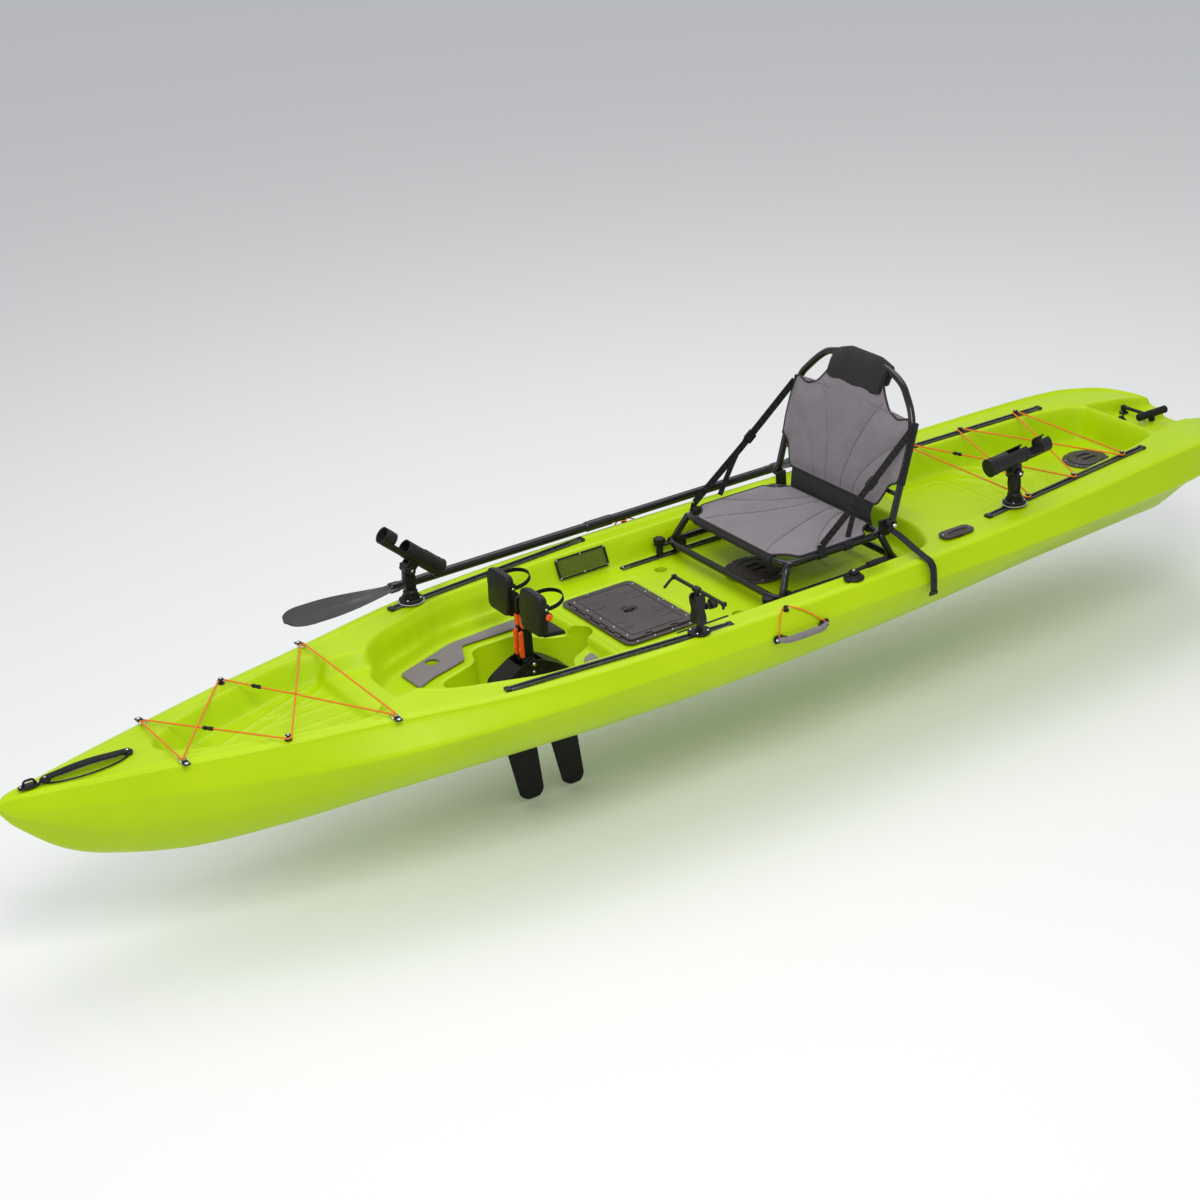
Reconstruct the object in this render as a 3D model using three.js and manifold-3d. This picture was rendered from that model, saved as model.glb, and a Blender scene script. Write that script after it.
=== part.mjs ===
// A sit-on-top pedal fishing kayak, as an assembly of separate parts.
// Millimetres. +X points to the bow, +Y to port, +Z up; z = 0 is the flat of the keel.
import * as THREE from "three";
import { mergeVertices } from "three/addons/utils/BufferGeometryUtils.js";
import Module from "manifold-3d";

const wasm = await Module();
wasm.setup();

// ---------------------------------------------------------------- driving dimensions
const GAP = 0.4; // clearance between touching parts
const WALL = 5; // rotomoulded wall
const DECK_Z = 310; // gunwale height amidships
const FLOOR_Z = 228; // cockpit floor
const FOOTWELL_Z = 195; // floor of the foot well
const BOW_WELL_Z = 236; // floor of the bow tray
const SADDLE_Z = 262; // low saddle between the bow tray and the cockpit
const TANK_WELL_Z = 226; // floor of the stern tank well
const DRIVE_WELL_Z = 78; // floor of the drive's pocket
const PORT = 1;
const STARBOARD = -1;

// Lines plan. Each station: x, then half-breadth and height of the deck edge, the knuckle,
// the bilge and the keel flat.
const STATIONS = [
  [2100, 5, 287, 7, 276, 5, 266, 3, 258],
  [2070, 22, 300, 27, 262, 17, 232, 6, 214],
  [1960, 56, 306, 66, 250, 40, 160, 10, 112],
  [1850, 92, 308, 104, 243, 62, 100, 12, 55],
  [1640, 155, 310, 172, 232, 102, 44, 16, 2],
  [1400, 226, 310, 252, 222, 170, 50, 24, 0],
  [1100, 300, 310, 345, 226, 245, 78, 40, 0],
  [750, 388, 310, 418, 240, 312, 98, 60, 0],
  [400, 426, 310, 442, 245, 358, 108, 70, 0],
  [0, 432, 310, 446, 245, 372, 112, 70, 0],
  [-400, 428, 310, 442, 245, 366, 120, 70, 0],
  [-800, 416, 312, 432, 242, 350, 134, 60, 0],
  [-1200, 398, 325, 418, 240, 322, 160, 40, 0],
  [-1600, 364, 338, 386, 240, 290, 176, 20, 0],
  [-1770, 342, 338, 358, 238, 276, 180, 14, 0],
  [-1850, 314, 334, 330, 236, 262, 184, 40, 60],
  [-1930, 270, 326, 284, 232, 226, 186, 60, 110],
  [-1985, 190, 314, 200, 230, 165, 194, 60, 150],
  [-2000, 150, 306, 160, 232, 140, 200, 50, 172],
];

const group = new THREE.Group();

// ---------------------------------------------------------------- materials
const finish = (color, roughness, metalness) =>
  new THREE.MeshStandardMaterial({ color, roughness, metalness });
const limeHull = finish(0xbede00, 0.42, 0);
const blackPlastic = finish(0x1b1a1b, 0.45, 0);
const darkPlastic = finish(0x4a4045, 0.5, 0);
const greyFoam = finish(0x82787d, 0.9, 0);
const orangeCord = finish(0xff7a1a, 0.75, 0);
const blackTube = finish(0x101010, 0.25, 0.4);
const blackRail = finish(0x17171a, 0.35, 0.6);
const seatFabric = finish(0x857b84, 0.9, 0);
const blackRubber = finish(0x151314, 0.7, 0);
const greyRubber = finish(0x8a8488, 0.7, 0);
const meshFabric = finish(0x2a2a24, 0.8, 0);

// ---------------------------------------------------------------- solids
// A closed three.js geometry as a manifold solid, turned the right way out.
function solid(geometry) {
  const bare = geometry.clone();
  bare.deleteAttribute("normal");
  bare.deleteAttribute("uv");
  const merged = mergeVertices(bare, 1e-3);
  const triVerts = new Uint32Array(merged.index.array);
  const build = () =>
    new wasm.Manifold(
      new wasm.Mesh({
        numProp: 3,
        vertProperties: new Float32Array(merged.attributes.position.array),
        triVerts,
      }),
    );
  const made = build();
  if (made.volume() >= 0) return made;
  triVerts.reverse();
  return build();
}

function geometryOf(made) {
  const mesh = made.getMesh();
  const geometry = new THREE.BufferGeometry();
  const positions = new Float32Array(mesh.numVert * 3);
  for (let i = 0; i < mesh.numVert; i++) {
    positions.set(mesh.vertProperties.subarray(i * mesh.numProp, i * mesh.numProp + 3), i * 3);
  }
  geometry.setAttribute("position", new THREE.BufferAttribute(positions, 3));
  geometry.setIndex(new THREE.BufferAttribute(mesh.triVerts, 1));
  geometry.computeVertexNormals();
  return geometry;
}

const join = (...solids) => solids.reduce((all, next) => all.add(next));
const cut = (from, ...tools) => tools.reduce((left, tool) => left.subtract(tool), from);

function addPart(name, made, material) {
  const mesh = new THREE.Mesh(geometryOf(made), material);
  mesh.name = name;
  group.add(mesh);
}

const sideName = (side) => (side === PORT ? "port" : "starboard");

// ---------------------------------------------------------------- shape helpers
// A box between two corners.
function box(x0, x1, y0, y1, z0, z1) {
  const geometry = new THREE.BoxGeometry(x1 - x0, y1 - y0, z1 - z0);
  geometry.translate((x0 + x1) / 2, (y0 + y1) / 2, (z0 + z1) / 2);
  return solid(geometry);
}

// A round bar from a to b.
function rod(a, b, radius, sides = 10, endRadius = radius) {
  const from = new THREE.Vector3(...a);
  const to = new THREE.Vector3(...b);
  const along = to.clone().sub(from);
  const geometry = new THREE.CylinderGeometry(endRadius, radius, along.length(), sides);
  const turn = new THREE.Quaternion().setFromUnitVectors(
    new THREE.Vector3(0, 1, 0),
    along.clone().normalize(),
  );
  geometry.applyQuaternion(turn);
  geometry.translate(...from.add(to).multiplyScalar(0.5).toArray());
  return solid(geometry);
}

function ball(centre, radius, sides = 8) {
  const geometry = new THREE.SphereGeometry(radius, sides, Math.max(4, sides / 2));
  geometry.translate(...centre);
  return solid(geometry);
}

// A disc or stack of discs about a vertical axis: profile of [radius, z] from axis to axis.
function turned(x, y, profile, sides = 20) {
  const points = profile.map(([radius, z]) => new THREE.Vector2(radius, z));
  const geometry = new THREE.LatheGeometry(points, sides);
  geometry.rotateX(Math.PI / 2);
  geometry.translate(x, y, 0);
  return solid(geometry);
}

const disc = (x, y, radius, z0, z1, sides = 20) =>
  turned(x, y, [[0, z0], [radius, z0], [radius, z1], [0, z1]], sides);

// A flat shape in plan, given as [x, y] corners with rounded corners, raised from z0 to z1.
function plate(corners, radius, z0, z1, arcSteps = 2) {
  const ring = roundedOutline(corners, radius, 0, arcSteps);
  return loft([{ ring, at: z0 }, { ring, at: z1 }], (u, v, z) => [u, v, z]);
}

// Corners moved outwards by grow, then rounded with a quadratic curve at each.
function roundedOutline(corners, radius, grow = 0, arcSteps = 2) {
  const count = corners.length;
  const points = corners.map((corner) => new THREE.Vector2(...corner));
  const sign = THREE.ShapeUtils.area(points) > 0 ? 1 : -1;
  const moved = points.map((point, i) => {
    const before = points[(i + count - 1) % count];
    const after = points[(i + 1) % count];
    const n1 = edgeNormal(before, point, sign);
    const n2 = edgeNormal(point, after, sign);
    const scale = grow / (1 + n1.dot(n2));
    return point.clone().addScaledVector(n1.add(n2), scale);
  });
  const outline = [];
  moved.forEach((point, i) => {
    const before = moved[(i + count - 1) % count];
    const after = moved[(i + 1) % count];
    const start = towards(point, before, radius + grow);
    const end = towards(point, after, radius + grow);
    const curve = new THREE.QuadraticBezierCurve(start, point, end);
    for (const p of curve.getPoints(arcSteps)) outline.push([p.x, p.y]);
  });
  return outline;
}

function edgeNormal(a, b, sign) {
  const along = b.clone().sub(a).normalize();
  return new THREE.Vector2(along.y * sign, -along.x * sign);
}

function towards(from, to, distance) {
  const reach = Math.min(distance, from.distanceTo(to) * 0.46);
  return from.clone().addScaledVector(to.clone().sub(from).normalize(), reach);
}

// The mirror image of a half outline (y >= 0, listed bow to stern) joined to it.
const mirrored = (half) => [...half, ...half.toReversed().map(([x, y]) => [x, -y])];

// A solid through rings of equal length; place(u, v, at) puts a ring's point in space.
function loft(sections, place) {
  const count = sections[0].ring.length;
  const positions = [];
  for (const { ring, at } of sections) {
    for (const [u, v] of ring) positions.push(...place(u, v, at));
  }
  const index = [];
  for (let s = 0; s + 1 < sections.length; s++) {
    for (let i = 0; i < count; i++) {
      const a = s * count + i;
      const b = s * count + ((i + 1) % count);
      index.push(a, b, b + count, a, b + count, a + count);
    }
  }
  capRing(index, sections[0].ring, 0, true);
  capRing(index, sections.at(-1).ring, (sections.length - 1) * count, false);
  const geometry = new THREE.BufferGeometry();
  geometry.setAttribute("position", new THREE.Float32BufferAttribute(positions, 3));
  geometry.setIndex(index);
  return solid(geometry);
}

// Closes a ring with triangles, in the ring's own order or reversed.
function capRing(index, ring, first, reverse) {
  const points = ring.map((p) => new THREE.Vector2(...p));
  const ringSign = Math.sign(THREE.ShapeUtils.area(points));
  for (const [a, b, c] of THREE.ShapeUtils.triangulateShape(points, [])) {
    const faceSign = Math.sign(THREE.ShapeUtils.area([points[a], points[b], points[c]]));
    const face = (faceSign === ringSign) === reverse ? [a, c, b] : [a, b, c];
    index.push(...face.map((i) => first + i));
  }
}

// A path of straight runs with rounded bends.
function bentPath(points, bend) {
  const path = new THREE.CurvePath();
  let last = new THREE.Vector3(...points[0]);
  for (let i = 1; i + 1 < points.length; i++) {
    const corner = new THREE.Vector3(...points[i]);
    const next = new THREE.Vector3(...points[i + 1]);
    const into = corner.clone().lerp(last, Math.min(0.49, bend / corner.distanceTo(last)));
    const out = corner.clone().lerp(next, Math.min(0.49, bend / corner.distanceTo(next)));
    path.add(new THREE.LineCurve3(last, into));
    path.add(new THREE.QuadraticBezierCurve3(into, corner, out));
    last = out;
  }
  path.add(new THREE.LineCurve3(last, new THREE.Vector3(...points.at(-1))));
  return path;
}

function circleShape(radius, sides) {
  const shape = new THREE.Shape();
  for (let i = 0; i < sides; i++) {
    const angle = (i / sides) * 2 * Math.PI;
    shape[i ? "lineTo" : "moveTo"](radius * Math.cos(angle), radius * Math.sin(angle));
  }
  shape.closePath();
  return shape;
}

function rectangleShape(halfU, halfV) {
  const corners = [[-halfU, -halfV], [halfU, -halfV], [halfU, halfV], [-halfU, halfV]];
  return new THREE.Shape(corners.map((p) => new THREE.Vector2(...p)));
}

// A bent tube along a path.
function tube(path, radius, steps, sides = 8) {
  const options = { extrudePath: path, steps, curveSegments: 1 };
  return solid(new THREE.ExtrudeGeometry(circleShape(radius, sides), options));
}

// An outline of [u, v] corners in the XZ plane, given thickness along Y.
function slab(corners, radius, y0, y1, arcSteps = 2) {
  const ring = roundedOutline(corners, radius, 0, arcSteps);
  return loft([{ ring, at: y0 }, { ring, at: y1 }], (x, z, y) => [x, y, z]);
}

// ---------------------------------------------------------------- hull
// One station of the lines plan at x, by a smooth curve through the stations either side.
function stationAt(x) {
  const last = STATIONS.length - 1;
  let i = STATIONS.findIndex((row) => row[0] <= x);
  i = Math.min(Math.max(i, 1), last);
  const [before, a, b, after] = [i - 2, i - 1, i, i + 1].map(
    (k) => STATIONS[Math.min(Math.max(k, 0), last)],
  );
  const t = (a[0] - x) / (a[0] - b[0]);
  return a.map((value, k) => {
    if (k === 0) return x;
    const slopeA = (b[k] - before[k]) / Math.max(before[0] - b[0], 1);
    const slopeB = (after[k] - a[k]) / Math.max(a[0] - after[0], 1);
    const span = a[0] - b[0];
    const h = t * t * (3 - 2 * t);
    const tangentA = slopeA * span * (t * t * t - 2 * t * t + t);
    const tangentB = slopeB * span * (t * t * t - t * t);
    return value * (1 - h) + b[k] * h + tangentA + tangentB;
  });
}

// The hull's section at x, moved inwards by inset.
function hullRing(x, inset) {
  const row = stationAt(x);
  const [deckY, kneeY, bilgeY, keelY] = [1, 3, 5, 7].map((k) => Math.max(row[k] - inset, 1.5));
  const deckZ = row[2] - inset;
  const kneeZ = Math.min(row[4], deckZ - 2);
  const keelZ = Math.min(Math.max(row[8], 0) + inset, kneeZ - 3);
  const bilgeZ = Math.min(Math.max(row[6] + inset * 0.5, keelZ + 1), kneeZ - 2);
  const shoulder = Math.min(24, deckY * 0.5);
  const half = [
    [deckY - shoulder, deckZ],
    [deckY - shoulder * 0.25, deckZ - shoulder * 0.22],
    [deckY, deckZ - shoulder * 0.8],
    [kneeY, kneeZ],
    [(kneeY + bilgeY) / 2 + (kneeZ - bilgeZ) * 0.1, (kneeZ + bilgeZ) / 2],
    [bilgeY, bilgeZ],
    [(bilgeY + keelY) / 2, keelZ + (bilgeZ - keelZ) * 0.3],
    [keelY, keelZ],
  ];
  return [...half, ...half.toReversed().map(([y, z]) => [-y, z])];
}

function hullBody(inset) {
  const ends = [STATIONS[0][0], STATIONS.at(-1)[0]];
  const stations = [];
  STATIONS.forEach((row, i) => {
    stations.push(row[0]);
    const next = STATIONS[i + 1];
    if (next && row[0] - next[0] > 200) stations.push((row[0] + next[0]) / 2);
  });
  const sections = stations.map((x) => {
    const inside = THREE.MathUtils.clamp(x, ends[1] + inset, ends[0] - 4 * inset);
    return { ring: hullRing(inside, inset), at: inside };
  });
  const kept = sections.filter((s, i) => i === 0 || sections[i - 1].at - s.at > 1);
  return loft(kept, (y, z, x) => [x, y, z]);
}

// A well with sloping walls: outline at the top, the same outline drawn in at the floor.
function well(corners, radius, topZ, floorZ, draft, grow) {
  const sections = [
    { ring: roundedOutline(corners, radius, grow), at: topZ },
    { ring: roundedOutline(corners, radius, grow - draft), at: floorZ - grow },
  ];
  return loft(sections, (x, y, z) => [x, y, z]);
}

const cockpitOutline = mirrored([
  [1010, 90],
  [900, 215],
  [640, 318],
  [200, 344],
  [-450, 342],
  [-680, 334],
  [-742, 215],
]);
const footwellOutline = mirrored([
  [985, 70],
  [900, 165],
  [660, 272],
  [345, 290],
]);
const bowWellOutline = mirrored([
  [1665, 30],
  [1560, 95],
  [1400, 160],
  [1180, 226],
  [1070, 215],
]);
const saddleOutline = mirrored([
  [1150, 150],
  [1060, 172],
  [930, 150],
]);
const tankWellOutline = mirrored([
  [-815, 195],
  [-880, 262],
  [-1150, 262],
  [-1620, 208],
  [-1740, 170],
]);
const driveWellOutline = mirrored([
  [795, 26],
  [650, 78],
  [622, 160],
  [455, 160],
  [425, 85],
  [312, 26],
]);
const SLOT = { x0: 372, x1: 668, y: 42 };
const sternShelf = mirrored([
  [-1755, 165],
  [-1965, 120],
]);
const sternNotch = mirrored([
  [-1900, 48],
  [-2050, 62],
]);

const HATCH = { x0: 45, x1: 297, y: 190, lip: 26 };
const COCKPIT_HATCH = { x: -285, y: 0, radius: 98, hole: 72, z: FLOOR_Z };
const STERN_HATCH = { x: -1610, y: 0, radius: 76, hole: 56, z: TANK_WELL_Z };
const SCUPPERS = [
  [755, 150, 17],
  [-75, 205, 20],
  [-905, 170, 18],
];
const FLUSH_HOLDER = { x: -790, y: 330, radius: 24, depth: 190, lean: 32 };
const FRONT_TRACK = { a: [780, 336], b: [80, 398] };
const REAR_TRACK = { a: [-935, 302], b: [-1625, 243] };
const TRACK = { width: 24, depth: 11, slot: 9, slotDepth: 6 };
const SEAT_RAIL = { y: 285, x0: -640, x1: 15, width: 22, depth: 9 };

// A bar laid between two deck points, in the deck's own slope.
function deckBar(a, b, side, width, low, high, extra = 0) {
  const from = new THREE.Vector3(a[0], a[1] * side, stationAt(a[0])[2]);
  const to = new THREE.Vector3(b[0], b[1] * side, stationAt(b[0])[2]);
  const along = from.clone().sub(to);
  const geometry = new THREE.BoxGeometry(along.length() + extra * 2, width, high - low);
  geometry.translate(0, 0, (low + high) / 2);
  const yaw = Math.atan2(along.y, along.x);
  const pitch = Math.atan2(along.z, Math.hypot(along.x, along.y));
  geometry.rotateY(-pitch);
  geometry.rotateZ(yaw);
  geometry.translate(...from.add(to).multiplyScalar(0.5).toArray());
  return solid(geometry);
}

function flushTube(side, radius, extra) {
  const lean = THREE.MathUtils.degToRad(FLUSH_HOLDER.lean);
  const { x, y, depth } = FLUSH_HOLDER;
  const down = new THREE.Vector3(Math.sin(lean), -0.16 * side, -Math.cos(lean));
  const mouth = new THREE.Vector3(x, y * side, DECK_Z);
  const top = mouth.clone().addScaledVector(down, -24);
  const foot = mouth.addScaledVector(down, depth + extra);
  return rod(top.toArray(), foot.toArray(), radius, 12);
}

// Everything moulded into the hull as a recess; grow thickens it for the wall behind it.
function recesses(grow) {
  const top = 360;
  const floorOf = (z) => z - grow;
  const tools = [
    well(cockpitOutline, 60, DECK_Z + 1, FLOOR_Z, 32, grow),
    well(footwellOutline, 50, FLOOR_Z + 1, FOOTWELL_Z, 14, grow),
    well(bowWellOutline, 40, DECK_Z + 1, BOW_WELL_Z, 34, grow),
    well(saddleOutline, 60, DECK_Z + 1, SADDLE_Z, 30, grow),
    well(tankWellOutline, 40, top, TANK_WELL_Z, 26, grow),
    well(driveWellOutline, 34, FOOTWELL_Z + 1, DRIVE_WELL_Z, 10, grow),
    plate(sternShelf.map(([x, y]) => [x, y + Math.sign(y) * grow]), 30, floorOf(286), top),
    plate(sternNotch.map(([x, y]) => [x, y + Math.sign(y) * grow]), 12, floorOf(262), top),
    box(SLOT.x0 - grow, SLOT.x1 + grow, -SLOT.y - grow, SLOT.y + grow, -20, DRIVE_WELL_Z + 1),
  ];
  const scoop = new THREE.SphereGeometry(1, 12, 8);
  scoop.scale(112 + grow, 38 + grow, 34 + grow);
  scoop.translate(1852, 0, 308);
  tools.push(solid(scoop));
  for (const side of [PORT, STARBOARD]) {
    const { width, depth } = TRACK;
    const wide = width + 2 * GAP + 2 * grow;
    for (const { a, b } of [FRONT_TRACK, REAR_TRACK]) {
      tools.push(deckBar(a, b, side, wide, -depth - GAP - grow, 20, GAP + grow));
    }
    for (const [x, y, radius] of SCUPPERS) {
      tools.push(rod([x, y * side, -20], [x, y * side, 260], radius + grow, 10));
    }
    const rail = SEAT_RAIL;
    const railHalf = rail.width / 2 + GAP + grow;
    const railLow = FLOOR_Z - rail.depth - GAP - grow;
    const railY = rail.y * side;
    const ends = [rail.x0 - GAP - grow, rail.x1 + GAP + grow];
    tools.push(box(...ends, railY - railHalf, railY + railHalf, railLow, FLOOR_Z + 5));
  }
  return join(...tools);
}

// Holes cut right through the shell into the hollow.
function shellOpenings() {
  const { x0, x1, y, lip } = HATCH;
  const tools = [
    box(x0 + lip, x1 - lip, -y + lip, y - lip, 150, FLOOR_Z + 20),
    disc(COCKPIT_HATCH.x, 0, COCKPIT_HATCH.hole + 8, 150, FLOOR_Z + 20, 20),
    disc(STERN_HATCH.x, 0, STERN_HATCH.hole + 8, 150, TANK_WELL_Z + 20, 20),
  ];
  for (const side of [PORT, STARBOARD]) tools.push(flushTube(side, FLUSH_HOLDER.radius + GAP, 30));
  return join(...tools);
}

function makeHull() {
  const outer = cut(hullBody(0), recesses(0));
  const hollow = cut(hullBody(WALL), recesses(WALL));
  addPart("hull", cut(outer, hollow, shellOpenings()), limeHull);
}

// ---------------------------------------------------------------- tracks and rails
const BUNGEE_RADIUS = 2.6;
const EYE = { foot: 10, neck: 4.5, height: 15, head: 8 };

// A grooved button that a bungee passes around, standing on z.
function cordButton(x, y, z) {
  const { foot, neck, height, head } = EYE;
  const profile = [
    [0, z],
    [foot, z],
    [foot, z + 3],
    [neck, z + 4.5],
    [neck, z + height - 3.5],
    [head, z + height - 2],
    [head, z + height],
    [0, z + height],
  ];
  return turned(x, y, profile, 8);
}

const EYE_SUNK = 2; // how far the stern eyes' feet sit in the rails
const STERN_EYES = [0.25, 0.54, 0.86].map((t) => {
  const x = THREE.MathUtils.lerp(REAR_TRACK.a[0], REAR_TRACK.b[0], t);
  const y = THREE.MathUtils.lerp(REAR_TRACK.a[1], REAR_TRACK.b[1], t);
  return [x, y, stationAt(x)[2]];
});

function makeTrack(name, ends, side, eyes) {
  const { width, depth, slot, slotDepth } = TRACK;
  const bar = deckBar(ends.a, ends.b, side, width, -depth, 1);
  let track = cut(bar, deckBar(ends.a, ends.b, side, slot, 1 - slotDepth, 4, -14));
  for (const [x, y, z] of eyes) track = track.add(cordButton(x, y * side, z - EYE_SUNK));
  addPart(name, track, blackRail);
}

function makeTracksAndRails() {
  for (const side of [PORT, STARBOARD]) {
    makeTrack(`track_front_${sideName(side)}`, FRONT_TRACK, side, []);
    makeTrack(`track_rear_${sideName(side)}`, REAR_TRACK, side, STERN_EYES);
    const { y, x0, x1, width, depth } = SEAT_RAIL;
    const mid = y * side;
    const rail = cut(
      box(x0, x1, mid - width / 2, mid + width / 2, FLOOR_Z - depth, FLOOR_Z + 1),
      box(x0 + 12, x1 - 12, mid - 4, mid + 4, FLOOR_Z - 5, FLOOR_Z + 4),
    );
    addPart(`seat_rail_${sideName(side)}`, rail, blackRail);
  }
}

// ---------------------------------------------------------------- bungees
const BOW_EYES = [
  [1640, 132],
  [1372, 214],
  [1092, 276],
];

// One leg of cord, run a little past both ends so that legs join at their corners.
function cordLeg(a, b) {
  const from = new THREE.Vector3(...a);
  const to = new THREE.Vector3(...b);
  const past = to.clone().sub(from).setLength(BUNGEE_RADIUS * 0.6);
  return rod(from.sub(past).toArray(), to.add(past).toArray(), BUNGEE_RADIUS, 6);
}

// A closed zig-zag through its corners.
function cordLoop(corners) {
  return join(...corners.map((corner, i) => cordLeg(corner, corners[(i + 1) % corners.length])));
}

// The corner where a cord rounds a button's neck on its outboard side.
function aroundNeck([x, y, z], side) {
  const reach = (EYE.neck + BUNGEE_RADIUS + GAP) * Math.SQRT2 + 0.6;
  const high = z + EYE.height / 2 + 0.5;
  return [
    [x + reach, y * side, high],
    [x, (y + reach) * side, high],
    [x - reach, y * side, high],
  ];
}

// The corner where a cord dips through a ring.
function throughRing([x, y], side) {
  const high = DECK_Z + 8.6;
  return [
    [x + 4, (y + 2) * side, high],
    [x, (y + 3) * side, DECK_Z + 4],
    [x - 4, (y + 2) * side, high],
  ];
}

function makeBungees() {
  const bowCorner = (i, side) =>
    i === 1 ? aroundNeck([...BOW_EYES[1], DECK_Z + GAP], side) : throughRing(BOW_EYES[i], side);
  const [s1, s2, s3] = [0, 1, 2].map((i) => bowCorner(i, STARBOARD));
  const [p1, p2, p3] = [0, 1, 2].map((i) => bowCorner(i, PORT));
  const bow = [s1, p2, s3, p3.toReversed(), s2.toReversed(), p1.toReversed()].flat();
  addPart("bow_bungee", cordLoop(bow), orangeCord);

  const sternCorner = (i, side) => {
    const [x, y, z] = STERN_EYES[i];
    return aroundNeck([x, y, z - EYE_SUNK], side);
  };
  const [t1, t2, t3] = [0, 1, 2].map((i) => sternCorner(i, STARBOARD));
  const [q1, q2, q3] = [0, 1, 2].map((i) => sternCorner(i, PORT));
  const stern = [t1, q2, t3, q3.toReversed(), t2.toReversed(), q1.toReversed()].flat();
  addPart("stern_bungee", cordLoop(stern), orangeCord);
}

// A strap tab screwed to the deck, holding a wire ring that reaches inboard.
function ringTab([x, y], side) {
  const z = DECK_Z + GAP;
  const out = y + 14;
  const inner = out * side;
  const outer = (out + 24) * side;
  const tab = box(x - 9, x + 9, Math.min(inner, outer), Math.max(inner, outer), z, z + 3.5);
  const ringPath = bentPath(
    [
      [x - 10, (out + 3) * side, z + 2],
      [x - 10, (y - 7) * side, z + 2],
      [x + 10, (y - 7) * side, z + 2],
      [x + 10, (out + 3) * side, z + 2],
    ],
    8,
  );
  const hinge = [-11, 11].map((dx) => [x + dx, (out + 3) * side, z + 2]);
  return join(tab, tube(ringPath, 1.6, 9, 6), rod(...hinge, 1.8, 6));
}

function makeBowFittings() {
  const places = ["front", "middle", "rear"];
  for (const side of [PORT, STARBOARD]) {
    BOW_EYES.forEach((eye, i) => {
      const z = DECK_Z + GAP;
      const made = i === 1 ? cordButton(eye[0], eye[1] * side, z) : ringTab(eye, side);
      addPart(`bow_eye_${places[i]}_${sideName(side)}`, made, blackPlastic);
    });
  }
  const plateOutline = [
    [2040, -9],
    [2010, -15],
    [1980, -9],
    [1980, 9],
    [2010, 15],
    [2040, 9],
  ];
  const eyePlate = plate(plateOutline, 8, 307, 312);
  const arch = bentPath([[2027, 0, 308], [2024, 0, 326], [1996, 0, 326], [1993, 0, 308]], 9);
  addPart("bow_padeye", join(eyePlate, tube(arch, 3.2, 12, 6)), blackPlastic);

  const grip = bentPath(
    [[1974, 0, 314.5], [1950, 0, 317], [1850, 0, 322], [1754, 0, 317], [1730, 0, 316]],
    40,
  );
  const section = rectangleShape(11, 5);
  const bar = new THREE.ExtrudeGeometry(section, { extrudePath: grip, steps: 12 });
  addPart("bow_handle", placeFlatBar(bar), blackRubber);
}

// Keeps a swept bar above the deck that it is screwed to.
function placeFlatBar(geometry) {
  const made = solid(geometry);
  return cut(made, box(1700, 2000, -40, 40, 200, DECK_Z + GAP));
}

// ---------------------------------------------------------------- foot pads
function makeDeckPads() {
  const inboard = [
    [860, 30],
    [800, 62],
    [672, 104],
    [634, 190],
    [440, 190],
    [405, 116],
    [368, 96],
  ];
  for (const side of [PORT, STARBOARD]) {
    const outline = [
      ...inboard,
      [372, 214],
      [410, 246],
      [655, 226],
      [862, 142],
    ].map(([x, y]) => [x, y * side]);
    const pad = plate(outline, 12, FOOTWELL_Z + GAP, FOOTWELL_Z + 3.5);
    const [x, y, radius] = SCUPPERS[0];
    const hole = disc(x, y * side, radius + 4, FOOTWELL_Z - 5, FOOTWELL_Z + 10, 14);
    addPart(`foot_pad_${sideName(side)}`, cut(pad, hole), greyFoam);
  }
}

// ---------------------------------------------------------------- hatches
const LID_Z = FLOOR_Z + 5;

function makeDeckHatch() {
  const { x0, x1, y, lip } = HATCH;
  const corners = [[x0, -y], [x1, -y], [x1, y], [x0, y]];
  const flange = plate(corners, 30, FLOOR_Z + GAP, FLOOR_Z + 4);
  const inside = (inset) => [x0 + inset, x1 - inset, -y + inset, y - inset];
  const coaming = box(...inside(lip + 1), FLOOR_Z - 14, FLOOR_Z + 4);
  const mouth = box(...inside(lip + 5), FLOOR_Z - 20, FLOOR_Z + 20);
  const [lidX0, lidX1, lidY0, lidY1] = inside(14);
  const lidOutline = [[lidX0, lidY0], [lidX1, lidY0], [lidX1, lidY1], [lidX0, lidY1]];
  const knuckles = [-120, -40, 40, 120].map((at) =>
    rod([x1 - 8, at - 14, LID_Z + 2], [x1 - 8, at + 14, LID_Z + 2], 4, 8),
  );
  addPart("hatch_frame", cut(join(flange, coaming, ...knuckles), mouth), darkPlastic);

  const skin = plate(lidOutline, 20, LID_Z, LID_Z + 7);
  const latchX = (x0 + x1) / 2;
  const recess = disc(latchX, 0, 24, LID_Z + 3, LID_Z + 10, 16);
  const lid = cut(skin, recess);
  const hingeBars = [-80, 0, 80].map((at) => box(x1 - 16, x1 - 7, at - 20, at + 20, LID_Z, LID_Z + 5));
  addPart("hatch_lid", join(lid, ...hingeBars), darkPlastic);

  const latch = join(
    disc(latchX, 0, 9, LID_Z + 3 + GAP, LID_Z + 7, 12),
    box(latchX - 18, latchX + 18, -4, 4, LID_Z + 3 + GAP, LID_Z + 8.5),
  );
  addPart("hatch_latch", latch, blackPlastic);
}

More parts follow.
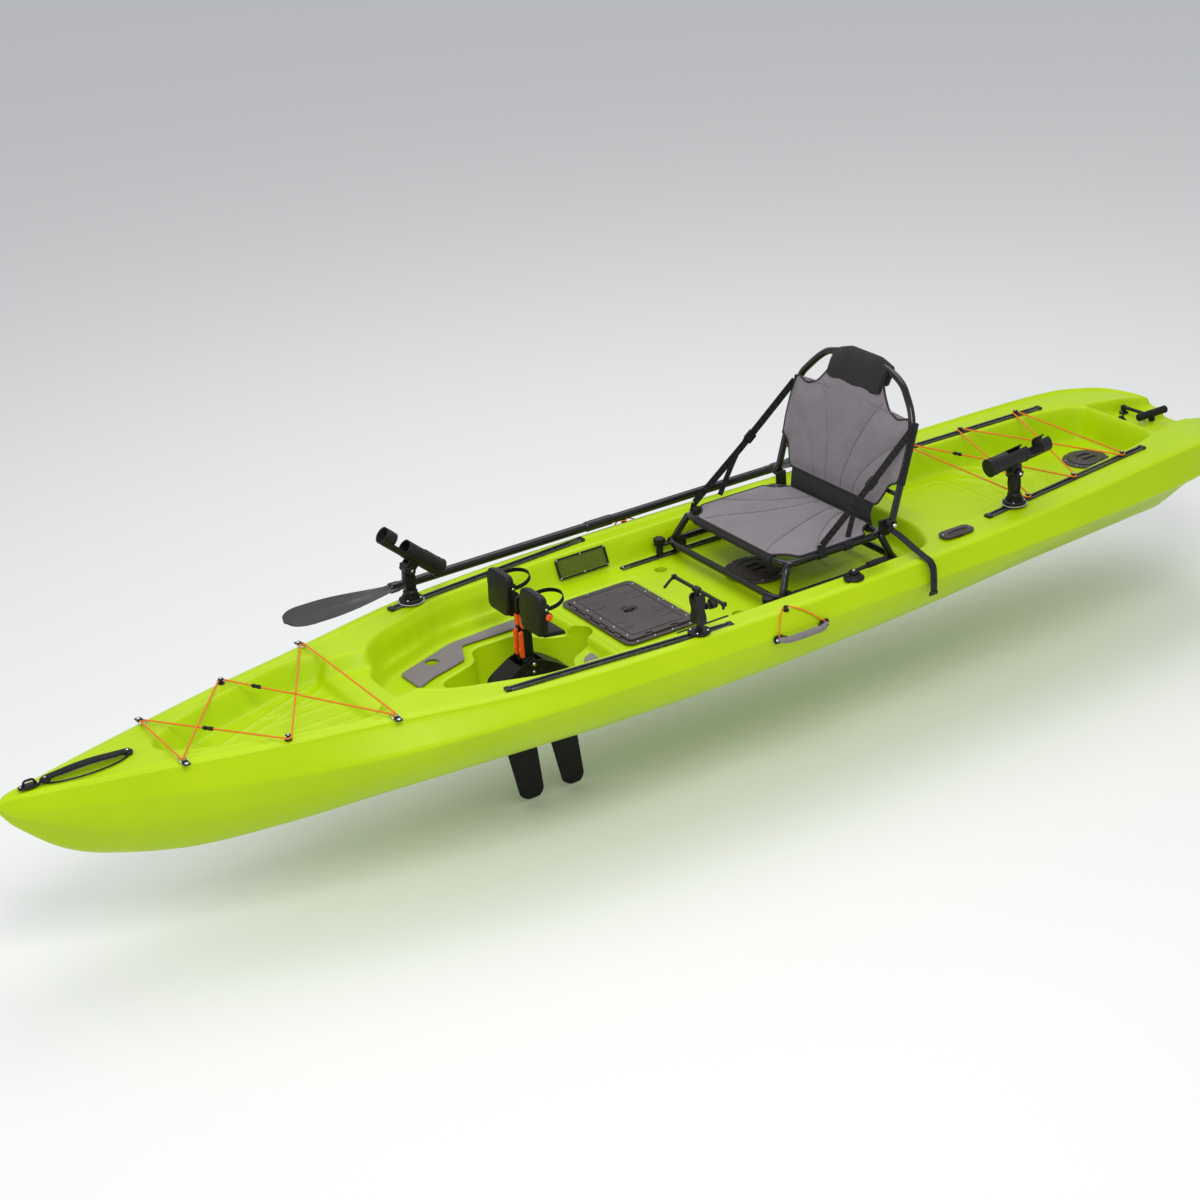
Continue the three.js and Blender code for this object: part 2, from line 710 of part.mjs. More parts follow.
function makeRoundHatch(name, { x, y, radius, hole, z }) {
  const foot = z + GAP;
  const ringProfile = [
    [hole + 3, foot - 16],
    [hole + 6, foot - 16],
    [hole + 6, foot],
    [radius, foot],
    [radius, foot + 5],
    [hole + 3, foot + 5],
    [hole + 3, foot - 16],
  ];
  addPart(`${name}_ring`, turned(x, y, ringProfile, 24), darkPlastic);
  const lidProfile = [
    [0, foot + 2],
    [hole + 2.2, foot + 2],
    [hole + 2.2, foot + 9],
    [hole - 8, foot + 11],
    [0, foot + 11],
  ];
  const gripCut = [-16, 16].map((at) =>
    box(x - 34, x + 34, y + at - 9, y + at + 9, foot + 6, foot + 20),
  );
  addPart(`${name}_lid`, cut(turned(x, y, lidProfile, 24), ...gripCut), darkPlastic);
}

// ---------------------------------------------------------------- side pockets
// A mesh panel in a frame on the cockpit's side wall, which leans outwards to the top.
function makeMeshPockets() {
  const lean = Math.atan2(36, DECK_Z - FLOOR_Z);
  for (const side of [PORT, STARBOARD]) {
    const frame = new THREE.BoxGeometry(178, 4, 66);
    const recess = new THREE.BoxGeometry(160, 2, 50);
    recess.translate(0, -side * 1.6, 0);
    const panel = cut(solid(frame), solid(recess));
    const geometry = geometryOf(panel);
    geometry.rotateX(-side * lean);
    geometry.translate(132, side * (324 - 3.5), 269.5);
    addPart(`mesh_pocket_${sideName(side)}`, solid(geometry), meshFabric);
  }
}

// ---------------------------------------------------------------- pedal drive
const CRANK = { x: 528, z: 192, reach: 186 };
const FIN_AXIS_Z = -12;
const FINS = [
  { name: "front", root: [522, 634], tip: [508, 588] },
  { name: "rear", root: [386, 490], tip: [368, 442] },
];

function makeDriveHousing() {
  const bodyOutline = [
    [392, 84],
    [392, 128],
    [452, 172],
    [505, 200],
    [556, 200],
    [640, 150],
    [652, 84],
  ];
  const body = slab(bodyOutline, 16, -40, 40);
  const crankSlot = box(CRANK.x - 38, CRANK.x + 40, -36, 36, 168, 240);
  const spine = box(380, 660, -36, 36, 2, 90);
  const keelOutline = [[376, 4], [376, -14], [392, -19], [648, -19], [664, -14], [664, 4]];
  const keelBar = slab(keelOutline, 5, -9, 9);
  const rails = [PORT, STARBOARD].map((side) => {
    const bar = rod([420, side * 52, 96], [640, side * 44, 100], 8, 8);
    const faces = [side * 36, side * 54].toSorted((a, b) => a - b);
    return join(bar, box(480, 560, ...faces, 88, 108));
  });
  const finGaps = FINS.map(({ root }) => box(root[0] - 1, root[1] + 1, -20, 20, -30, -4));
  const pins = FINS.map(({ root }) =>
    rod([root[0] - 8, 0, FIN_AXIS_Z], [root[1] + 8, 0, FIN_AXIS_Z], 3, 8),
  );
  const shaft = rod([CRANK.x, -39, CRANK.z], [CRANK.x, 39, CRANK.z], 5, 10);
  const housing = cut(join(body, spine, keelBar, ...rails), crankSlot, ...finGaps);
  addPart("drive_housing", join(housing, shaft, ...pins), blackPlastic);
}

function makeCrank(side) {
  const inner = 3;
  const outer = 27;
  const low = side === PORT ? inner : -outer;
  const high = side === PORT ? outer : -inner;
  const { x, z, reach } = CRANK;
  const armTop = z + reach + 10;
  const armOutline = [[x - 15, z - 14], [x + 15, z - 14], [x + 12, armTop], [x - 14, armTop]];
  const arm = slab(armOutline, 9, low + 4, high - 4);
  const hub = rod([x, low, z], [x, high, z], 17, 14);
  const bore = rod([x, low - 5, z], [x, high + 5, z], 5.6, 10);
  const latchOutline = [[x + 13, z + 14], [x + 26, z + 18], [x + 24, z + 96], [x + 12, z + 100]];
  const latch = slab(latchOutline, 5, low + 7, high - 7);
  const tip = [x - 2, z + reach];
  const pedalPin = rod([tip[0], side * 12, tip[1]], [tip[0], side * 150, tip[1]], 5, 10);
  addPart(`crank_${sideName(side)}`, join(cut(join(arm, hub, latch), bore), pedalPin), blackPlastic);
}

function makePedal(side) {
  const cx = CRANK.x - 2;
  const cz = CRANK.z + CRANK.reach;
  const y0 = side === PORT ? 32 : -152;
  const y1 = side === PORT ? 152 : -32;
  const plateOutline = [
    [cx + 12, cz - 62],
    [cx + 26, cz - 56],
    [cx + 30, cz + 58],
    [cx + 16, cz + 66],
    [cx - 2, cz + 30],
    [cx - 4, cz - 40],
  ];
  const heelOutline = [[cx + 18, cz - 62], [cx + 12, cz - 48], [cx - 52, cz - 58], [cx - 56, cz - 72]];
  const footPlate = slab(plateOutline, 6, y0, y1);
  const heel = slab(heelOutline, 5, y0 + 8, y1 - 8);
  const barrel = rod([cx, y0, cz], [cx, y1, cz], 13, 12);
  const bore = rod([cx, y0 - 5, cz], [cx, y1 + 5, cz], 5.6, 10);
  const made = cut(join(footPlate, heel, barrel), bore);
  const strap = bentPath(
    [
      [cx + 18, y0 + 6, cz + 24],
      [cx - 66, y0 + 8, cz + 30],
      [cx - 84, (y0 + y1) / 2, cz + 34],
      [cx - 66, y1 - 8, cz + 30],
      [cx + 18, y1 - 6, cz + 24],
    ],
    46,
  );
  const band = rectangleShape(9, 1.6);
  const loop = solid(new THREE.ExtrudeGeometry(band, { extrudePath: strap, steps: 22 }));
  addPart(`pedal_${sideName(side)}`, join(made, loop), blackPlastic);
}

function makeFin({ name, root, tip }) {
  const top = FIN_AXIS_Z - 7;
  const bottom = -256;
  const bladeOutline = [[root[0] + 3, top], [root[1] - 2, top], [tip[1], bottom], [tip[0], bottom + 8]];
  const blade = slab(bladeOutline, 14, -4, 4);
  const mast = rod([root[1] - 12, 0, top - 4], [tip[1] - 8, 0, bottom + 16], 6, 8, 3.5);
  const hub = rod([root[0] + 2, 0, FIN_AXIS_Z], [root[1] - 2, 0, FIN_AXIS_Z], 7.6, 12);
  const bore = rod([root[0] - 6, 0, FIN_AXIS_Z], [root[1] + 6, 0, FIN_AXIS_Z], 3.5, 8);
  const neck = box(root[0] + 8, root[1] - 8, -3.5, 3.5, top - 6, FIN_AXIS_Z - 5);
  addPart(`fin_${name}`, cut(join(blade, mast, hub, neck), bore), blackRubber);
}

// ---------------------------------------------------------------- rod holders
const ROD_HOLDER = { pivot: 82, length: 232, radius: 27, wall: 5, rise: 47 };

// A round foot clamped on a track, a swivelling post and a tilting cradle.
// heading turns the post about the vertical, tilt raises the cradle's open end.
function makeRodHolder(name, x, y, heading, tilt) {
  const z = stationAt(x - 36)[2] + 1 + GAP;
  const foot = [[0, z], [36, z], [36, z + 9], [30, z + 13], [24, z + 13], [24, z + 22], [0, z + 22]];
  addPart(`${name}_base`, turned(x, y, foot, 20), blackPlastic);

  const turn = new THREE.Matrix4().makeRotationZ(heading);
  const place = new THREE.Matrix4().makeTranslation(x, y, z + 22 + GAP).multiply(turn);
  const collar = turned(0, 0, [[0, 0], [22, 0], [22, 10], [16, 16], [0, 16]], 14);
  const column = slab([[-15, 10], [15, 10], [19, 44], [16, 78], [-16, 78], [-19, 44]], 8, -12, 12);
  const knuckle = rod([0, -12, ROD_HOLDER.pivot], [0, 12, ROD_HOLDER.pivot], 17, 14);
  addPart(`${name}_post`, movedBy(join(collar, column, knuckle), place), blackPlastic);

  const { radius, wall, length, rise, pivot } = ROD_HOLDER;
  const [butt, tip] = [-length * 0.42, length * 0.58];
  const outer = rod([butt, 0, rise], [tip, 0, rise], radius, 16);
  const hollow = rod([butt + 8, 0, rise], [tip + 20, 0, rise], radius - wall, 16);
  const mouth = box(-length * 0.1, length, -11, 11, rise, rise + 50);
  const gap = box(length * 0.2, length * 0.42, -50, 50, rise - 8, rise + 50);
  const ears = [-1, 1].map((s) => {
    const faces = [s * 12.6, s * 18].toSorted((a, b) => a - b);
    return slab([[-14, -16], [14, -16], [17, rise - 18], [-17, rise - 18]], 8, ...faces);
  });
  const bridge = box(-17, 17, -18, 18, rise - radius - 1, rise - radius + wall - 1);
  const made = join(cut(outer, hollow, mouth, gap), ...ears, bridge);
  const tilted = new THREE.Matrix4().makeRotationY(-tilt);
  const lifted = new THREE.Matrix4().makeTranslation(0, 0, pivot);
  const all = place.clone().multiply(lifted).multiply(tilted);
  addPart(`${name}_cradle`, movedBy(made, all), blackPlastic);
}

function movedBy(made, matrix) {
  const geometry = geometryOf(made);
  geometry.applyMatrix4(matrix);
  return solid(geometry);
}

// ---------------------------------------------------------------- ball mount
const BALL_MOUNT = { x: 184, y: 389 };

function makeBallMount() {
  const { x, y } = BALL_MOUNT;
  const z = DECK_Z + 1 + GAP;
  const lowBall = z + 36;
  const foot = turned(
    x, y,
    [[0, z], [33, z], [33, z + 6], [14, z + 10], [7, z + 14], [7, lowBall - 8], [0, lowBall - 8]],
    18,
  );
  addPart("ball_mount_base", join(foot, ball([x, y, lowBall], 11.4, 10)), blackPlastic);

  const low = lowBall - 10.5;
  const high = z + 118;
  const waist = (low + high) / 2;
  const half = slab(
    [
      [x - 15, low],
      [x + 15, low],
      [x + 17, low + 22],
      [x + 11, waist],
      [x + 17, high - 22],
      [x + 15, high],
      [x - 15, high],
      [x - 17, high - 22],
      [x - 11, waist],
      [x - 17, low + 22],
    ],
    6, y - 17, y + 17, 1,
  );
  const top = high - 12;
  const sockets = [lowBall, top].map((at) => ball([x, y, at], 13, 10));
  const mouths = [[low - 5, lowBall], [top, high + 5]].map(([z0, z1]) =>
    box(x - 30, x + 30, y - 10.5, y + 10.5, z0, z1),
  );
  const stud = rod([x - 8, y, waist], [x - 24, y, waist], 4, 8);
  addPart("ball_mount_arm", cut(join(half, stud), ...sockets, ...mouths), blackPlastic);

  const hub = rod([x - 24.5, y, waist], [x - 44, y, waist], 10, 10);
  const wings = box(x - 62, x - 36, y - 4, y + 4, waist - 14, waist + 14);
  addPart("ball_mount_knob", join(hub, wings), blackPlastic);

  const stem = rod([x, y, top + 6], [x, y, top + 24], 6, 8);
  const bar = box(x - 5, x + 5, y - 118, y + 138, top + 22, top + 30);
  const leg = rod([x + 2, y - 112, top + 26], [x + 36, y - 112, top + 2], 4, 6);
  const stub = rod([x, y + 132, top + 24], [x + 4, y + 132, top + 12], 4, 6);
  const barBall = ball([x, y, top], 11.4, 10);
  addPart("ball_mount_bar", join(barBall, stem, bar, leg, stub), blackPlastic);
}

// ---------------------------------------------------------------- rudder control
const RUDDER_DIAL = { x: -361, y: 386 };

function makeRudderControl() {
  const { x, y } = RUDDER_DIAL;
  const z = DECK_Z + GAP;
  const profile = [[0, z], [30, z], [30, z + 5], [22, z + 10], [22, z + 15], [0, z + 15]];
  addPart("rudder_dial", turned(x, y, profile, 20), blackPlastic);
  const top = z + 15 + GAP;
  const hub = turned(x, y, [[0, top], [14, top], [14, top + 10], [0, top + 10]], 14);
  const armOutline = [[x + 8, top + 2], [x + 8, top + 9], [x - 60, top + 15], [x - 60, top + 7]];
  const arm = slab(armOutline, 3, y - 6, y + 6);
  const grip = rod([x - 52, y, top + 11], [x - 118, y, top + 13], 9.5, 10, 8.5);
  addPart("rudder_lever", join(hub, arm, grip), blackPlastic);
}

// ---------------------------------------------------------------- handles and plugs
const SIDE_HANDLE = { x0: -217, x1: -26, z: 240 };

function makeSideHandle(side) {
  const { x0, x1, z } = SIDE_HANDLE;
  const wallY = (x) => stationAt(x)[3] + 2.2;
  const ends = [[x1, x1 - 26], [x0, x0 + 26]];
  const feet = ends.map(([a, b]) => {
    const mid = (a + b) / 2;
    const inner = wallY(mid) * side;
    const outer = (wallY(mid) + 7) * side;
    const [xs, ys] = [[a, b], [inner, outer]].map((pair) => pair.toSorted((u, v) => u - v));
    return box(...xs, ...ys, z - 11, z + 11);
  });
  const gripY = (wallY(0) + 26) * side;
  const rootY = (wallY(0) + 4) * side;
  const path = bentPath(
    [[x1 - 12, rootY, z], [x1 - 30, gripY, z], [x0 + 30, gripY, z], [x0 + 12, rootY, z]],
    26,
  );
  addPart(`side_handle_${sideName(side)}`, join(...feet, tube(path, 9, 10, 8)), greyRubber);
}

function makeFlushHolder(side) {
  const { x, y, radius } = FLUSH_HOLDER;
  const z = stationAt(x - 58)[2] + GAP;
  const corners = [[x + 58, -26], [x + 58, 26], [x - 58, 26], [x - 58, -26]];
  const flange = plate(corners.map(([u, v]) => [u, v + y * side]), 26, z, z + 5, 3);
  const above = (level) => box(x - 200, x + 200, -500, 500, level, 400);
  const sleeve = cut(flushTube(side, radius, 0), above(z + 4));
  const bore = cut(flushTube(side, radius - 4, 10), above(z));
  addPart(`flush_rod_holder_${sideName(side)}`, cut(join(flange, sleeve), bore), darkPlastic);
}

function makeSternFittings() {
  const grip = rod([-1836, 0, 312], [-1962, 0, 312], 14, 12);
  const post = box(-1906, -1892, -8, 8, 286 + GAP, 304);
  const bar = rod([-1880, 0, 312], [-1880, -118, 308], 6, 8);
  const barFoot = box(-1890, -1870, -122, -104, 286 + GAP, 310);
  addPart("stern_handle", join(grip, post, bar, barFoot), blackRubber);
  const z = 286 + GAP;
  const plug = turned(-1830, -70, [[0, z], [15, z], [15, z + 4], [9, z + 6], [9, z + 14], [0, z + 14]], 14);
  addPart("stern_drain_plug", plug, blackPlastic);
}

// ---------------------------------------------------------------- paddle
const PADDLE = { bow: 1075, stern: -1035, y: -431, z: 326.5, radius: 14, blade: 400, width: 150 };

function makePaddle() {
  const { bow, stern, y, z, radius, blade, width } = PADDLE;
  const shaft = rod([bow - blade + 40, y, z], [stern + blade - 40, y, z], radius, 12);
  const ferrule = rod([50, y, z], [-50, y, z], radius + 2, 12);
  const outline = (tip, way) => [
    [tip, y - width * 0.34],
    [tip - way * 10, y + width * 0.3],
    [tip - way * 120, y + width / 2],
    [tip - way * 290, y + width * 0.36],
    [tip - way * blade, y + radius],
    [tip - way * blade, y - radius],
    [tip - way * 250, y - width * 0.4],
    [tip - way * 90, y - width / 2],
  ];
  const blades = [
    plate(outline(bow, 1), 30, z - 3, z + 3),
    plate(outline(stern, -1), 30, z - 3, z + 3),
  ];
  addPart("paddle", join(shaft, ferrule, ...blades), blackPlastic);
}

// ---------------------------------------------------------------- seat
const SEAT = {
  front: -160,
  rear: -605,
  half: 285,
  lowZ: 266,
  panFront: -212,
  panRear: -565,
  panHalf: 258,
  panZ: 350,
  tube: 11,
  knobAhead: 34,
  pivotX: -582,
  pivotZ: 385,
  backHalf: 284,
};

// A closed frame of tube, made as two half loops that share their ends.
function tubeLoop(corners, radius, bend) {
  const middle = (a, b) => a.map((value, i) => (value + b[i]) / 2);
  const start = middle(corners[0], corners.at(-1));
  const half = corners.length / 2;
  const far = middle(corners[half - 1], corners[half]);
  const first = bentPath([start, ...corners.slice(0, half), far], bend);
  const second = bentPath([far, ...corners.slice(half), start], bend);
  return join(
    tube(first, radius, 14),
    tube(second, radius, 14),
    ball(start, radius, 8),
    ball(far, radius, 8),
  );
}

function makeSeatBase() {
  const { front, rear, half, lowZ, panFront, panRear, panHalf, panZ, pivotX, pivotZ } = SEAT;
  const lower = tubeLoop(
    [[front, half, lowZ], [rear, half, lowZ], [rear, -half, lowZ], [front, -half, lowZ]],
    SEAT.tube, 40,
  );
  const upper = tubeLoop(
    [
      [panFront, panHalf, panZ],
      [panRear, panHalf, panZ],
      [panRear, -panHalf, panZ],
      [panFront, -panHalf, panZ],
    ],
    SEAT.tube, 46,
  );
  const pieces = [lower, upper];
  for (const side of [PORT, STARBOARD]) {
    const outY = half * side;
    const inY = panHalf * side;
    pieces.push(rod([front - 16, outY, lowZ], [panFront - 8, inY * 0.985, panZ], SEAT.tube, 8));
    pieces.push(rod([rear + 18, outY, lowZ], [panRear + 4, inY * 0.985, panZ], SEAT.tube, 8));
    for (const x of [front - 40, rear + 40]) {
      pieces.push(box(x - 17, x + 17, outY - 13, outY + 13, FLOOR_Z + 1 + GAP, lowZ + 4));
    }
    const knobX = front + SEAT.knobAhead;
    const tab = box(front - 30, knobX + 14, outY - 14, outY + 14, FLOOR_Z + 33, FLOOR_Z + 39);
    pieces.push(cut(tab, disc(knobX, outY, 8.4, FLOOR_Z, FLOOR_Z + 60, 10)));
    pieces.push(box(pivotX - 10, pivotX + 26, inY - 5, inY + 5, panZ - 8, pivotZ + 8));
    pieces.push(rod([pivotX, inY, pivotZ], [pivotX, (SEAT.backHalf + 6) * side, pivotZ], 4, 8));
  }
  addPart("seat_base_frame", join(...pieces), blackTube);

  const inset = SEAT.tube + 4;
  const pan = plate(
    [
      [panFront - inset, panHalf - inset],
      [panRear + inset, panHalf - inset],
      [panRear + inset, -panHalf + inset],
      [panFront - inset, -panHalf + inset],
    ],
    44, panZ - 4, panZ + 7, 3,
  );
  addPart("seat_pan", pan, seatFabric);
}

// The back's plane leans aft as it rises.
const BACK_LEAN = Math.tan(THREE.MathUtils.degToRad(18));
const backX = (z) => SEAT.pivotX - (z - SEAT.pivotZ) * BACK_LEAN;

function makeSeatBack() {
  const { pivotX, pivotZ, backHalf } = SEAT;
  const side = (s) => [
    [pivotX, s * backHalf, pivotZ],
    [backX(470), s * backHalf, 470],
    [backX(680), s * backHalf, 680],
    [backX(775), s * 190, 775],
  ];
  const top = [[backX(802), 75, 802], [backX(802), -75, 802]];
  const hoop = bentPath([...side(1), ...top, ...side(-1).toReversed()], 70);
  const pieces = [tube(hoop, SEAT.tube, 24)];
  for (const s of [PORT, STARBOARD]) {
    const boss = [(backHalf - 9) * s, (backHalf + 9) * s];
    pieces.push(rod([pivotX, boss[0], pivotZ], [pivotX, boss[1], pivotZ], 14, 12));
  }
  const lumbar = rod([backX(470), -backHalf, 470], [backX(470), backHalf, 470], 7, 8);
  const bores = [PORT, STARBOARD].map((s) =>
    rod([pivotX, (backHalf - 14) * s, pivotZ], [pivotX, (backHalf + 14) * s, pivotZ], 4.8, 8),
  );
  addPart("seat_back_frame", cut(join(...pieces, lumbar), ...bores), blackTube);

  const half = backHalf - SEAT.tube - 2;
  const profile = [
    [210, 424],
    [half, 500],
    [half, 655],
    [half - 40, 720],
    [150, 730],
    [110, 775],
    [-110, 775],
    [-150, 730],
    [-half + 40, 720],
    [-half, 655],
    [-half, 500],
    [-210, 424],
  ];
  const ring = roundedOutline(profile, 22, 0, 2);
  const sheet = (offset) => ({ ring, at: offset });
  const back = loft([sheet(10), sheet(22)], (y, z, offset) => [backX(z) + offset, y, z]);
  addPart("seat_back", back, seatFabric);
}

// Knobs that clamp the seat's front feet on the rails.
function makeSeatKnob(side) {
  const z = FLOOR_Z + 1 + GAP;
  const profile = [
    [0, z],
    [11, z],
    [11, z + 26],
    [7, z + 30],
    [7, z + 40],
    [19, z + 44],
    [19, z + 58],
    [0, z + 60],
  ];
  const knob = turned(SEAT.front + SEAT.knobAhead, SEAT.half * side, profile, 10);
  addPart(`seat_knob_${sideName(side)}`, knob, blackPlastic);
}

// ---------------------------------------------------------------- assembly
makeHull();
makeTracksAndRails();
makeBowFittings();
makeBungees();
makeDeckPads();
makeDeckHatch();
makeRoundHatch("cockpit_hatch", COCKPIT_HATCH);
makeRoundHatch("stern_hatch", STERN_HATCH);
makeMeshPockets();
makeDriveHousing();
FINS.forEach(makeFin);
makeBallMount();
makeRudderControl();
makeSternFittings();
makePaddle();
makeSeatBase();
makeSeatBack();
for (const side of [PORT, STARBOARD]) {
  makeCrank(side);
  makePedal(side);
  makeSideHandle(side);
  makeFlushHolder(side);
  makeSeatKnob(side);
}
makeRodHolder("bow_rod_holder", 705, -343, 0, THREE.MathUtils.degToRad(42));
makeRodHolder("stern_rod_holder", -1050, 292, Math.PI, THREE.MathUtils.degToRad(6));

export default group;
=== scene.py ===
# A sit-on-top pedal fishing kayak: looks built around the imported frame, in metres.
import math
import bpy
import bmesh
import numpy as np
from mathutils import Matrix, Vector


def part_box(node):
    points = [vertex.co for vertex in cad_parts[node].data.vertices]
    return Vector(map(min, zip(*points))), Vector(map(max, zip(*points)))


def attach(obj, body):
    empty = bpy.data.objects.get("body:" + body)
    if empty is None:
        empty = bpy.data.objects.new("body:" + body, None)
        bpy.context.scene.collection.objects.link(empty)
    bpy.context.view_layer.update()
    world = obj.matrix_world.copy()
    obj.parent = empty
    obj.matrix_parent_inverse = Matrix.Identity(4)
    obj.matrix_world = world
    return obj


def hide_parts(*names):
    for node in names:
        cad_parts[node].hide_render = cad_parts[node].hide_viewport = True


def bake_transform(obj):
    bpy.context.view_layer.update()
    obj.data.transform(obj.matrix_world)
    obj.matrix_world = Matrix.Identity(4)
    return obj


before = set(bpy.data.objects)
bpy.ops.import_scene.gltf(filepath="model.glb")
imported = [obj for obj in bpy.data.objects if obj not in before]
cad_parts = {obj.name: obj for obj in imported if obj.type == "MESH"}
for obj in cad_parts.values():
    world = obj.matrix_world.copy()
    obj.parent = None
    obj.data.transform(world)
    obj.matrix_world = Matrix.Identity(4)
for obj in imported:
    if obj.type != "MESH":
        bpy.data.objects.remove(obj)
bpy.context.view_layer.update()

hullBody = "hull_assembly"
port, starboard = 1, -1
sideNames = {port: "port", starboard: "starboard"}
mm = 0.001


def addObject(name, data):
    piece = bpy.data.objects.new(name, data)
    bpy.context.scene.collection.objects.link(piece)
    return piece


# Camera
print("camera")
cameraSetup = {
    "spot": (3.5389, 5.5694, 3.2736),
    "looksAt": (0.2435, -0.0412, 0.2771),
    "roll": -0.0795,
    "lens": 73.5,
}


def makeCamera(setup):
    data = bpy.data.cameras.new("studioCamera")
    camera = addObject("studioCamera", data)
    spot = Vector(setup["spot"])
    ahead = (Vector(setup["looksAt"]) - spot).normalized()
    right = ahead.cross(Vector((0, 0, 1))).normalized()
    up = right.cross(ahead)
    tilt = Matrix.Rotation(-setup["roll"], 3, ahead)  # leans the frame a little
    right, up = tilt @ right, tilt @ up
    turn = Matrix((right, up, -ahead)).transposed()
    camera.matrix_world = Matrix.Translation(spot) @ turn.to_4x4()
    data.lens = setup["lens"]
    data.sensor_width = 36
    data.clip_end = 60
    bpy.context.scene.camera = camera


makeCamera(cameraSetup)


# Studio
studioSetup = {
    "floorDrop": 0.012, "floorTone": (0.8, 0.8, 0.8), "floorReach": 30,
    "worldTone": (0.95, 0.97, 1.0), "worldStrength": 0.6,
    # name, place, size, power and tone of each lamp
    "lamps": [
        ("keyLight", (1.6, 3.4, 4.6), 2.4, 150, (1, 0.98, 0.95)),
        ("fillLight", (5.2, -0.6, 2.6), 3.5, 46, (0.95, 0.98, 1)),
        ("topLight", (-1.2, -1.4, 4.8), 4.0, 95, (1, 1, 1)),
    ],
}


def makeStudio(setup):
    low = min(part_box("fin_front")[0].z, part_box("fin_rear")[0].z) - setup["floorDrop"]
    mesh = bpy.data.meshes.new("studioFloor")
    far = setup["floorReach"]
    mesh.from_pydata(
        [(-far, -far, low), (far, -far, low), (far, far, low), (-far, far, low)], [], [(0, 1, 2, 3)]
    )
    floor = addObject("studioFloor", mesh)
    paint = bpy.data.materials.new("studioFloorPaint")
    paint.use_nodes = True
    shader = paint.node_tree.nodes["Principled BSDF"]
    shader.inputs["Base Color"].default_value = (*setup["floorTone"], 1)
    shader.inputs["Roughness"].default_value = 0.95
    mesh.materials.append(paint)
    world = bpy.data.worlds.new("studioWorld")
    world.use_nodes = True
    sky = world.node_tree.nodes["Background"]
    sky.inputs["Color"].default_value = (*setup["worldTone"], 1)
    sky.inputs["Strength"].default_value = setup["worldStrength"]
    bpy.context.scene.world = world
    bpy.context.scene.view_settings.view_transform = "Standard"  # keeps the lime as bright as it is
    for name, spot, size, power, tone in setup["lamps"]:
        data = bpy.data.lights.new(name, "AREA")
        data.energy = power
        data.size = size
        data.color = tone
        lamp = addObject(name, data)
        lamp.location = spot
        lamp.rotation_euler = (Vector((0, 0, 0.2)) - Vector(spot)).to_track_quat("-Z", "Y").to_euler()


makeStudio(studioSetup)


# Finishes
print("finishes")


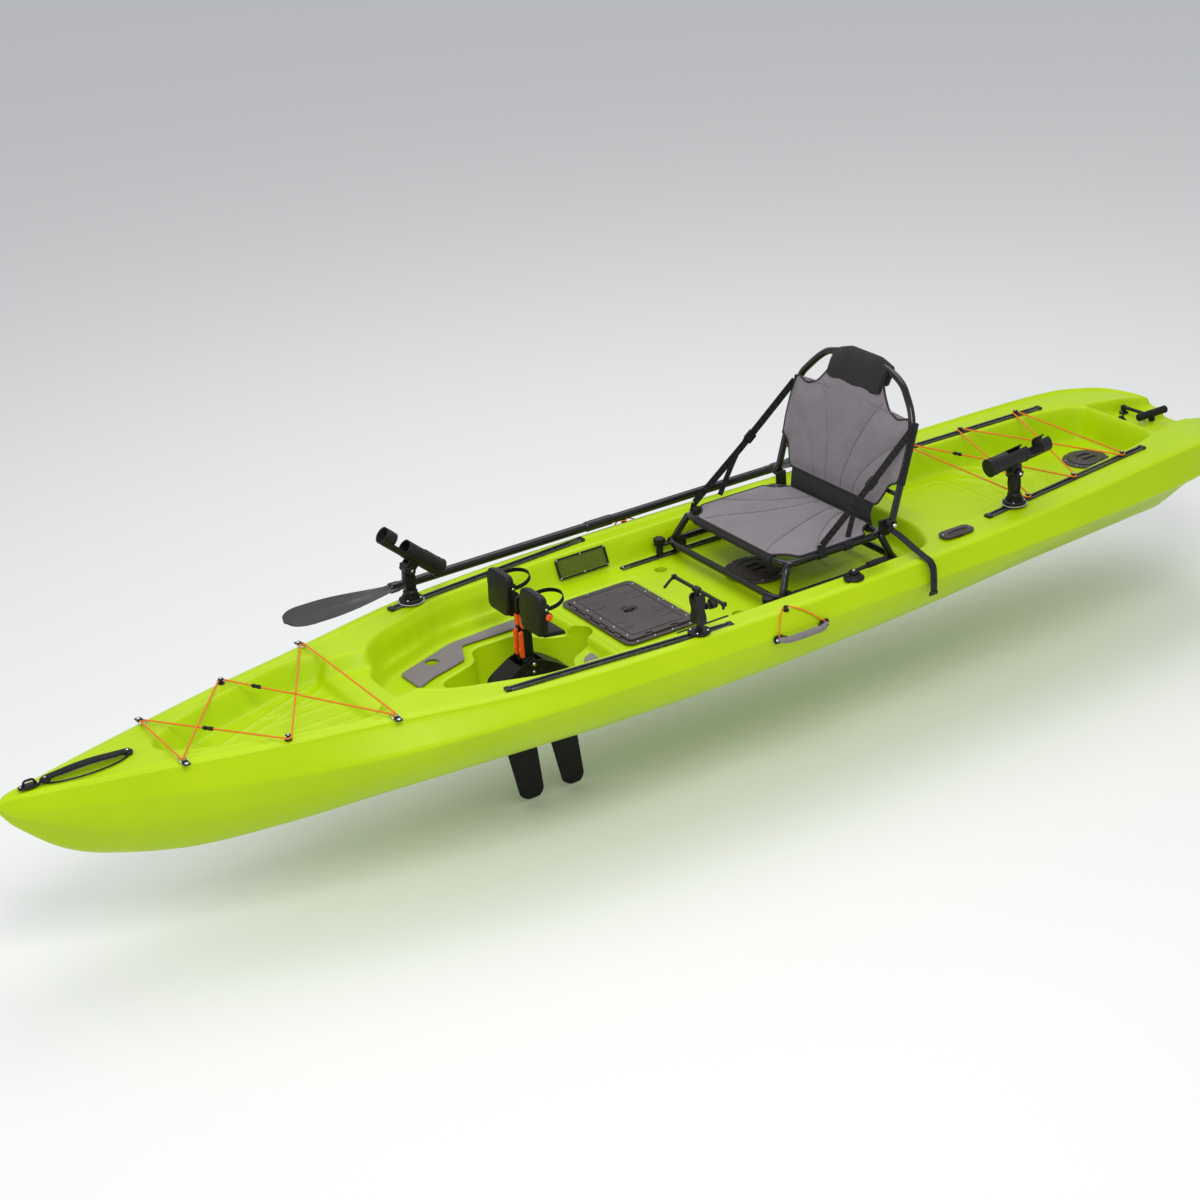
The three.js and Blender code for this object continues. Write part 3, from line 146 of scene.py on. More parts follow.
class Finish:
    # A material with object-space coordinates ready, and short calls for what the finishes share.
    def __init__(self, name, colour, rough, metal=0.0):
        self.mat = bpy.data.materials.new(name)
        self.mat.use_nodes = True
        self.nodes = self.mat.node_tree.nodes
        self.links = self.mat.node_tree.links
        self.shader = self.nodes["Principled BSDF"]
        self.shader.inputs["Base Color"].default_value = (*colour, 1)
        self.shader.inputs["Roughness"].default_value = rough
        self.shader.inputs["Metallic"].default_value = metal
        self.place = self.nodes.new("ShaderNodeTexCoord").outputs["Object"]
        self.height = None
        self.colour = colour

    def set(self, **values):
        for key, value in values.items():
            self.shader.inputs[key.replace("_", " ")].default_value = value
        return self

    def noise(self, scale, detail=3.0, rough=0.55, stretch=None):
        source = self.place
        if stretch:
            mapping = self.nodes.new("ShaderNodeMapping")
            mapping.inputs["Scale"].default_value = stretch
            self.links.new(source, mapping.inputs["Vector"])
            source = mapping.outputs["Vector"]
        node = self.nodes.new("ShaderNodeTexNoise")
        node.inputs["Scale"].default_value = scale
        node.inputs["Detail"].default_value = detail
        node.inputs["Roughness"].default_value = rough
        self.links.new(source, node.inputs["Vector"])
        return node.outputs["Fac"]

    def bands(self, scale, axis="X", turn=0.0, distort=0.0):
        mapping = self.nodes.new("ShaderNodeMapping")
        mapping.inputs["Rotation"].default_value = (0, 0, turn)
        self.links.new(self.place, mapping.inputs["Vector"])
        node = self.nodes.new("ShaderNodeTexWave")
        node.bands_direction = axis
        node.inputs["Scale"].default_value = scale
        node.inputs["Distortion"].default_value = distort
        self.links.new(mapping.outputs["Vector"], node.inputs["Vector"])
        return node.outputs["Fac"]

    def join(self, kind, a, b):
        node = self.nodes.new("ShaderNodeMath")
        node.operation = kind
        for socket, value in zip(node.inputs, (a, b)):
            if isinstance(value, (int, float)):
                socket.default_value = value
            else:
                self.links.new(value, socket)
        return node.outputs[0]

    def spread(self, fac, low, high, fromLow=0.3, fromHigh=0.7):
        node = self.nodes.new("ShaderNodeMapRange")
        for key, value in (
            ("From Min", fromLow), ("From Max", fromHigh), ("To Min", low), ("To Max", high)
        ):
            node.inputs[key].default_value = value
        self.links.new(fac, node.inputs["Value"])
        return node.outputs["Result"]

    def tint(self, fac, dark, light, fromLow=0.3, fromHigh=0.7):
        ramp = self.nodes.new("ShaderNodeValToRGB")
        ramp.color_ramp.elements[0].position = fromLow
        ramp.color_ramp.elements[0].color = (*dark, 1)
        ramp.color_ramp.elements[1].position = fromHigh
        ramp.color_ramp.elements[1].color = (*light, 1)
        self.links.new(fac, ramp.inputs["Fac"])
        self.links.new(ramp.outputs["Color"], self.shader.inputs["Base Color"])
        return self

    def tintBy(self, fac, amount, fromLow=0.3, fromHigh=0.7):
        dark = [c * (1 - amount) for c in self.colour]
        light = [min(1, c * (1 + amount)) for c in self.colour]
        return self.tint(fac, dark, light, fromLow, fromHigh)

    def roughBy(self, fac, low, high):
        self.links.new(self.spread(fac, low, high), self.shader.inputs["Roughness"])
        return self

    def bump(self, fac, depth, strength=1.0):
        node = self.nodes.new("ShaderNodeBump")
        node.inputs["Strength"].default_value = strength
        node.inputs["Distance"].default_value = depth
        self.links.new(fac, node.inputs["Height"])
        if self.height:
            self.links.new(self.height, node.inputs["Normal"])
        self.height = node.outputs["Normal"]
        self.links.new(self.height, self.shader.inputs["Normal"])
        return self

    def worn(self, fac, light, low, high):
        # Paler where raised edges rub: the mesh's own pointiness.
        shape = self.nodes.new("ShaderNodeNewGeometry").outputs["Pointiness"]
        edge = self.spread(shape, 0, 1, low, high)
        amount = self.join("MULTIPLY", edge, self.spread(fac, 0.2, 1.0))
        mix = self.nodes.new("ShaderNodeMix")
        mix.data_type = "RGBA"
        self.links.new(amount, mix.inputs["Factor"])
        base = self.shader.inputs["Base Color"]
        if base.links:
            self.links.new(base.links[0].from_socket, mix.inputs["A"])
        else:
            mix.inputs["A"].default_value = (*self.colour, 1)
        mix.inputs["B"].default_value = (*light, 1)
        self.links.new(mix.outputs["Result"], base)
        return self


# Each finish: base colour and roughness, then the noises (scale, detail) that vary it.
plainFinishes = {
    "limePolyethylene": {
        "colour": (0.425, 0.615, 0.0), "rough": 0.42,
        "sockets": {"Specular_IOR_Level": 0.2, "Coat_Weight": 0.03, "Coat_Roughness": 0.3},
        "tones": (3.2, 4, (0.4, 0.59, 0.0), (0.445, 0.64, 0.0)), "roughness": (26, 4, 0.32, 0.44),
        "bumps": [(420, 2, 0.00018, 0.5), (9, 2, 0.0012, 0.35)],
        "worn": (60, 3, (0.62, 0.8, 0.05), 0.53, 0.62),
    },
    "glassNylon": {
        "colour": (0.0085, 0.0078, 0.008), "rough": 0.38, "sockets": {"Specular_IOR_Level": 0.26},
        "vary": (40, 4, 0.35), "roughness": (90, 3, 0.34, 0.52), "bumps": [(900, 2, 0.00012, 0.6)],
        "worn": (160, 3, (0.026, 0.024, 0.024), 0.55, 0.68),
    },
    "hatchPlastic": {
        "colour": (0.046, 0.034, 0.037), "rough": 0.46, "vary": (18, 4, 0.16),
        "roughness": (70, 3, 0.4, 0.56), "bumps": [(700, 2, 0.00022, 0.7)],
        "worn": (120, 3, (0.13, 0.11, 0.115), 0.53, 0.63),
    },
    "anodisedRail": {
        "colour": (0.012, 0.012, 0.013), "rough": 0.34, "metal": 0.5,
        "roughness": (60, 3, 0.26, 0.42, (0.05, 6, 6)), "bumps": [(240, 2, 0.00006, 0.6, (0.02, 5, 5))],
        "worn": (120, 3, (0.3, 0.3, 0.31), 0.54, 0.66),
    },
    "railSlotMetal": {
        "colour": (0.48, 0.48, 0.5), "rough": 0.32, "metal": 1.0,
        "roughness": (80, 3, 0.24, 0.4, (0.04, 5, 5)), "bumps": [(300, 2, 0.00005, 0.6, (0.02, 5, 5))],
    },
    "stainlessSteel": {
        "colour": (0.66, 0.66, 0.67), "rough": 0.22, "metal": 1.0,
        "roughness": (120, 3, 0.16, 0.32), "bumps": [(600, 2, 0.00004, 0.5)],
    },
    "matteRubber": {
        "colour": (0.009, 0.008, 0.0085), "rough": 0.58, "sockets": {"Specular_IOR_Level": 0.24},
        "vary": (30, 4, 0.3), "roughness": (80, 3, 0.55, 0.72), "bumps": [(500, 3, 0.0002, 0.7)],
    },
    "foamSheet": {
        "colour": (0.175, 0.148, 0.162), "rough": 0.9,
        "sockets": {"Sheen_Weight": 0.25, "Sheen_Roughness": 0.5}, "vary": (220, 4, 0.2),
        "bumps": [(900, 3, 0.0005, 0.9), (8, 2, 0.002, 0.25)],
    },
    "glossTube": {
        "colour": (0.005, 0.005, 0.0055), "rough": 0.2,
        "sockets": {"Coat_Weight": 0.35, "Coat_Roughness": 0.08, "Specular_IOR_Level": 0.3},
        "roughness": (60, 3, 0.15, 0.28), "bumps": [(500, 2, 0.00006, 0.5)],
    },
    "orangePlastic": {
        "colour": (0.9, 0.1, 0.012), "rough": 0.4, "vary": (40, 3, 0.12),
        "roughness": (90, 3, 0.32, 0.48), "bumps": [(700, 2, 0.0001, 0.6)],
    },
    "paleWasher": {
        "colour": (0.42, 0.43, 0.44), "rough": 0.45,
        "roughness": (70, 3, 0.36, 0.52), "bumps": [(500, 2, 0.00012, 0.5)],
    },
    "meshNet": {
        "colour": (0.014, 0.016, 0.009), "rough": 0.7, "sockets": {"Sheen_Weight": 0.2},
        "bumps": [(700, 2, 0.0002, 0.6)],
    },
    "bladeNylon": {
        "colour": (0.008, 0.0078, 0.0085), "rough": 0.36,
        "sockets": {"Coat_Weight": 0.15, "Coat_Roughness": 0.25},
        "roughness": (18, 4, 0.3, 0.5), "bumps": [(800, 2, 0.0001, 0.5)],
    },
}


def plainFinish(name):
    s = plainFinishes[name]
    f = Finish(name, s["colour"], s["rough"], s.get("metal", 0.0))
    f.set(**s.get("sockets", {}))
    if "tones" in s:
        scale, detail, dark, light = s["tones"]
        f.tint(f.noise(scale, detail), dark, light)
    if "vary" in s:
        scale, detail, amount = s["vary"]
        f.tintBy(f.noise(scale, detail), amount)
    if "roughness" in s:
        scale, detail, low, high, *stretch = s["roughness"]
        f.roughBy(f.noise(scale, detail, stretch=stretch[0] if stretch else None), low, high)
    for scale, detail, depth, strength, *stretch in s["bumps"]:
        f.bump(f.noise(scale, detail, stretch=stretch[0] if stretch else None), depth, strength)
    if "worn" in s:
        scale, detail, light, low, high = s["worn"]
        f.worn(f.noise(scale, detail), light, low, high)
    return f.mat


def greyGrip():
    f = Finish("greyGrip", (0.2, 0.175, 0.19), 0.6)
    f.tintBy(f.noise(60, 4), 0.14)
    f.bump(f.bands(160, "X"), 0.0007, 0.8)
    return f.bump(f.noise(600, 2), 0.0002, 0.6).mat


def shockCord():
    f = Finish("shockCord", (1.0, 0.235, 0.002), 0.6)
    f.set(Sheen_Weight=0.05, Sheen_Roughness=0.4)
    weave = f.join("MULTIPLY", f.bands(330, "X", 0.7), f.bands(330, "X", -0.7))
    f.tint(weave, (0.86, 0.17, 0.001), (1.0, 0.31, 0.003), 0.1, 0.7)
    return f.bump(weave, 0.0006, 0.9).mat


def blackWebbing():
    f = Finish("blackWebbing", (0.012, 0.011, 0.0125), 0.75)
    f.set(Sheen_Weight=0.08, Sheen_Roughness=0.45, Specular_IOR_Level=0.3)
    weave = f.join("MULTIPLY", f.bands(260, "Y"), f.bands(260, "Z"))
    f.tintBy(weave, 0.5, 0.1, 0.7)
    return f.bump(weave, 0.0005, 0.9).mat


def seatCloth():
    f = Finish("seatCloth", (0.215, 0.18, 0.205), 0.86)
    f.set(Sheen_Weight=0.16, Sheen_Roughness=0.45)
    half = f.noise(520, 3)
    f.tint(f.join("MULTIPLY", half, f.spread(f.noise(14, 4), 0.82, 1.1)),
           (0.125, 0.108, 0.124), (0.25, 0.222, 0.25), 0.15, 0.85)
    f.bump(half, 0.0006, 0.7)
    return f.bump(f.noise(28, 2), 0.0008, 0.25).mat


def darkCloth():
    f = Finish("darkCloth", (0.012, 0.0105, 0.0118), 0.8)
    f.set(Sheen_Weight=0.07, Sheen_Roughness=0.5, Specular_IOR_Level=0.3)
    weave = f.join("MULTIPLY", f.bands(180, "Y", 0.78), f.bands(180, "Y", -0.78))
    f.tintBy(weave, 0.6, 0.05, 0.6)
    f.bump(weave, 0.0009, 0.9)
    return f.bump(f.noise(30, 3), 0.0012, 0.35).mat


def piping():
    f = Finish("piping", (0.016, 0.014, 0.016), 0.7)
    return f.bump(f.bands(400, "Z", 0.5), 0.0004, 0.8).mat


lime, nylon, hatchDark, rail, railMetal, steel, rubber, foam, tubePaint, orange, washer, netting, bladeFinish = (
    plainFinish(name) for name in plainFinishes
)
grip, cordOrange, webbing = greyGrip(), shockCord(), blackWebbing()
cloth, headCloth, pipe = seatCloth(), darkCloth(), piping()


# Shape tools
def xyz(x, y, z):
    return (x * mm, y * mm, z * mm)


def vec(x, y, z):
    return Vector(xyz(x, y, z))


def shift(x, y, z):
    return Matrix.Translation(vec(x, y, z))


def aim(way):
    # Turns +Z to the given direction.
    return Vector(way).to_track_quat("Z", "Y").to_matrix().to_4x4()


def scaled(points):
    return [(a * mm, b * mm) for a, b in points]


def skin(bm, rings, closed=False, capped=True):
    # Faces between rings of equally many points, and over the open ends.
    n = len(rings[0])
    pairs = list(zip(rings, rings[1:])) + ([(rings[-1], rings[0])] if closed else [])
    for a, b in pairs:
        for i in range(n):
            j = (i + 1) % n
            bm.faces.new((a[i], a[j], b[j], b[i]))
    if capped and not closed:
        bm.faces.new(rings[0][::-1])
        bm.faces.new(rings[-1])


def roundedOutline(corners, radius, grow=0.0, steps=5):
    pts = [Vector(c) for c in corners]
    n = len(pts)
    area = sum(pts[i].x * pts[(i + 1) % n].y - pts[(i + 1) % n].x * pts[i].y for i in range(n))
    sign = 1 if area > 0 else -1

    def normal(a, b):
        d = (b - a).normalized()
        return Vector((d.y * sign, -d.x * sign))

    moved = []
    for i, p in enumerate(pts):
        n1, n2 = normal(pts[i - 1], p), normal(p, pts[(i + 1) % n])
        moved.append(p + (n1 + n2) * (grow / (1 + n1.dot(n2))))
    out = []
    for i, p in enumerate(moved):
        before, after = moved[i - 1], moved[(i + 1) % n]
        start = p + (before - p).normalized() * min(radius + grow, (before - p).length * 0.46)
        end = p + (after - p).normalized() * min(radius + grow, (after - p).length * 0.46)
        for k in range(steps + 1):
            t = k / steps
            out.append(start * (1 - t) ** 2 + p * 2 * t * (1 - t) + end * t * t)
    return [tuple(v) for v in out]


def bentPath(points, bend, steps=7, step=0.03):
    # Straight runs with rounded bends.
    pts = [Vector(p) for p in points]
    path = [pts[0]]
    for i in range(1, len(pts) - 1):
        corner, nextOne, last = pts[i], pts[i + 1], path[-1]
        into = corner.lerp(last, min(0.49, bend / (corner - last).length))
        out = corner.lerp(nextOne, min(0.49, bend / (corner - nextOne).length))
        for k in range(steps + 1):
            t = k / steps
            path.append(into * (1 - t) ** 2 + corner * 2 * t * (1 - t) + out * t * t)
    path.append(pts[-1])
    return resample(path, step)


def resample(path, step):
    # Adds points on long straight runs, so that a sweep keeps an even skin.
    out = [path[0]]
    for a, b in zip(path, path[1:]):
        count = max(1, int((b - a).length / step))
        out += [a.lerp(b, (k + 1) / count) for k in range(count)]
    return out


def splinePath(points, steps=8):
    pts = [Vector(p) for p in points]
    out = []
    for i in range(len(pts) - 1):
        a, b = pts[i], pts[i + 1]
        before = pts[i - 1] if i else a * 2 - b
        after = pts[i + 2] if i + 2 < len(pts) else b * 2 - a
        for k in range(steps):
            t = k / steps
            out.append(0.5 * (
                2 * a + (b - before) * t + (2 * before - 5 * a + 4 * b - after) * t * t
                + (3 * a - before - 3 * b + after) * t ** 3
            ))
    out.append(pts[-1])
    return out


def sweepFrames(path, closed, hint=None):
    n = len(path)
    tangents = []
    for i in range(n):
        a = path[i - 1] if (i or closed) else path[0]
        b = path[(i + 1) % n] if (i + 1 < n or closed) else path[-1]
        tangents.append((b - a).normalized())
    side = hint or Vector((0, 0, 1))
    if abs(side.normalized().dot(tangents[0])) > 0.95:
        side = Vector((0, 1, 0))
    side = (side - tangents[0] * side.dot(tangents[0])).normalized()
    frames = []
    for t in tangents:
        side = side - t * side.dot(t)
        side.normalize()
        frames.append((t, side, t.cross(side)))
    return frames


def addSweep(bm, path, section, closed=False, hint=None, sizes=None):
    # A section of (u, v) points swept along the path; u along the hint, v across it.
    path = [Vector(p) for p in path]
    frames = sweepFrames(path, closed, hint)
    rings = []
    for i, (point, (_, up, across)) in enumerate(zip(path, frames)):
        k = sizes[i] if sizes else 1
        rings.append([bm.verts.new(point + up * (u * k) + across * (v * k)) for u, v in section])
    skin(bm, rings, closed)


def circle(radius, sides=14):
    return [
        (radius * math.cos(2 * math.pi * i / sides), radius * math.sin(2 * math.pi * i / sides))
        for i in range(sides)
    ]


def addTube(bm, path, radius, sides=14, closed=False, hint=None):
    # Round bar with softly rounded ends.
    path = [Vector(p) for p in path]
    sizes = None
    if not closed:
        first, last = (path[1] - path[0]).normalized(), (path[-1] - path[-2]).normalized()
        tip = radius * 0.28
        path = [path[0], path[0] + first * tip] + path[1:-1] + [path[-1] - last * tip, path[-1]]
        sizes = [0.72, 1] + [1] * (len(path) - 4) + [1, 0.72]
    addSweep(bm, path, circle(radius, sides), closed, hint, sizes)


def addStrap(bm, path, width, thick, hint):
    u, v = thick / 2, width / 2
    edge = thick * 0.4
    section = [(-u, -v + edge), (-u, v - edge), (0, v), (u, v - edge), (u, -v + edge), (0, -v)]
    addSweep(bm, path, section, False, hint)


def addLathe(bm, profile, centre=(0, 0, 0), sides=32, turn=None, soften=0.0):
    # Profile of (radius, height) from the axis or a closed ring, turned about +Z, then placed.
    matrix = Matrix.Translation(Vector(centre)) @ (turn or Matrix.Identity(4))
    points = softProfile(profile, soften) if soften else list(profile)
    rings = []
    for r, z in points:
        if r < 1e-6:
            rings.append([bm.verts.new(matrix @ Vector((0, 0, z)))])
        else:
            rings.append([
                bm.verts.new(matrix @ Vector((
                    r * math.cos(2 * math.pi * i / sides), r * math.sin(2 * math.pi * i / sides), z
                )))
                for i in range(sides)
            ])
    closed = points[0][0] > 1e-6 and points[-1][0] > 1e-6
    pairs = list(zip(rings, rings[1:])) + ([(rings[-1], rings[0])] if closed else [])
    for a, b in pairs:
        for i in range(sides):
            j = (i + 1) % sides
            if len(a) == 1 and len(b) == 1:
                continue
            if len(a) == 1:
                bm.faces.new((a[0], b[j], b[i]))
            elif len(b) == 1:
                bm.faces.new((a[i], a[j], b[0]))
            else:
                bm.faces.new((a[i], a[j], b[j], b[i]))


def softProfile(profile, soften):
    # Each corner off the axis gets a small round.
    out = []
    n = len(profile)
    closed = profile[0][0] > 1e-6 and profile[-1][0] > 1e-6
    for i, p in enumerate(profile):
        if not closed and i in (0, n - 1):
            out.append(p)
            continue
        here = Vector(p)
        a, b = Vector(profile[i - 1]), Vector(profile[(i + 1) % n])
        start = here + (a - here).normalized() * min(soften, (a - here).length * 0.45)
        end = here + (b - here).normalized() * min(soften, (b - here).length * 0.45)
        for k in range(4):
            t = k / 3
            out.append(tuple(start * (1 - t) ** 2 + here * 2 * t * (1 - t) + end * t * t))
    return out


def offsetRing(ring, inset):
    n = len(ring)
    pts = [Vector(p) for p in ring]
    area = sum(pts[i].x * pts[(i + 1) % n].y - pts[(i + 1) % n].x * pts[i].y for i in range(n))
    sign = 1 if area > 0 else -1
    out = []
    for i, p in enumerate(pts):
        d = pts[(i + 1) % n] - pts[i - 1]
        if d.length < 1e-9:
            out.append(p)
            continue
        d.normalize()
        out.append(p + Vector((-d.y * sign, d.x * sign)) * inset)
    return out


def addSlab(bm, ring, low, high, bevel=0.0, matrix=None, steps=3):
    # A flat outline given thickness along local Z, with rounded rims.
    matrix = matrix or Matrix.Identity(4)
    if bevel:
        levels = []
        for k in range(steps + 1):
            a = math.pi / 2 * k / steps
            levels.append((low + bevel * (1 - math.sin(a)), bevel * (1 - math.cos(a))))
        levels = levels[::-1]
        top = [(high - (z - low), inset) for z, inset in levels[::-1]]
        levels += top
    else:
        levels = [(low, 0), (high, 0)]
    rings = [
        [bm.verts.new(matrix @ Vector((p[0], p[1], z))) for p in offsetRing(ring, inset)]
        for z, inset in levels
    ]
    skin(bm, rings)


def addBlock(bm, low, high, radius=0.002, bevel=0.001, matrix=None):
    (x0, y0, z0), (x1, y1, z1) = low, high
    corners = [(x0, y0), (x1, y0), (x1, y1), (x0, y1)]
    addSlab(bm, roundedOutline(corners, radius, 0, 3), z0, z1, bevel, matrix)


def addBall(bm, centre, radius, squash=1.0, segments=20):
    matrix = Matrix.Translation(Vector(centre)) @ Matrix.Diagonal((1, 1, squash, 1))
    bmesh.ops.create_uvsphere(
        bm, u_segments=segments, v_segments=segments // 2, radius=radius, matrix=matrix
    )


def sidePlane(y):
    # Local X stays X, local Y becomes Z, and thickness runs along Y from y.
    return Matrix(((1, 0, 0, 0), (0, 0, 1, y), (0, 1, 0, 0), (0, 0, 0, 1)))


def addScrew(bm, centre, radius=0.0035, normal=(0, 0, 1)):
    # A pan head with a cross recess.
    turn = aim(normal)
    profile = [(0, 0), (radius, 0), (radius, radius * 0.3), (radius * 0.72, radius * 0.62)]
    profile += [(radius * 0.3, radius * 0.66), (radius * 0.22, radius * 0.4), (0, radius * 0.36)]
    addLathe(bm, profile, centre, 14, turn)


def pieceFrom(bm, name, body, material, stands=(), angle=38):
    bmesh.ops.remove_doubles(bm, verts=bm.verts, dist=1e-6)
    bmesh.ops.recalc_face_normals(bm, faces=bm.faces)
    mesh = bpy.data.meshes.new(name)
    bm.to_mesh(mesh)
    bm.free()
    piece = addObject(name, mesh)
    return dress(piece, body, material, stands, angle)


def makeScrews(name, body, spots, radius, normal=(0, 0, 1)):
    bm = bmesh.new()
    for spot in spots:
        addScrew(bm, spot, radius, normal)
    pieceFrom(bm, name, body, steel)


def dress(piece, body, material, stands=(), angle=38):
    mesh = piece.data
    mesh.materials.clear()
    mesh.materials.append(material)
    mesh.shade_smooth()
    mesh.set_sharp_from_angle(angle=math.radians(angle))
    if body:
        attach(piece, body)
    if stands:
        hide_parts(*stands)
    return piece




# Hull
print("hull")
hullSetup = {
    # x, then half-breadth and height of the deck edge, knuckle, bilge and keel, in mm
    "stations": [
        (2100, 5, 287, 7, 276, 5, 266, 3, 258), (2070, 22, 300, 27, 262, 17, 232, 6, 214),
        (1960, 56, 306, 66, 250, 40, 160, 10, 112), (1850, 92, 308, 104, 243, 62, 100, 12, 55),
        (1640, 155, 310, 172, 232, 102, 44, 16, 2), (1400, 226, 310, 252, 222, 170, 50, 24, 0),
        (1100, 300, 310, 345, 226, 245, 78, 40, 0), (750, 388, 310, 418, 240, 312, 98, 60, 0),
        (400, 426, 310, 442, 245, 358, 108, 70, 0), (0, 432, 310, 446, 245, 372, 112, 70, 0),
        (-400, 428, 310, 442, 245, 366, 120, 70, 0), (-800, 416, 312, 432, 242, 350, 134, 60, 0),
        (-1200, 398, 325, 418, 240, 322, 160, 40, 0), (-1600, 364, 338, 386, 240, 290, 176, 20, 0),
        (-1770, 342, 338, 358, 238, 276, 180, 14, 0), (-1850, 314, 334, 330, 236, 262, 184, 40, 60),
        (-1930, 270, 326, 284, 232, 226, 186, 60, 110),
        (-1985, 190, 314, 200, 230, 165, 194, 60, 150),
        (-2000, 150, 306, 160, 232, 140, 200, 50, 172),
    ],
    "cockpit": [(1010, 90), (900, 215), (640, 318), (200, 344), (-450, 342), (-680, 334), (-742, 215)],
    "footWell": [(985, 70), (900, 165), (660, 272), (345, 290)],
    "bowTray": [(1665, 30), (1560, 95), (1400, 160), (1180, 226), (1070, 215)],
    "saddle": [(1150, 150), (1060, 172), (930, 150)],
    "tankWell": [(-815, 195), (-880, 262), (-1150, 262), (-1620, 208), (-1740, 170)],
    "driveWell": [(795, 26), (650, 78), (622, 160), (455, 160), (425, 85), (312, 26)],
    "cockpitFloor": 228, "footFloor": 195, "trayFloor": 236, "saddleFloor": 262,
    "tankFloor": 226, "driveFloor": 78,
    "slot": (372, 668, 42),
    "scuppers": [(755, 150, 17), (-75, 205, 20), (-905, 170, 18)],
    "hatch": (71, 271, 164), "roundHatches": [(-285, 80), (-1610, 64)],
    "flushHolder": {"x": -790, "y": 330, "radius": 24.4, "depth": 215, "lean": 32},
    "rowStep": 6.0, "deckColumns": 76, "sideSteps": 6,
}


def lineAt(x):
    # The lines plan at x, by a smooth curve through the stations either side.
    rows = hullSetup["stations"]
    last = len(rows) - 1
    i = next((k for k, row in enumerate(rows) if row[0] <= x), last)
    i = min(max(i, 1), last)
    before, a, b, after = (rows[min(max(k, 0), last)] for k in (i - 2, i - 1, i, i + 1))
    t = (a[0] - x) / (a[0] - b[0])
    h = t * t * (3 - 2 * t)
    span = a[0] - b[0]
    out = [x]
    for k in range(1, 9):
        slopeA = (b[k] - before[k]) / max(before[0] - b[0], 1)
        slopeB = (after[k] - a[k]) / max(a[0] - after[0], 1)
        out.append(
            a[k] * (1 - h) + b[k] * h
            + slopeA * span * (t ** 3 - 2 * t * t + t) + slopeB * span * (t ** 3 - t * t)
        )
    return out


def deckHeight(x):
    return lineAt(x)[2]


def mirroredHalf(half):
    return half + [(x, -y) for x, y in reversed(half)]


def insideDistance(px, py, ring):
    # Signed distance of every point to a closed outline, positive inside.
    pts = np.array(ring, float)
    nearest = np.full(px.shape, 1e9)
    inside = np.zeros(px.shape, bool)
    for (ax, ay), (bx, by) in zip(pts, np.roll(pts, -1, axis=0)):
        dx, dy = bx - ax, by - ay
        lengthSq = dx * dx + dy * dy
        if lengthSq < 1e-9:
            continue
        t = np.clip(((px - ax) * dx + (py - ay) * dy) / lengthSq, 0, 1)
        nearest = np.minimum(nearest, np.hypot(px - ax - t * dx, py - ay - t * dy))
        if abs(by - ay) > 1e-9:
            crosses = ((ay > py) != (by > py)) & (px < (bx - ax) * (py - ay) / (by - ay) + ax)
            inside ^= crosses
    return np.where(inside, nearest, -nearest)


def softRamp(t, k=0.09):
    # Climbs from 0 to 1 between t = 0 and 1, with rounded ends.
    def soft(v):
        return k * np.logaddexp(0, v / k)

    return soft(t) - soft(t - 1)


def softMin(a, b, k=2.0):
    return -k * np.logaddexp(-a / k, -b / k)


def bumpAt(d, width):
    return np.exp(-(d / width) ** 2)


def edgeStep(d, width=4.0):
    return 0.5 + 0.5 * np.tanh(d / width)


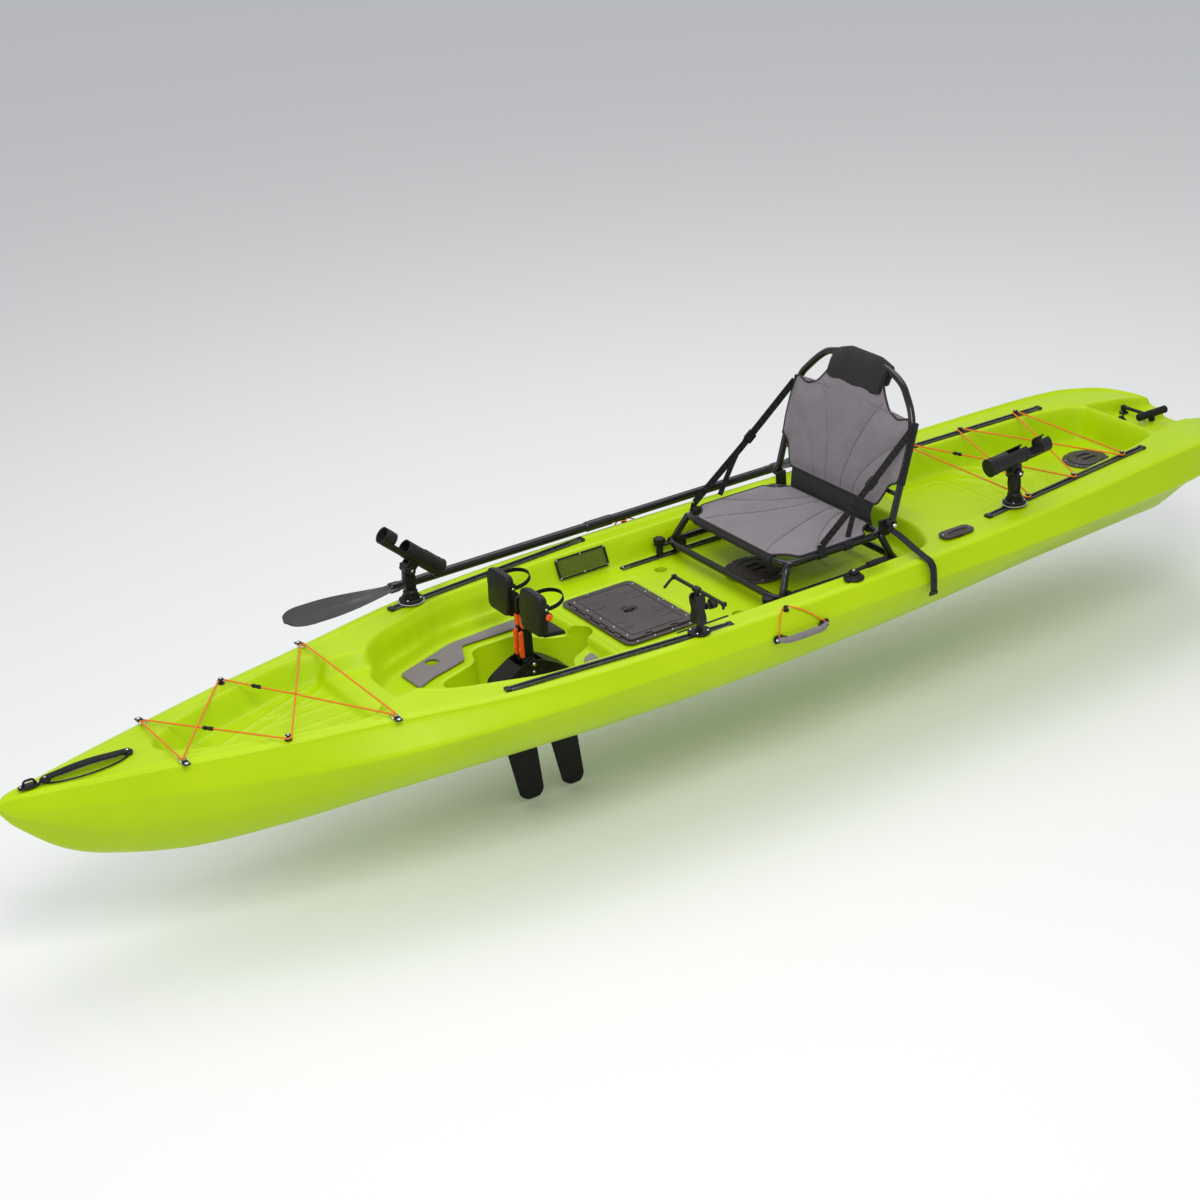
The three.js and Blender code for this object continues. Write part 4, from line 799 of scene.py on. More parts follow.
def deckSurface(px, py):
    # Height of the moulded deck, in mm, with every tray, well, ledge and rib.
    s = hullSetup
    sheer = np.interp(px[:, 0], deckTable[0], deckTable[1])[:, None] + np.zeros_like(px)
    half = np.interp(px[:, 0], deckTable[0], deckTable[2])[:, None]
    z = sheer.copy()

    def ringOf(key, radius):
        return roundedOutline(mirroredHalf(s[key]), radius, 0, 6)

    def sink(z, ring, floor, draft, ledge=None, k=0.09):
        d = insideDistance(px, py, ring)
        t = d / draft
        if ledge is not None:
            at, depth = ledge
            t = t - at * np.clip((softRamp((t - 0.3) / 0.34, 0.12)), 0, 1) * depth
            t = np.where(d > draft * 1.25, np.maximum(t, 1.2), t)
        return softMin(z, z - (z - floor) * softRamp(t, k), 1.2), d

    cockpit = ringOf("cockpit", 60)
    z, dCock = sink(z, cockpit, s["cockpitFloor"], 32)
    z, dFoot = sink(z, ringOf("footWell", 50), s["footFloor"], 14, k=0.14)
    z, dBow = sink(z, ringOf("bowTray", 40), s["trayFloor"], 34)
    z, dSaddle = sink(z, ringOf("saddle", 60), s["saddleFloor"], 30)
    z, dTank = sink(z, ringOf("tankWell", 40), s["tankFloor"], 26)
    ay = np.abs(py)
    onDeck = edgeStep(-np.maximum.reduce([dCock, dBow, dSaddle, dTank]) - 12, 4)

    # A rolled lip round each well, and a shallow gutter outside it.
    for d in (dCock, dBow, dTank):
        z += 2.2 * bumpAt(d + 7, 5) * edgeStep(-dSaddle - 14, 6)
    # Side decks fall a little to the gunwale.
    z -= 5.0 * np.clip((ay - (half - 70)) / 70, 0, 1) ** 2 * onDeck

    # Cockpit walls: two moulded steps that run along the sides.
    steps = edgeStep(px + 700, 30) * edgeStep(-40 - px, 12)
    steps += edgeStep(px - 330, 14) * edgeStep(860 - px, 30)
    z += 9 * bumpAt(dCock - 15, 5.5) * steps
    # Floor ribs under the seat and between the hatch and the rails.
    floorMask = edgeStep(dCock - 42, 4)
    for centre in (-135, 135):
        rib = bumpAt(py - centre, 7) * edgeStep(px + 640, 16) * edgeStep(-385 - px, 10)
        z += 3.0 * rib * floorMask
    for centre in (-560, -480):
        z += 2.4 * bumpAt(px - centre, 8) * floorMask * edgeStep(120 - ay, 8)
    # The raised land that frames the deck hatch.
    hatchGap = np.maximum(np.abs(px - 171) - 140, ay - 204)
    z -= 3.5 * bumpAt(hatchGap - 9, 6) * floorMask * edgeStep(hatchGap, 4)

    # Foot well: a raised rim round the drive's pocket and toe steps down each side.
    drive = roundedOutline(mirroredHalf(s["driveWell"]), 34, 0, 6)
    dDrive = insideDistance(px, py, drive)
    z += 4.0 * bumpAt(dDrive + 11, 6) * edgeStep(dFoot - 16, 4)
    for k in range(6):
        rest = bumpAt(px - (470 + 62 * k) - 0.35 * ay, 9)
        z += 5.5 * rest * bumpAt(dCock - 26, 13) * edgeStep(860 - px, 20)

    # Bow tray: lengthwise ridges that meet at a V forward, and a cross step.
    inTray = edgeStep(dBow - 36, 4)
    apex = px + 2.1 * ay
    z += 5.0 * bumpAt(apex - 1505, 13) * inTray
    z += 4.0 * bumpAt(apex - 1405, 12) * inTray * edgeStep(1380 - px, 20)
    for centre in (36, 82):
        z += 3.2 * bumpAt(ay - centre, 6) * inTray * edgeStep(1330 - px, 14) * edgeStep(px - 1090, 14)
    z += 2.4 * bumpAt(px - 1035, 26) * edgeStep(dSaddle - 30, 6)
    # The foredeck's centre rise and its two crease lines.
    fore = edgeStep(px - 1660, 20) * edgeStep(2060 - px, 12)
    z += fore * 3.0 * np.clip(1 - ay / np.maximum(half, 1), 0, 1)
    crease = np.abs(ay - 0.66 * half)
    z += 1.8 * bumpAt(crease, 6) * onDeck * edgeStep(px - 1080, 30)

    # Tank well: a raised platform with clipped corners, then V ribs aft of it.
    inTank = edgeStep(dTank - 30, 4)
    platform = np.maximum(np.abs(px + 1010) - 150, ay - 190)
    platform = np.maximum(platform, (np.abs(px + 1010) + ay) - 300)
    z += 9 * edgeStep(-platform, 3.2) * inTank
    z -= 2.5 * bumpAt(platform + 26, 5) * inTank
    for k in range(4):
        vee = px + 1235 + 62 * k - 0.62 * ay
        z += 7 * bumpAt(vee, 10) * inTank * edgeStep(ay - 16, 5) * edgeStep(-1205 - px, 10)
    # Round pads under the stern hatch.
    around = np.hypot(px + 1610, py)
    z = np.where(around < 92, z + (s["tankFloor"] - z) * edgeStep(86 - around, 3), z)

    # Stern: a shelf for the handle, and the notch below it.
    shelfHalf = np.interp(px, [-1965, -1755], [120, 165])
    dShelf = np.minimum(-1755 - px, shelfHalf - ay)
    z, _ = sink(z, [(-1755, 165), (-2060, 112), (-2060, -112), (-1755, -165)], 286, 9, k=0.16)
    z, _ = sink(z, [(-1900, 48), (-2060, 62), (-2060, -62), (-1900, -48)], 262, 9, k=0.16)
    z += 2.0 * bumpAt(dShelf + 8, 5) * edgeStep(dShelf + 40, 8)

    # Scoop under the bow handle.
    reach = ((px - 1852) / 112) ** 2 + (py / 38) ** 2
    scoop = 308 - 34 * np.sqrt(np.clip(1 - reach, 0, 1))
    z = np.where(reach < 1, np.minimum(z, scoop), z)
    return z, onDeck


def sideCurve(row, steps):
    # From the deck shoulder down to the keel's centre, with the knuckle kept as a crease.
    _, deckY, deckZ, kneeY, kneeZ, bilgeY, bilgeZ, keelY, keelZ = row
    keelZ = max(keelZ, 0)
    kneeZ = min(kneeZ, deckZ - 2)
    keelZ = min(keelZ, kneeZ - 3)
    bilgeZ = min(max(bilgeZ, keelZ + 1), kneeZ - 2)
    shoulder = min(24, deckY * 0.5)
    upper = [
        (deckY - shoulder, deckZ), (deckY - shoulder * 0.25, deckZ - shoulder * 0.22),
        (deckY, deckZ - shoulder * 0.8), (kneeY - 0.3, kneeZ + 2),
    ]
    lower = [
        (kneeY, kneeZ), ((kneeY + bilgeY) / 2 + (kneeZ - bilgeZ) * 0.1, (kneeZ + bilgeZ) / 2),
        (bilgeY, bilgeZ), ((bilgeY + keelY) / 2, keelZ + (bilgeZ - keelZ) * 0.3),
        (keelY, keelZ), (0, keelZ),
    ]
    first = splinePath([Vector((a, b, 0)) for a, b in upper], steps)
    second = splinePath([Vector((a, b, 0)) for a, b in lower], steps)
    return [(v.x, v.y) for v in first + second]


def hullRows():
    rows = hullSetup["stations"]
    step = hullSetup["rowStep"]
    xs = [rows[0][0]]
    for a, b in zip(rows, rows[1:]):
        count = max(1, round((a[0] - b[0]) / step))
        xs += [a[0] + (b[0] - a[0]) * (k + 1) / count for k in range(count)]
    return xs


def makeHull(setup):
    xs = hullRows()
    lines = [lineAt(x) for x in xs]
    columns = setup["deckColumns"]
    sides = [sideCurve(row, setup["sideSteps"]) for row in lines]
    inner = np.array([side[0][0] for side in sides])
    fraction = np.linspace(1, 0, columns + 1)
    px = np.repeat(np.array(xs)[:, None], columns + 1, axis=1)
    py = inner[:, None] * fraction[None, :]
    z, _ = deckSurface(px, py)
    # The rim of the deck meets the rolled gunwale exactly.
    tie = np.clip((1 - fraction) * inner[:, None] / 10, 0, 1)
    sheer = np.array([side[0][1] for side in sides])[:, None]
    z = sheer * (1 - tie) + z * tie
    verts = []
    for i, x in enumerate(xs):
        half = [(float(py[i, k]), float(z[i, k])) for k in range(columns, 0, -1)] + sides[i]
        ring = half + [(-a, b) for a, b in reversed(half[1:-1])]
        verts += [(x * mm, a * mm, b * mm) for a, b in ring]
    ringSize = len(verts) // len(xs)
    faces = []
    for i in range(len(xs) - 1):
        for j in range(ringSize):
            k = (j + 1) % ringSize
            a, b = i * ringSize, (i + 1) * ringSize
            faces.append((a + j, a + k, b + k, b + j))
    faces.append(tuple(range(ringSize))[::-1])
    faces.append(tuple((len(xs) - 1) * ringSize + j for j in range(ringSize)))
    mesh = bpy.data.meshes.new("hullShell")
    mesh.from_pydata(verts, [], faces)
    bm = bmesh.new()
    bm.from_mesh(mesh)
    bmesh.ops.recalc_face_normals(bm, faces=bm.faces)
    bm.to_mesh(mesh)
    bm.free()
    hull = addObject("hullShell", mesh)
    return hull


def flushTubeLine(side, extra):
    s = hullSetup["flushHolder"]
    lean = math.radians(s["lean"])
    down = Vector((math.sin(lean), -0.16 * side, -math.cos(lean)))
    mouth = Vector((s["x"], s["y"] * side, 310))
    return (mouth - down * 24) * mm, (mouth + down * (s["depth"] + extra)) * mm, down


def makeCutters(setup):
    first, second = bmesh.new(), bmesh.new()
    drive = [(x * mm, y * mm) for x, y in roundedOutline(mirroredHalf(setup["driveWell"]), 34, 0, 7)]
    floor, top = setup["driveFloor"] * mm, 0.3
    draft = []
    for z, inset in ((floor, 0.014), (floor + 0.004, 0.0095), (0.19, 0.0), (0.2, -0.004), (top, -0.004)):
        draft.append([first.verts.new((p.x, p.y, z)) for p in offsetRing(drive, inset)])
    skin(first, draft)
    x0, x1, y = (v * mm for v in setup["hatch"])
    addBlock(first, (x0, -y, 0.07), (x1, y, 0.3), 0.012, 0.004)
    for x, radius in setup["roundHatches"]:
        addLathe(first, [(0, 0.075), (radius * mm, 0.075), (radius * mm, 0.3), (0, 0.3)], (x * mm, 0, 0), 48)
    for side in (port, starboard):
        for x, y, radius in setup["scuppers"]:
            r = radius * mm
            profile = [(0, -0.05), (r, -0.05), (r, 0.3), (0, 0.3)]
            addLathe(first, profile, (x * mm, y * side * mm, 0), 32)
        top, foot, down = flushTubeLine(side, 0)
        turn = aim(down)
        r, length = setup["flushHolder"]["radius"] * mm, (foot - top).length
        addLathe(first, [(0, 0), (r, 0), (r, length), (0, length)], top, 28, turn)
    x0, x1, y = (v * mm for v in setup["slot"])
    addBlock(second, (x0, -y, -0.05), (x1, y, 0.1), 0.012, 0.0)
    return first, second


def applyCut(target, bm, name):
    bmesh.ops.recalc_face_normals(bm, faces=bm.faces)
    mesh = bpy.data.meshes.new(name)
    bm.to_mesh(mesh)
    bm.free()
    tool = addObject(name, mesh)
    change = target.modifiers.new(name, "BOOLEAN")
    change.operation = "DIFFERENCE"
    change.solver = "EXACT"
    change.object = tool
    bakeModifiers(target)
    bpy.data.objects.remove(tool)


def bakeModifiers(piece):
    graph = bpy.context.evaluated_depsgraph_get()
    graph.update()
    mesh = bpy.data.meshes.new_from_object(piece.evaluated_get(graph))
    old = piece.data
    piece.modifiers.clear()
    piece.data = mesh
    bpy.data.meshes.remove(old)


tableX = np.array(sorted(hullRows()))
deckTable = (
    tableX, np.array([lineAt(x)[2] for x in tableX]), np.array([lineAt(x)[1] for x in tableX])
)
hull = makeHull(hullSetup)
for number, tool in enumerate(makeCutters(hullSetup)):
    applyCut(hull, tool, f"hullCut{number}")
dress(hull, hullBody, lime, ["hull"], 50)
print("hull faces", len(hull.data.polygons))


# Small shared pieces
def dressNode(name, material, bevel=0.0009, angle=34):
    # A frame node shown as it is, with eased edges.
    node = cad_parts[name]
    node.data.materials.clear()
    node.data.materials.append(material)
    node.data.shade_smooth()
    node.data.set_sharp_from_angle(angle=math.radians(angle))
    if bevel:
        ease = node.modifiers.new("easedEdges", "BEVEL")
        ease.width = bevel
        ease.segments = 3
        ease.limit_method = "ANGLE"
        ease.angle_limit = math.radians(angle)
        ease.harden_normals = True
    return node


def addFrame(bm, ring, inset, low, high, bevel=0.0008, matrix=None):
    # A flat outline made into a ring of the given breadth.
    matrix = matrix or Matrix.Identity(4)
    profile = [(0, low), (0, high - bevel), (bevel, high)]
    profile += [(inset - bevel, high), (inset, high - bevel), (inset, low)]
    rings = [
        [bm.verts.new(matrix @ Vector((p.x, p.y, z))) for p in offsetRing(ring, into)]
        for into, z in profile
    ]
    skin(bm, rings, True)


def outlineOf(corners, radius, grow=0.0, steps=6):
    return scaled(roundedOutline(corners, radius, grow, steps))


# Tracks and rails
print("tracks and rails")
trackSetup = {
    "front": ((780, 336), (80, 398)), "rear": ((-935, 302), (-1625, 243)),
    "section": [
        (-11, -12), (0.8, -12), (1.4, -11.3), (1.4, -4.9), (0.9, -4.5), (-1.4, -4.5), (-1.4, -7.6),
        (-5, -7.6), (-5, 7.6), (-1.4, 7.6), (-1.4, 4.5), (0.9, 4.5), (1.4, 4.9), (1.4, 11.3),
        (0.8, 12), (-11, 12),
    ],
    "screwEvery": 0.115, "capLength": 0.012,
    "sternEyes": (0.25, 0.54, 0.86), "eyeSunk": 2,
}
railSetup = {"y": 285, "x0": -640, "x1": 15, "width": 22, "depth": 9, "slot": 8, "floor": 228}
eyeSetup = {"foot": 10, "neck": 4.5, "height": 15, "head": 8, "cord": 2.6}


def addButton(bm, x, y, z):
    s = eyeSetup
    top = z + s["height"]
    profile = [
        (0, z), (s["foot"], z), (s["foot"], z + 3), (s["neck"], z + 4.5), (s["neck"], top - 3.5),
        (s["head"], top - 2), (s["head"], top), (0, top),
    ]
    addLathe(bm, scaled(profile), (x * mm, y * mm, 0), 28, None, 0.0008)


def sternEyePlaces():
    (ax, ay), (bx, by) = trackSetup["rear"]
    places = []
    for t in trackSetup["sternEyes"]:
        x = ax + (bx - ax) * t
        places.append((x, ay + (by - ay) * t, deckHeight(x)))
    return places


def makeTrack(name, end, side):
    (ax, ay), (bx, by) = trackSetup[end]
    path = [vec(ax, ay * side, deckHeight(ax)), vec(bx, by * side, deckHeight(bx))]
    section = [(u * mm, v * mm) for u, v in trackSetup["section"]]
    bm = bmesh.new()
    addSweep(bm, resample(path, 0.03), section)
    pieceFrom(bm, f"{name}Rail", hullBody, rail, [name], 30)
    run = path[1] - path[0]
    ahead = run.normalized()
    bm = bmesh.new()
    for spot, way in ((path[0], -1), (path[1], 1)):
        cap = [spot - ahead * way * trackSetup["capLength"], spot + ahead * way * 0.002]
        addSweep(bm, cap, [(-0.011, -0.0125), (0.002, -0.0125), (0.002, 0.0125), (-0.011, 0.0125)])
    if end == "rear":
        for x, y, z in sternEyePlaces():
            addButton(bm, x, y * side, z - trackSetup["eyeSunk"])
    pieceFrom(bm, f"{name}Ends", hullBody, nylon, (), 30)
    bm = bmesh.new()
    count = int(run.length / trackSetup["screwEvery"])
    for k in range(count):
        spot = path[0] + run * ((k + 0.5) / count)
        addScrew(bm, spot + Vector((0, 0, -0.005)), 0.0034)
    if end == "rear":
        for x, y, z in sternEyePlaces():
            addScrew(bm, xyz(x, y * side, z + 13), 0.0036)
    pieceFrom(bm, f"{name}Screws", hullBody, steel)


def makeSeatRail(side):
    s = railSetup
    name = f"seat_rail_{sideNames[side]}"
    top, half, slot = 1.4, s["width"] / 2, s["slot"] / 2
    section = [
        (-s["depth"], -half), (0.8, -half), (top, -half + 0.6), (top, -slot - 0.4), (1, -slot),
        (-4, -slot), (-4, slot), (1, slot), (top, slot + 0.4), (top, half - 0.6), (0.8, half),
        (-s["depth"], half),
    ]
    ends = [vec(x, s["y"] * side, s["floor"]) for x in (s["x0"], s["x1"])]
    bm = bmesh.new()
    addSweep(bm, resample(ends, 0.03), scaled(section))
    pieceFrom(bm, f"{name}Bar", hullBody, rail, [name], 30)
    bm = bmesh.new()
    y = s["y"] * side * mm
    addBlock(bm, ((s["x0"] + 10) * mm, y - 0.0039, 0.2236), ((s["x1"] - 10) * mm, y + 0.0039, 0.2246))
    for k in range(17):
        x = (s["x0"] + 28 + k * 37) * mm
        addBlock(bm, (x, y - 0.0036, 0.2244), (x + 0.012, y + 0.0036, 0.2264), 0.001, 0.0005)
    pieceFrom(bm, f"{name}Slot", hullBody, railMetal)
    spots = [xyz(x, s["y"] * side, 229.3) for x in (s["x0"] + 5, s["x1"] - 5)]
    makeScrews(f"{name}Screws", hullBody, spots, 0.004)


for side in (port, starboard):
    for end in ("front", "rear"):
        makeTrack(f"track_{end}_{sideNames[side]}", end, side)
    makeSeatRail(side)


# Bow eyes and bungees
print("cords")
bowEyes = [(1640, 132), (1372, 214), (1092, 276)]
deckZ = 310
bungeeSetup = {"radius": 2.6, "sides": 12, "hump": 3.4, "humpWidth": 16, "samples": 46}


def neckCorner(x, y, z, side):
    reach = (eyeSetup["neck"] + eyeSetup["cord"] + 0.4) * 1.16 + 0.4
    high = z + eyeSetup["height"] / 2 + 0.5
    return [
        (x + reach * math.cos(a), (y + reach * math.sin(a)) * side, high)
        for a in (0.1, 0.8, 1.57, 2.34, 3.04)
    ]


def ringCorner(x, y, side):
    high = deckZ + 8.6
    return [
        (x + 5, (y + 1.5) * side, high), (x + 2.5, (y + 3) * side, deckZ + 5.2),
        (x, (y + 3.4) * side, deckZ + 4), (x - 2.5, (y + 3) * side, deckZ + 5.2),
        (x - 5, (y + 1.5) * side, high),
    ]


def humpedLoop(groups):
    # Legs run from one corner group to the next, and one rides over the other where two cross.
    legs = [(a[-1], b[0]) for a, b in zip(groups, groups[1:] + groups[:1])]
    crossings = [[] for _ in legs]
    for i, (a, b) in enumerate(legs):
        for j in range(i):
            c, d = legs[j]
            r = (b[0] - a[0], b[1] - a[1])
            q = (d[0] - c[0], d[1] - c[1])
            base = r[0] * q[1] - r[1] * q[0]
            if abs(base) < 1e-6:
                continue
            t = ((c[0] - a[0]) * q[1] - (c[1] - a[1]) * q[0]) / base
            u = ((c[0] - a[0]) * r[1] - (c[1] - a[1]) * r[0]) / base
            if 0.02 < t < 0.98 and 0.02 < u < 0.98:
                crossings[i].append((t, 1))
                crossings[j].append((u, -0.2))
    path = []
    for group, leg, meets in zip(groups, legs, crossings):
        path += [vec(*p) for p in group]
        a, b = Vector(leg[0]), Vector(leg[1])
        length = (b - a).length
        for k in range(1, bungeeSetup["samples"]):
            t = k / bungeeSetup["samples"]
            lift = sum(
                way * bungeeSetup["hump"] * math.exp(-((t - at) * length / bungeeSetup["humpWidth"]) ** 2)
                for at, way in meets
            )
            p = a.lerp(b, t)
            path.append(vec(p.x, p.y, p.z + lift))
    return path


def makeBungee(name, corner):
    order = [(0, starboard), (1, port), (2, starboard), (2, port), (1, starboard), (0, port)]
    groups = []
    for place, (i, side) in enumerate(order):
        group = corner(i, side)
        groups.append(group if place < 3 else group[::-1])
    bm = bmesh.new()
    s = bungeeSetup
    addTube(bm, humpedLoop(groups), s["radius"] * mm, s["sides"], True)
    pieceFrom(bm, f"{name}Cord", hullBody, cordOrange, [name], 60)
    return groups


def bowCorner(i, side):
    x, y = bowEyes[i]
    return neckCorner(x, y, deckZ + 0.4, side) if i == 1 else ringCorner(x, y, side)


def sternCorner(i, side):
    x, y, z = sternEyePlaces()[i]
    return neckCorner(x, y, z - trackSetup["eyeSunk"], side)


bowGroups = makeBungee("bow_bungee", bowCorner)
sternGroups = makeBungee("stern_bungee", sternCorner)


def makeRingEye(place, x, y, side):
    name = f"bow_eye_{place}_{sideNames[side]}"
    out, z = y + 14, deckZ + 0.4
    bm = bmesh.new()
    path = bentPath([
        xyz(x - 10, (out + 3) * side, z + 2.4), xyz(x - 10, (y - 7) * side, z + 2.4),
        xyz(x + 10, (y - 7) * side, z + 2.4), xyz(x + 10, (out + 3) * side, z + 2.4),
    ], 0.009, 8)
    addTube(bm, path, 0.0019, 12)
    addTube(bm, [xyz(x - 11, (out + 3) * side, z + 2.4), xyz(x + 11, (out + 3) * side, z + 2.4)], 0.0021, 12)
    pieceFrom(bm, f"{name}Ring", hullBody, steel, [name], 50)
    bm = bmesh.new()
    low, high = sorted((out * side, (out + 26) * side))
    addBlock(bm, xyz(x - 9.5, low, z - 0.3), xyz(x + 9.5, high, z + 2.2), 0.003, 0.0008)
    low, high = sorted(((out - 1) * side, (out + 8) * side))
    addBlock(bm, xyz(x - 8.5, low, z + 1), xyz(x + 8.5, high, z + 5.4), 0.002, 0.0016)
    pieceFrom(bm, f"{name}Tab", hullBody, webbing)
    bm = bmesh.new()
    addLathe(bm, [(0, 0), (0.0062, 0), (0.0062, 0.0008), (0, 0.0008)], xyz(x, (out + 17) * side, z + 2.2), 20)
    addScrew(bm, xyz(x, (out + 17) * side, z + 2.9), 0.0042)
    pieceFrom(bm, f"{name}Screw", hullBody, steel)


for side in (port, starboard):
    for place, (x, y) in zip(("front", "middle", "rear"), bowEyes):
        if place == "middle":
            bm = bmesh.new()
            addButton(bm, x, y * side, deckZ + 0.4)
            eyeName = f"bow_eye_middle_{sideNames[side]}"
            pieceFrom(bm, f"{eyeName}Button", hullBody, nylon, [eyeName], 30)
            bm = bmesh.new()
            addScrew(bm, xyz(x, y * side, deckZ + 15.2), 0.0036)
            pieceFrom(bm, f"{eyeName}Screw", hullBody, steel)
        else:
            makeRingEye(place, x, y, side)


# Clips on the cords: two black toggles forward and two aft.
def makeToggles(name, spots, material):
    bm = bmesh.new()
    for a, b, at in spots:
        a, b = vec(*a), vec(*b)
        way = (b - a).normalized()
        middle = a.lerp(b, at)
        turn = aim(way)
        profile = [(0, -0.016), (0.0044, -0.016), (0.0062, -0.008), (0.0048, 0)]
        profile += [(0.0062, 0.008), (0.0044, 0.016), (0, 0.016)]
        addLathe(bm, profile, middle, 20, turn, 0.001)
    pieceFrom(bm, name, hullBody, material, (), 50)


def legOf(groups, i):
    return groups[i][-1], groups[(i + 1) % 6][0]


makeToggles("bowToggles", [(*legOf(bowGroups, 0), 0.46), (*legOf(bowGroups, 3), 0.8)], nylon)
makeToggles("sternToggles", [(*legOf(sternGroups, 0), 0.3), (*legOf(sternGroups, 4), 0.72)], nylon)


# Bow fittings
print("bow fittings")
bowHandleSetup = {
    "path": [(1974, 315.5), (1950, 318), (1850, 323), (1754, 318), (1730, 317)],
    "width": 26, "thick": 9,
}


def makeBowHandle(setup):
    path = [vec(x, 0, z) for x, z in setup["path"]]
    path = resample(splinePath(path, 10), 0.006)
    total = len(path) - 1
    sizes = [0.72 + 0.28 * math.sin(math.pi * min(max(i / total, 0.02), 0.98)) ** 0.5 for i in range(total + 1)]
    half, thick = setup["width"] / 2 * mm, setup["thick"] / 2 * mm
    section = [
        (thick * math.copysign(abs(math.sin(a)) ** 0.7, math.sin(a)),
         half * math.copysign(abs(math.cos(a)) ** 0.6, math.cos(a)))
        for a in (2 * math.pi * k / 24 for k in range(24))
    ]
    bm = bmesh.new()
    addSweep(bm, path, section, False, Vector((0, 0, 1)), sizes)
    pieceFrom(bm, "bowHandleBar", hullBody, rubber, ["bow_handle"], 60)
    bm = bmesh.new()
    inner = [p + Vector((0, 0, -0.0046)) for p in path if 1.768 < p.x < 1.934]
    addSweep(bm, inner, [(u * 0.62, v * 0.9) for u, v in section], False, Vector((0, 0, 1)))
    pieceFrom(bm, "bowHandlePalm", hullBody, grip, (), 60)
    bm = bmesh.new()
    for x, z in ((1738, 316), (1966, 315)):
        addLathe(bm, [(0, 0), (0.015, 0), (0.015, 0.005), (0.011, 0.0075), (0, 0.0075)], xyz(x, 0, z - 5.5), 28)
    pieceFrom(bm, "bowHandleFeet", hullBody, nylon, (), 35)
    spots = [xyz(x, 0, z + 3.2) for x, z in ((1738, 316), (1966, 315))]
    makeScrews("bowHandleScrews", hullBody, spots, 0.0048)


def makeScoopRim():
    # A rolled black edge strip seated round the scoop's mouth.
    ring = []
    for k in range(64):
        a = 2 * math.pi * k / 64
        x, y = 1852 + 116 * math.cos(a), 40 * math.sin(a)
        ring.append(vec(x, y, deckHeight(x) + 0.6))
    bm = bmesh.new()
    addTube(bm, ring, 0.0026, 10, True)
    pieceFrom(bm, "bowScoopRim", hullBody, nylon, (), 60)


def makePadeye():
    outline = outlineOf([(2040, -9), (2010, -15), (1980, -9), (1980, 9), (2010, 15), (2040, 9)], 8)
    bm = bmesh.new()
    addSlab(bm, outline, 0.3065, 0.3122, 0.0014)
    arch = bentPath([xyz(2027, 0, 309), xyz(2024, 0, 326), xyz(1996, 0, 326), xyz(1993, 0, 309)], 0.009, 8)
    addTube(bm, arch, 0.0034, 16, False, Vector((0, 1, 0)))
    pieceFrom(bm, "bowPadeyeBody", hullBody, nylon, ["bow_padeye"], 40)
    spots = [xyz(x, 0, 312.2) for x in (1986, 2034)]
    makeScrews("bowPadeyeScrews", hullBody, spots, 0.0034)


makeBowHandle(bowHandleSetup)
makeScoopRim()
makePadeye()


# Foot pads
print("pads and hatches")
padSetup = {
    "corners": [
        (860, 30), (800, 62), (672, 104), (634, 190), (440, 190), (405, 116), (368, 96),
        (372, 214), (410, 246), (655, 226), (862, 142),
    ],
    "round": 12, "low": 195.2, "high": 199.5, "hole": (755, 150, 21),
}


def makeFootPad(side):
    s = padSetup
    outline = outlineOf([(x, y * side) for x, y in s["corners"]], s["round"])
    if side < 0:
        outline = outline[::-1]
    bm = bmesh.new()
    addSlab(bm, outline, s["low"] * mm, s["high"] * mm, 0.0012)
    name = f"foot_pad_{sideNames[side]}"
    pad = pieceFrom(bm, f"{name}Foam", None, foam)
    x, y, radius = s["hole"]
    tool = bmesh.new()
    r = radius * mm
    addLathe(tool, [(0, 0.18), (r, 0.18), (r, 0.22), (0, 0.22)], (x * mm, y * side * mm, 0), 40)
    applyCut(pad, tool, "padHole")
    dress(pad, hullBody, foam, [name])


for side in (port, starboard):
    makeFootPad(side)


# Deck hatch
hatchSetup = {
    "x0": 45, "x1": 297, "y": 190, "round": 30, "screws": 5, "screwHeight": 232.5,
}


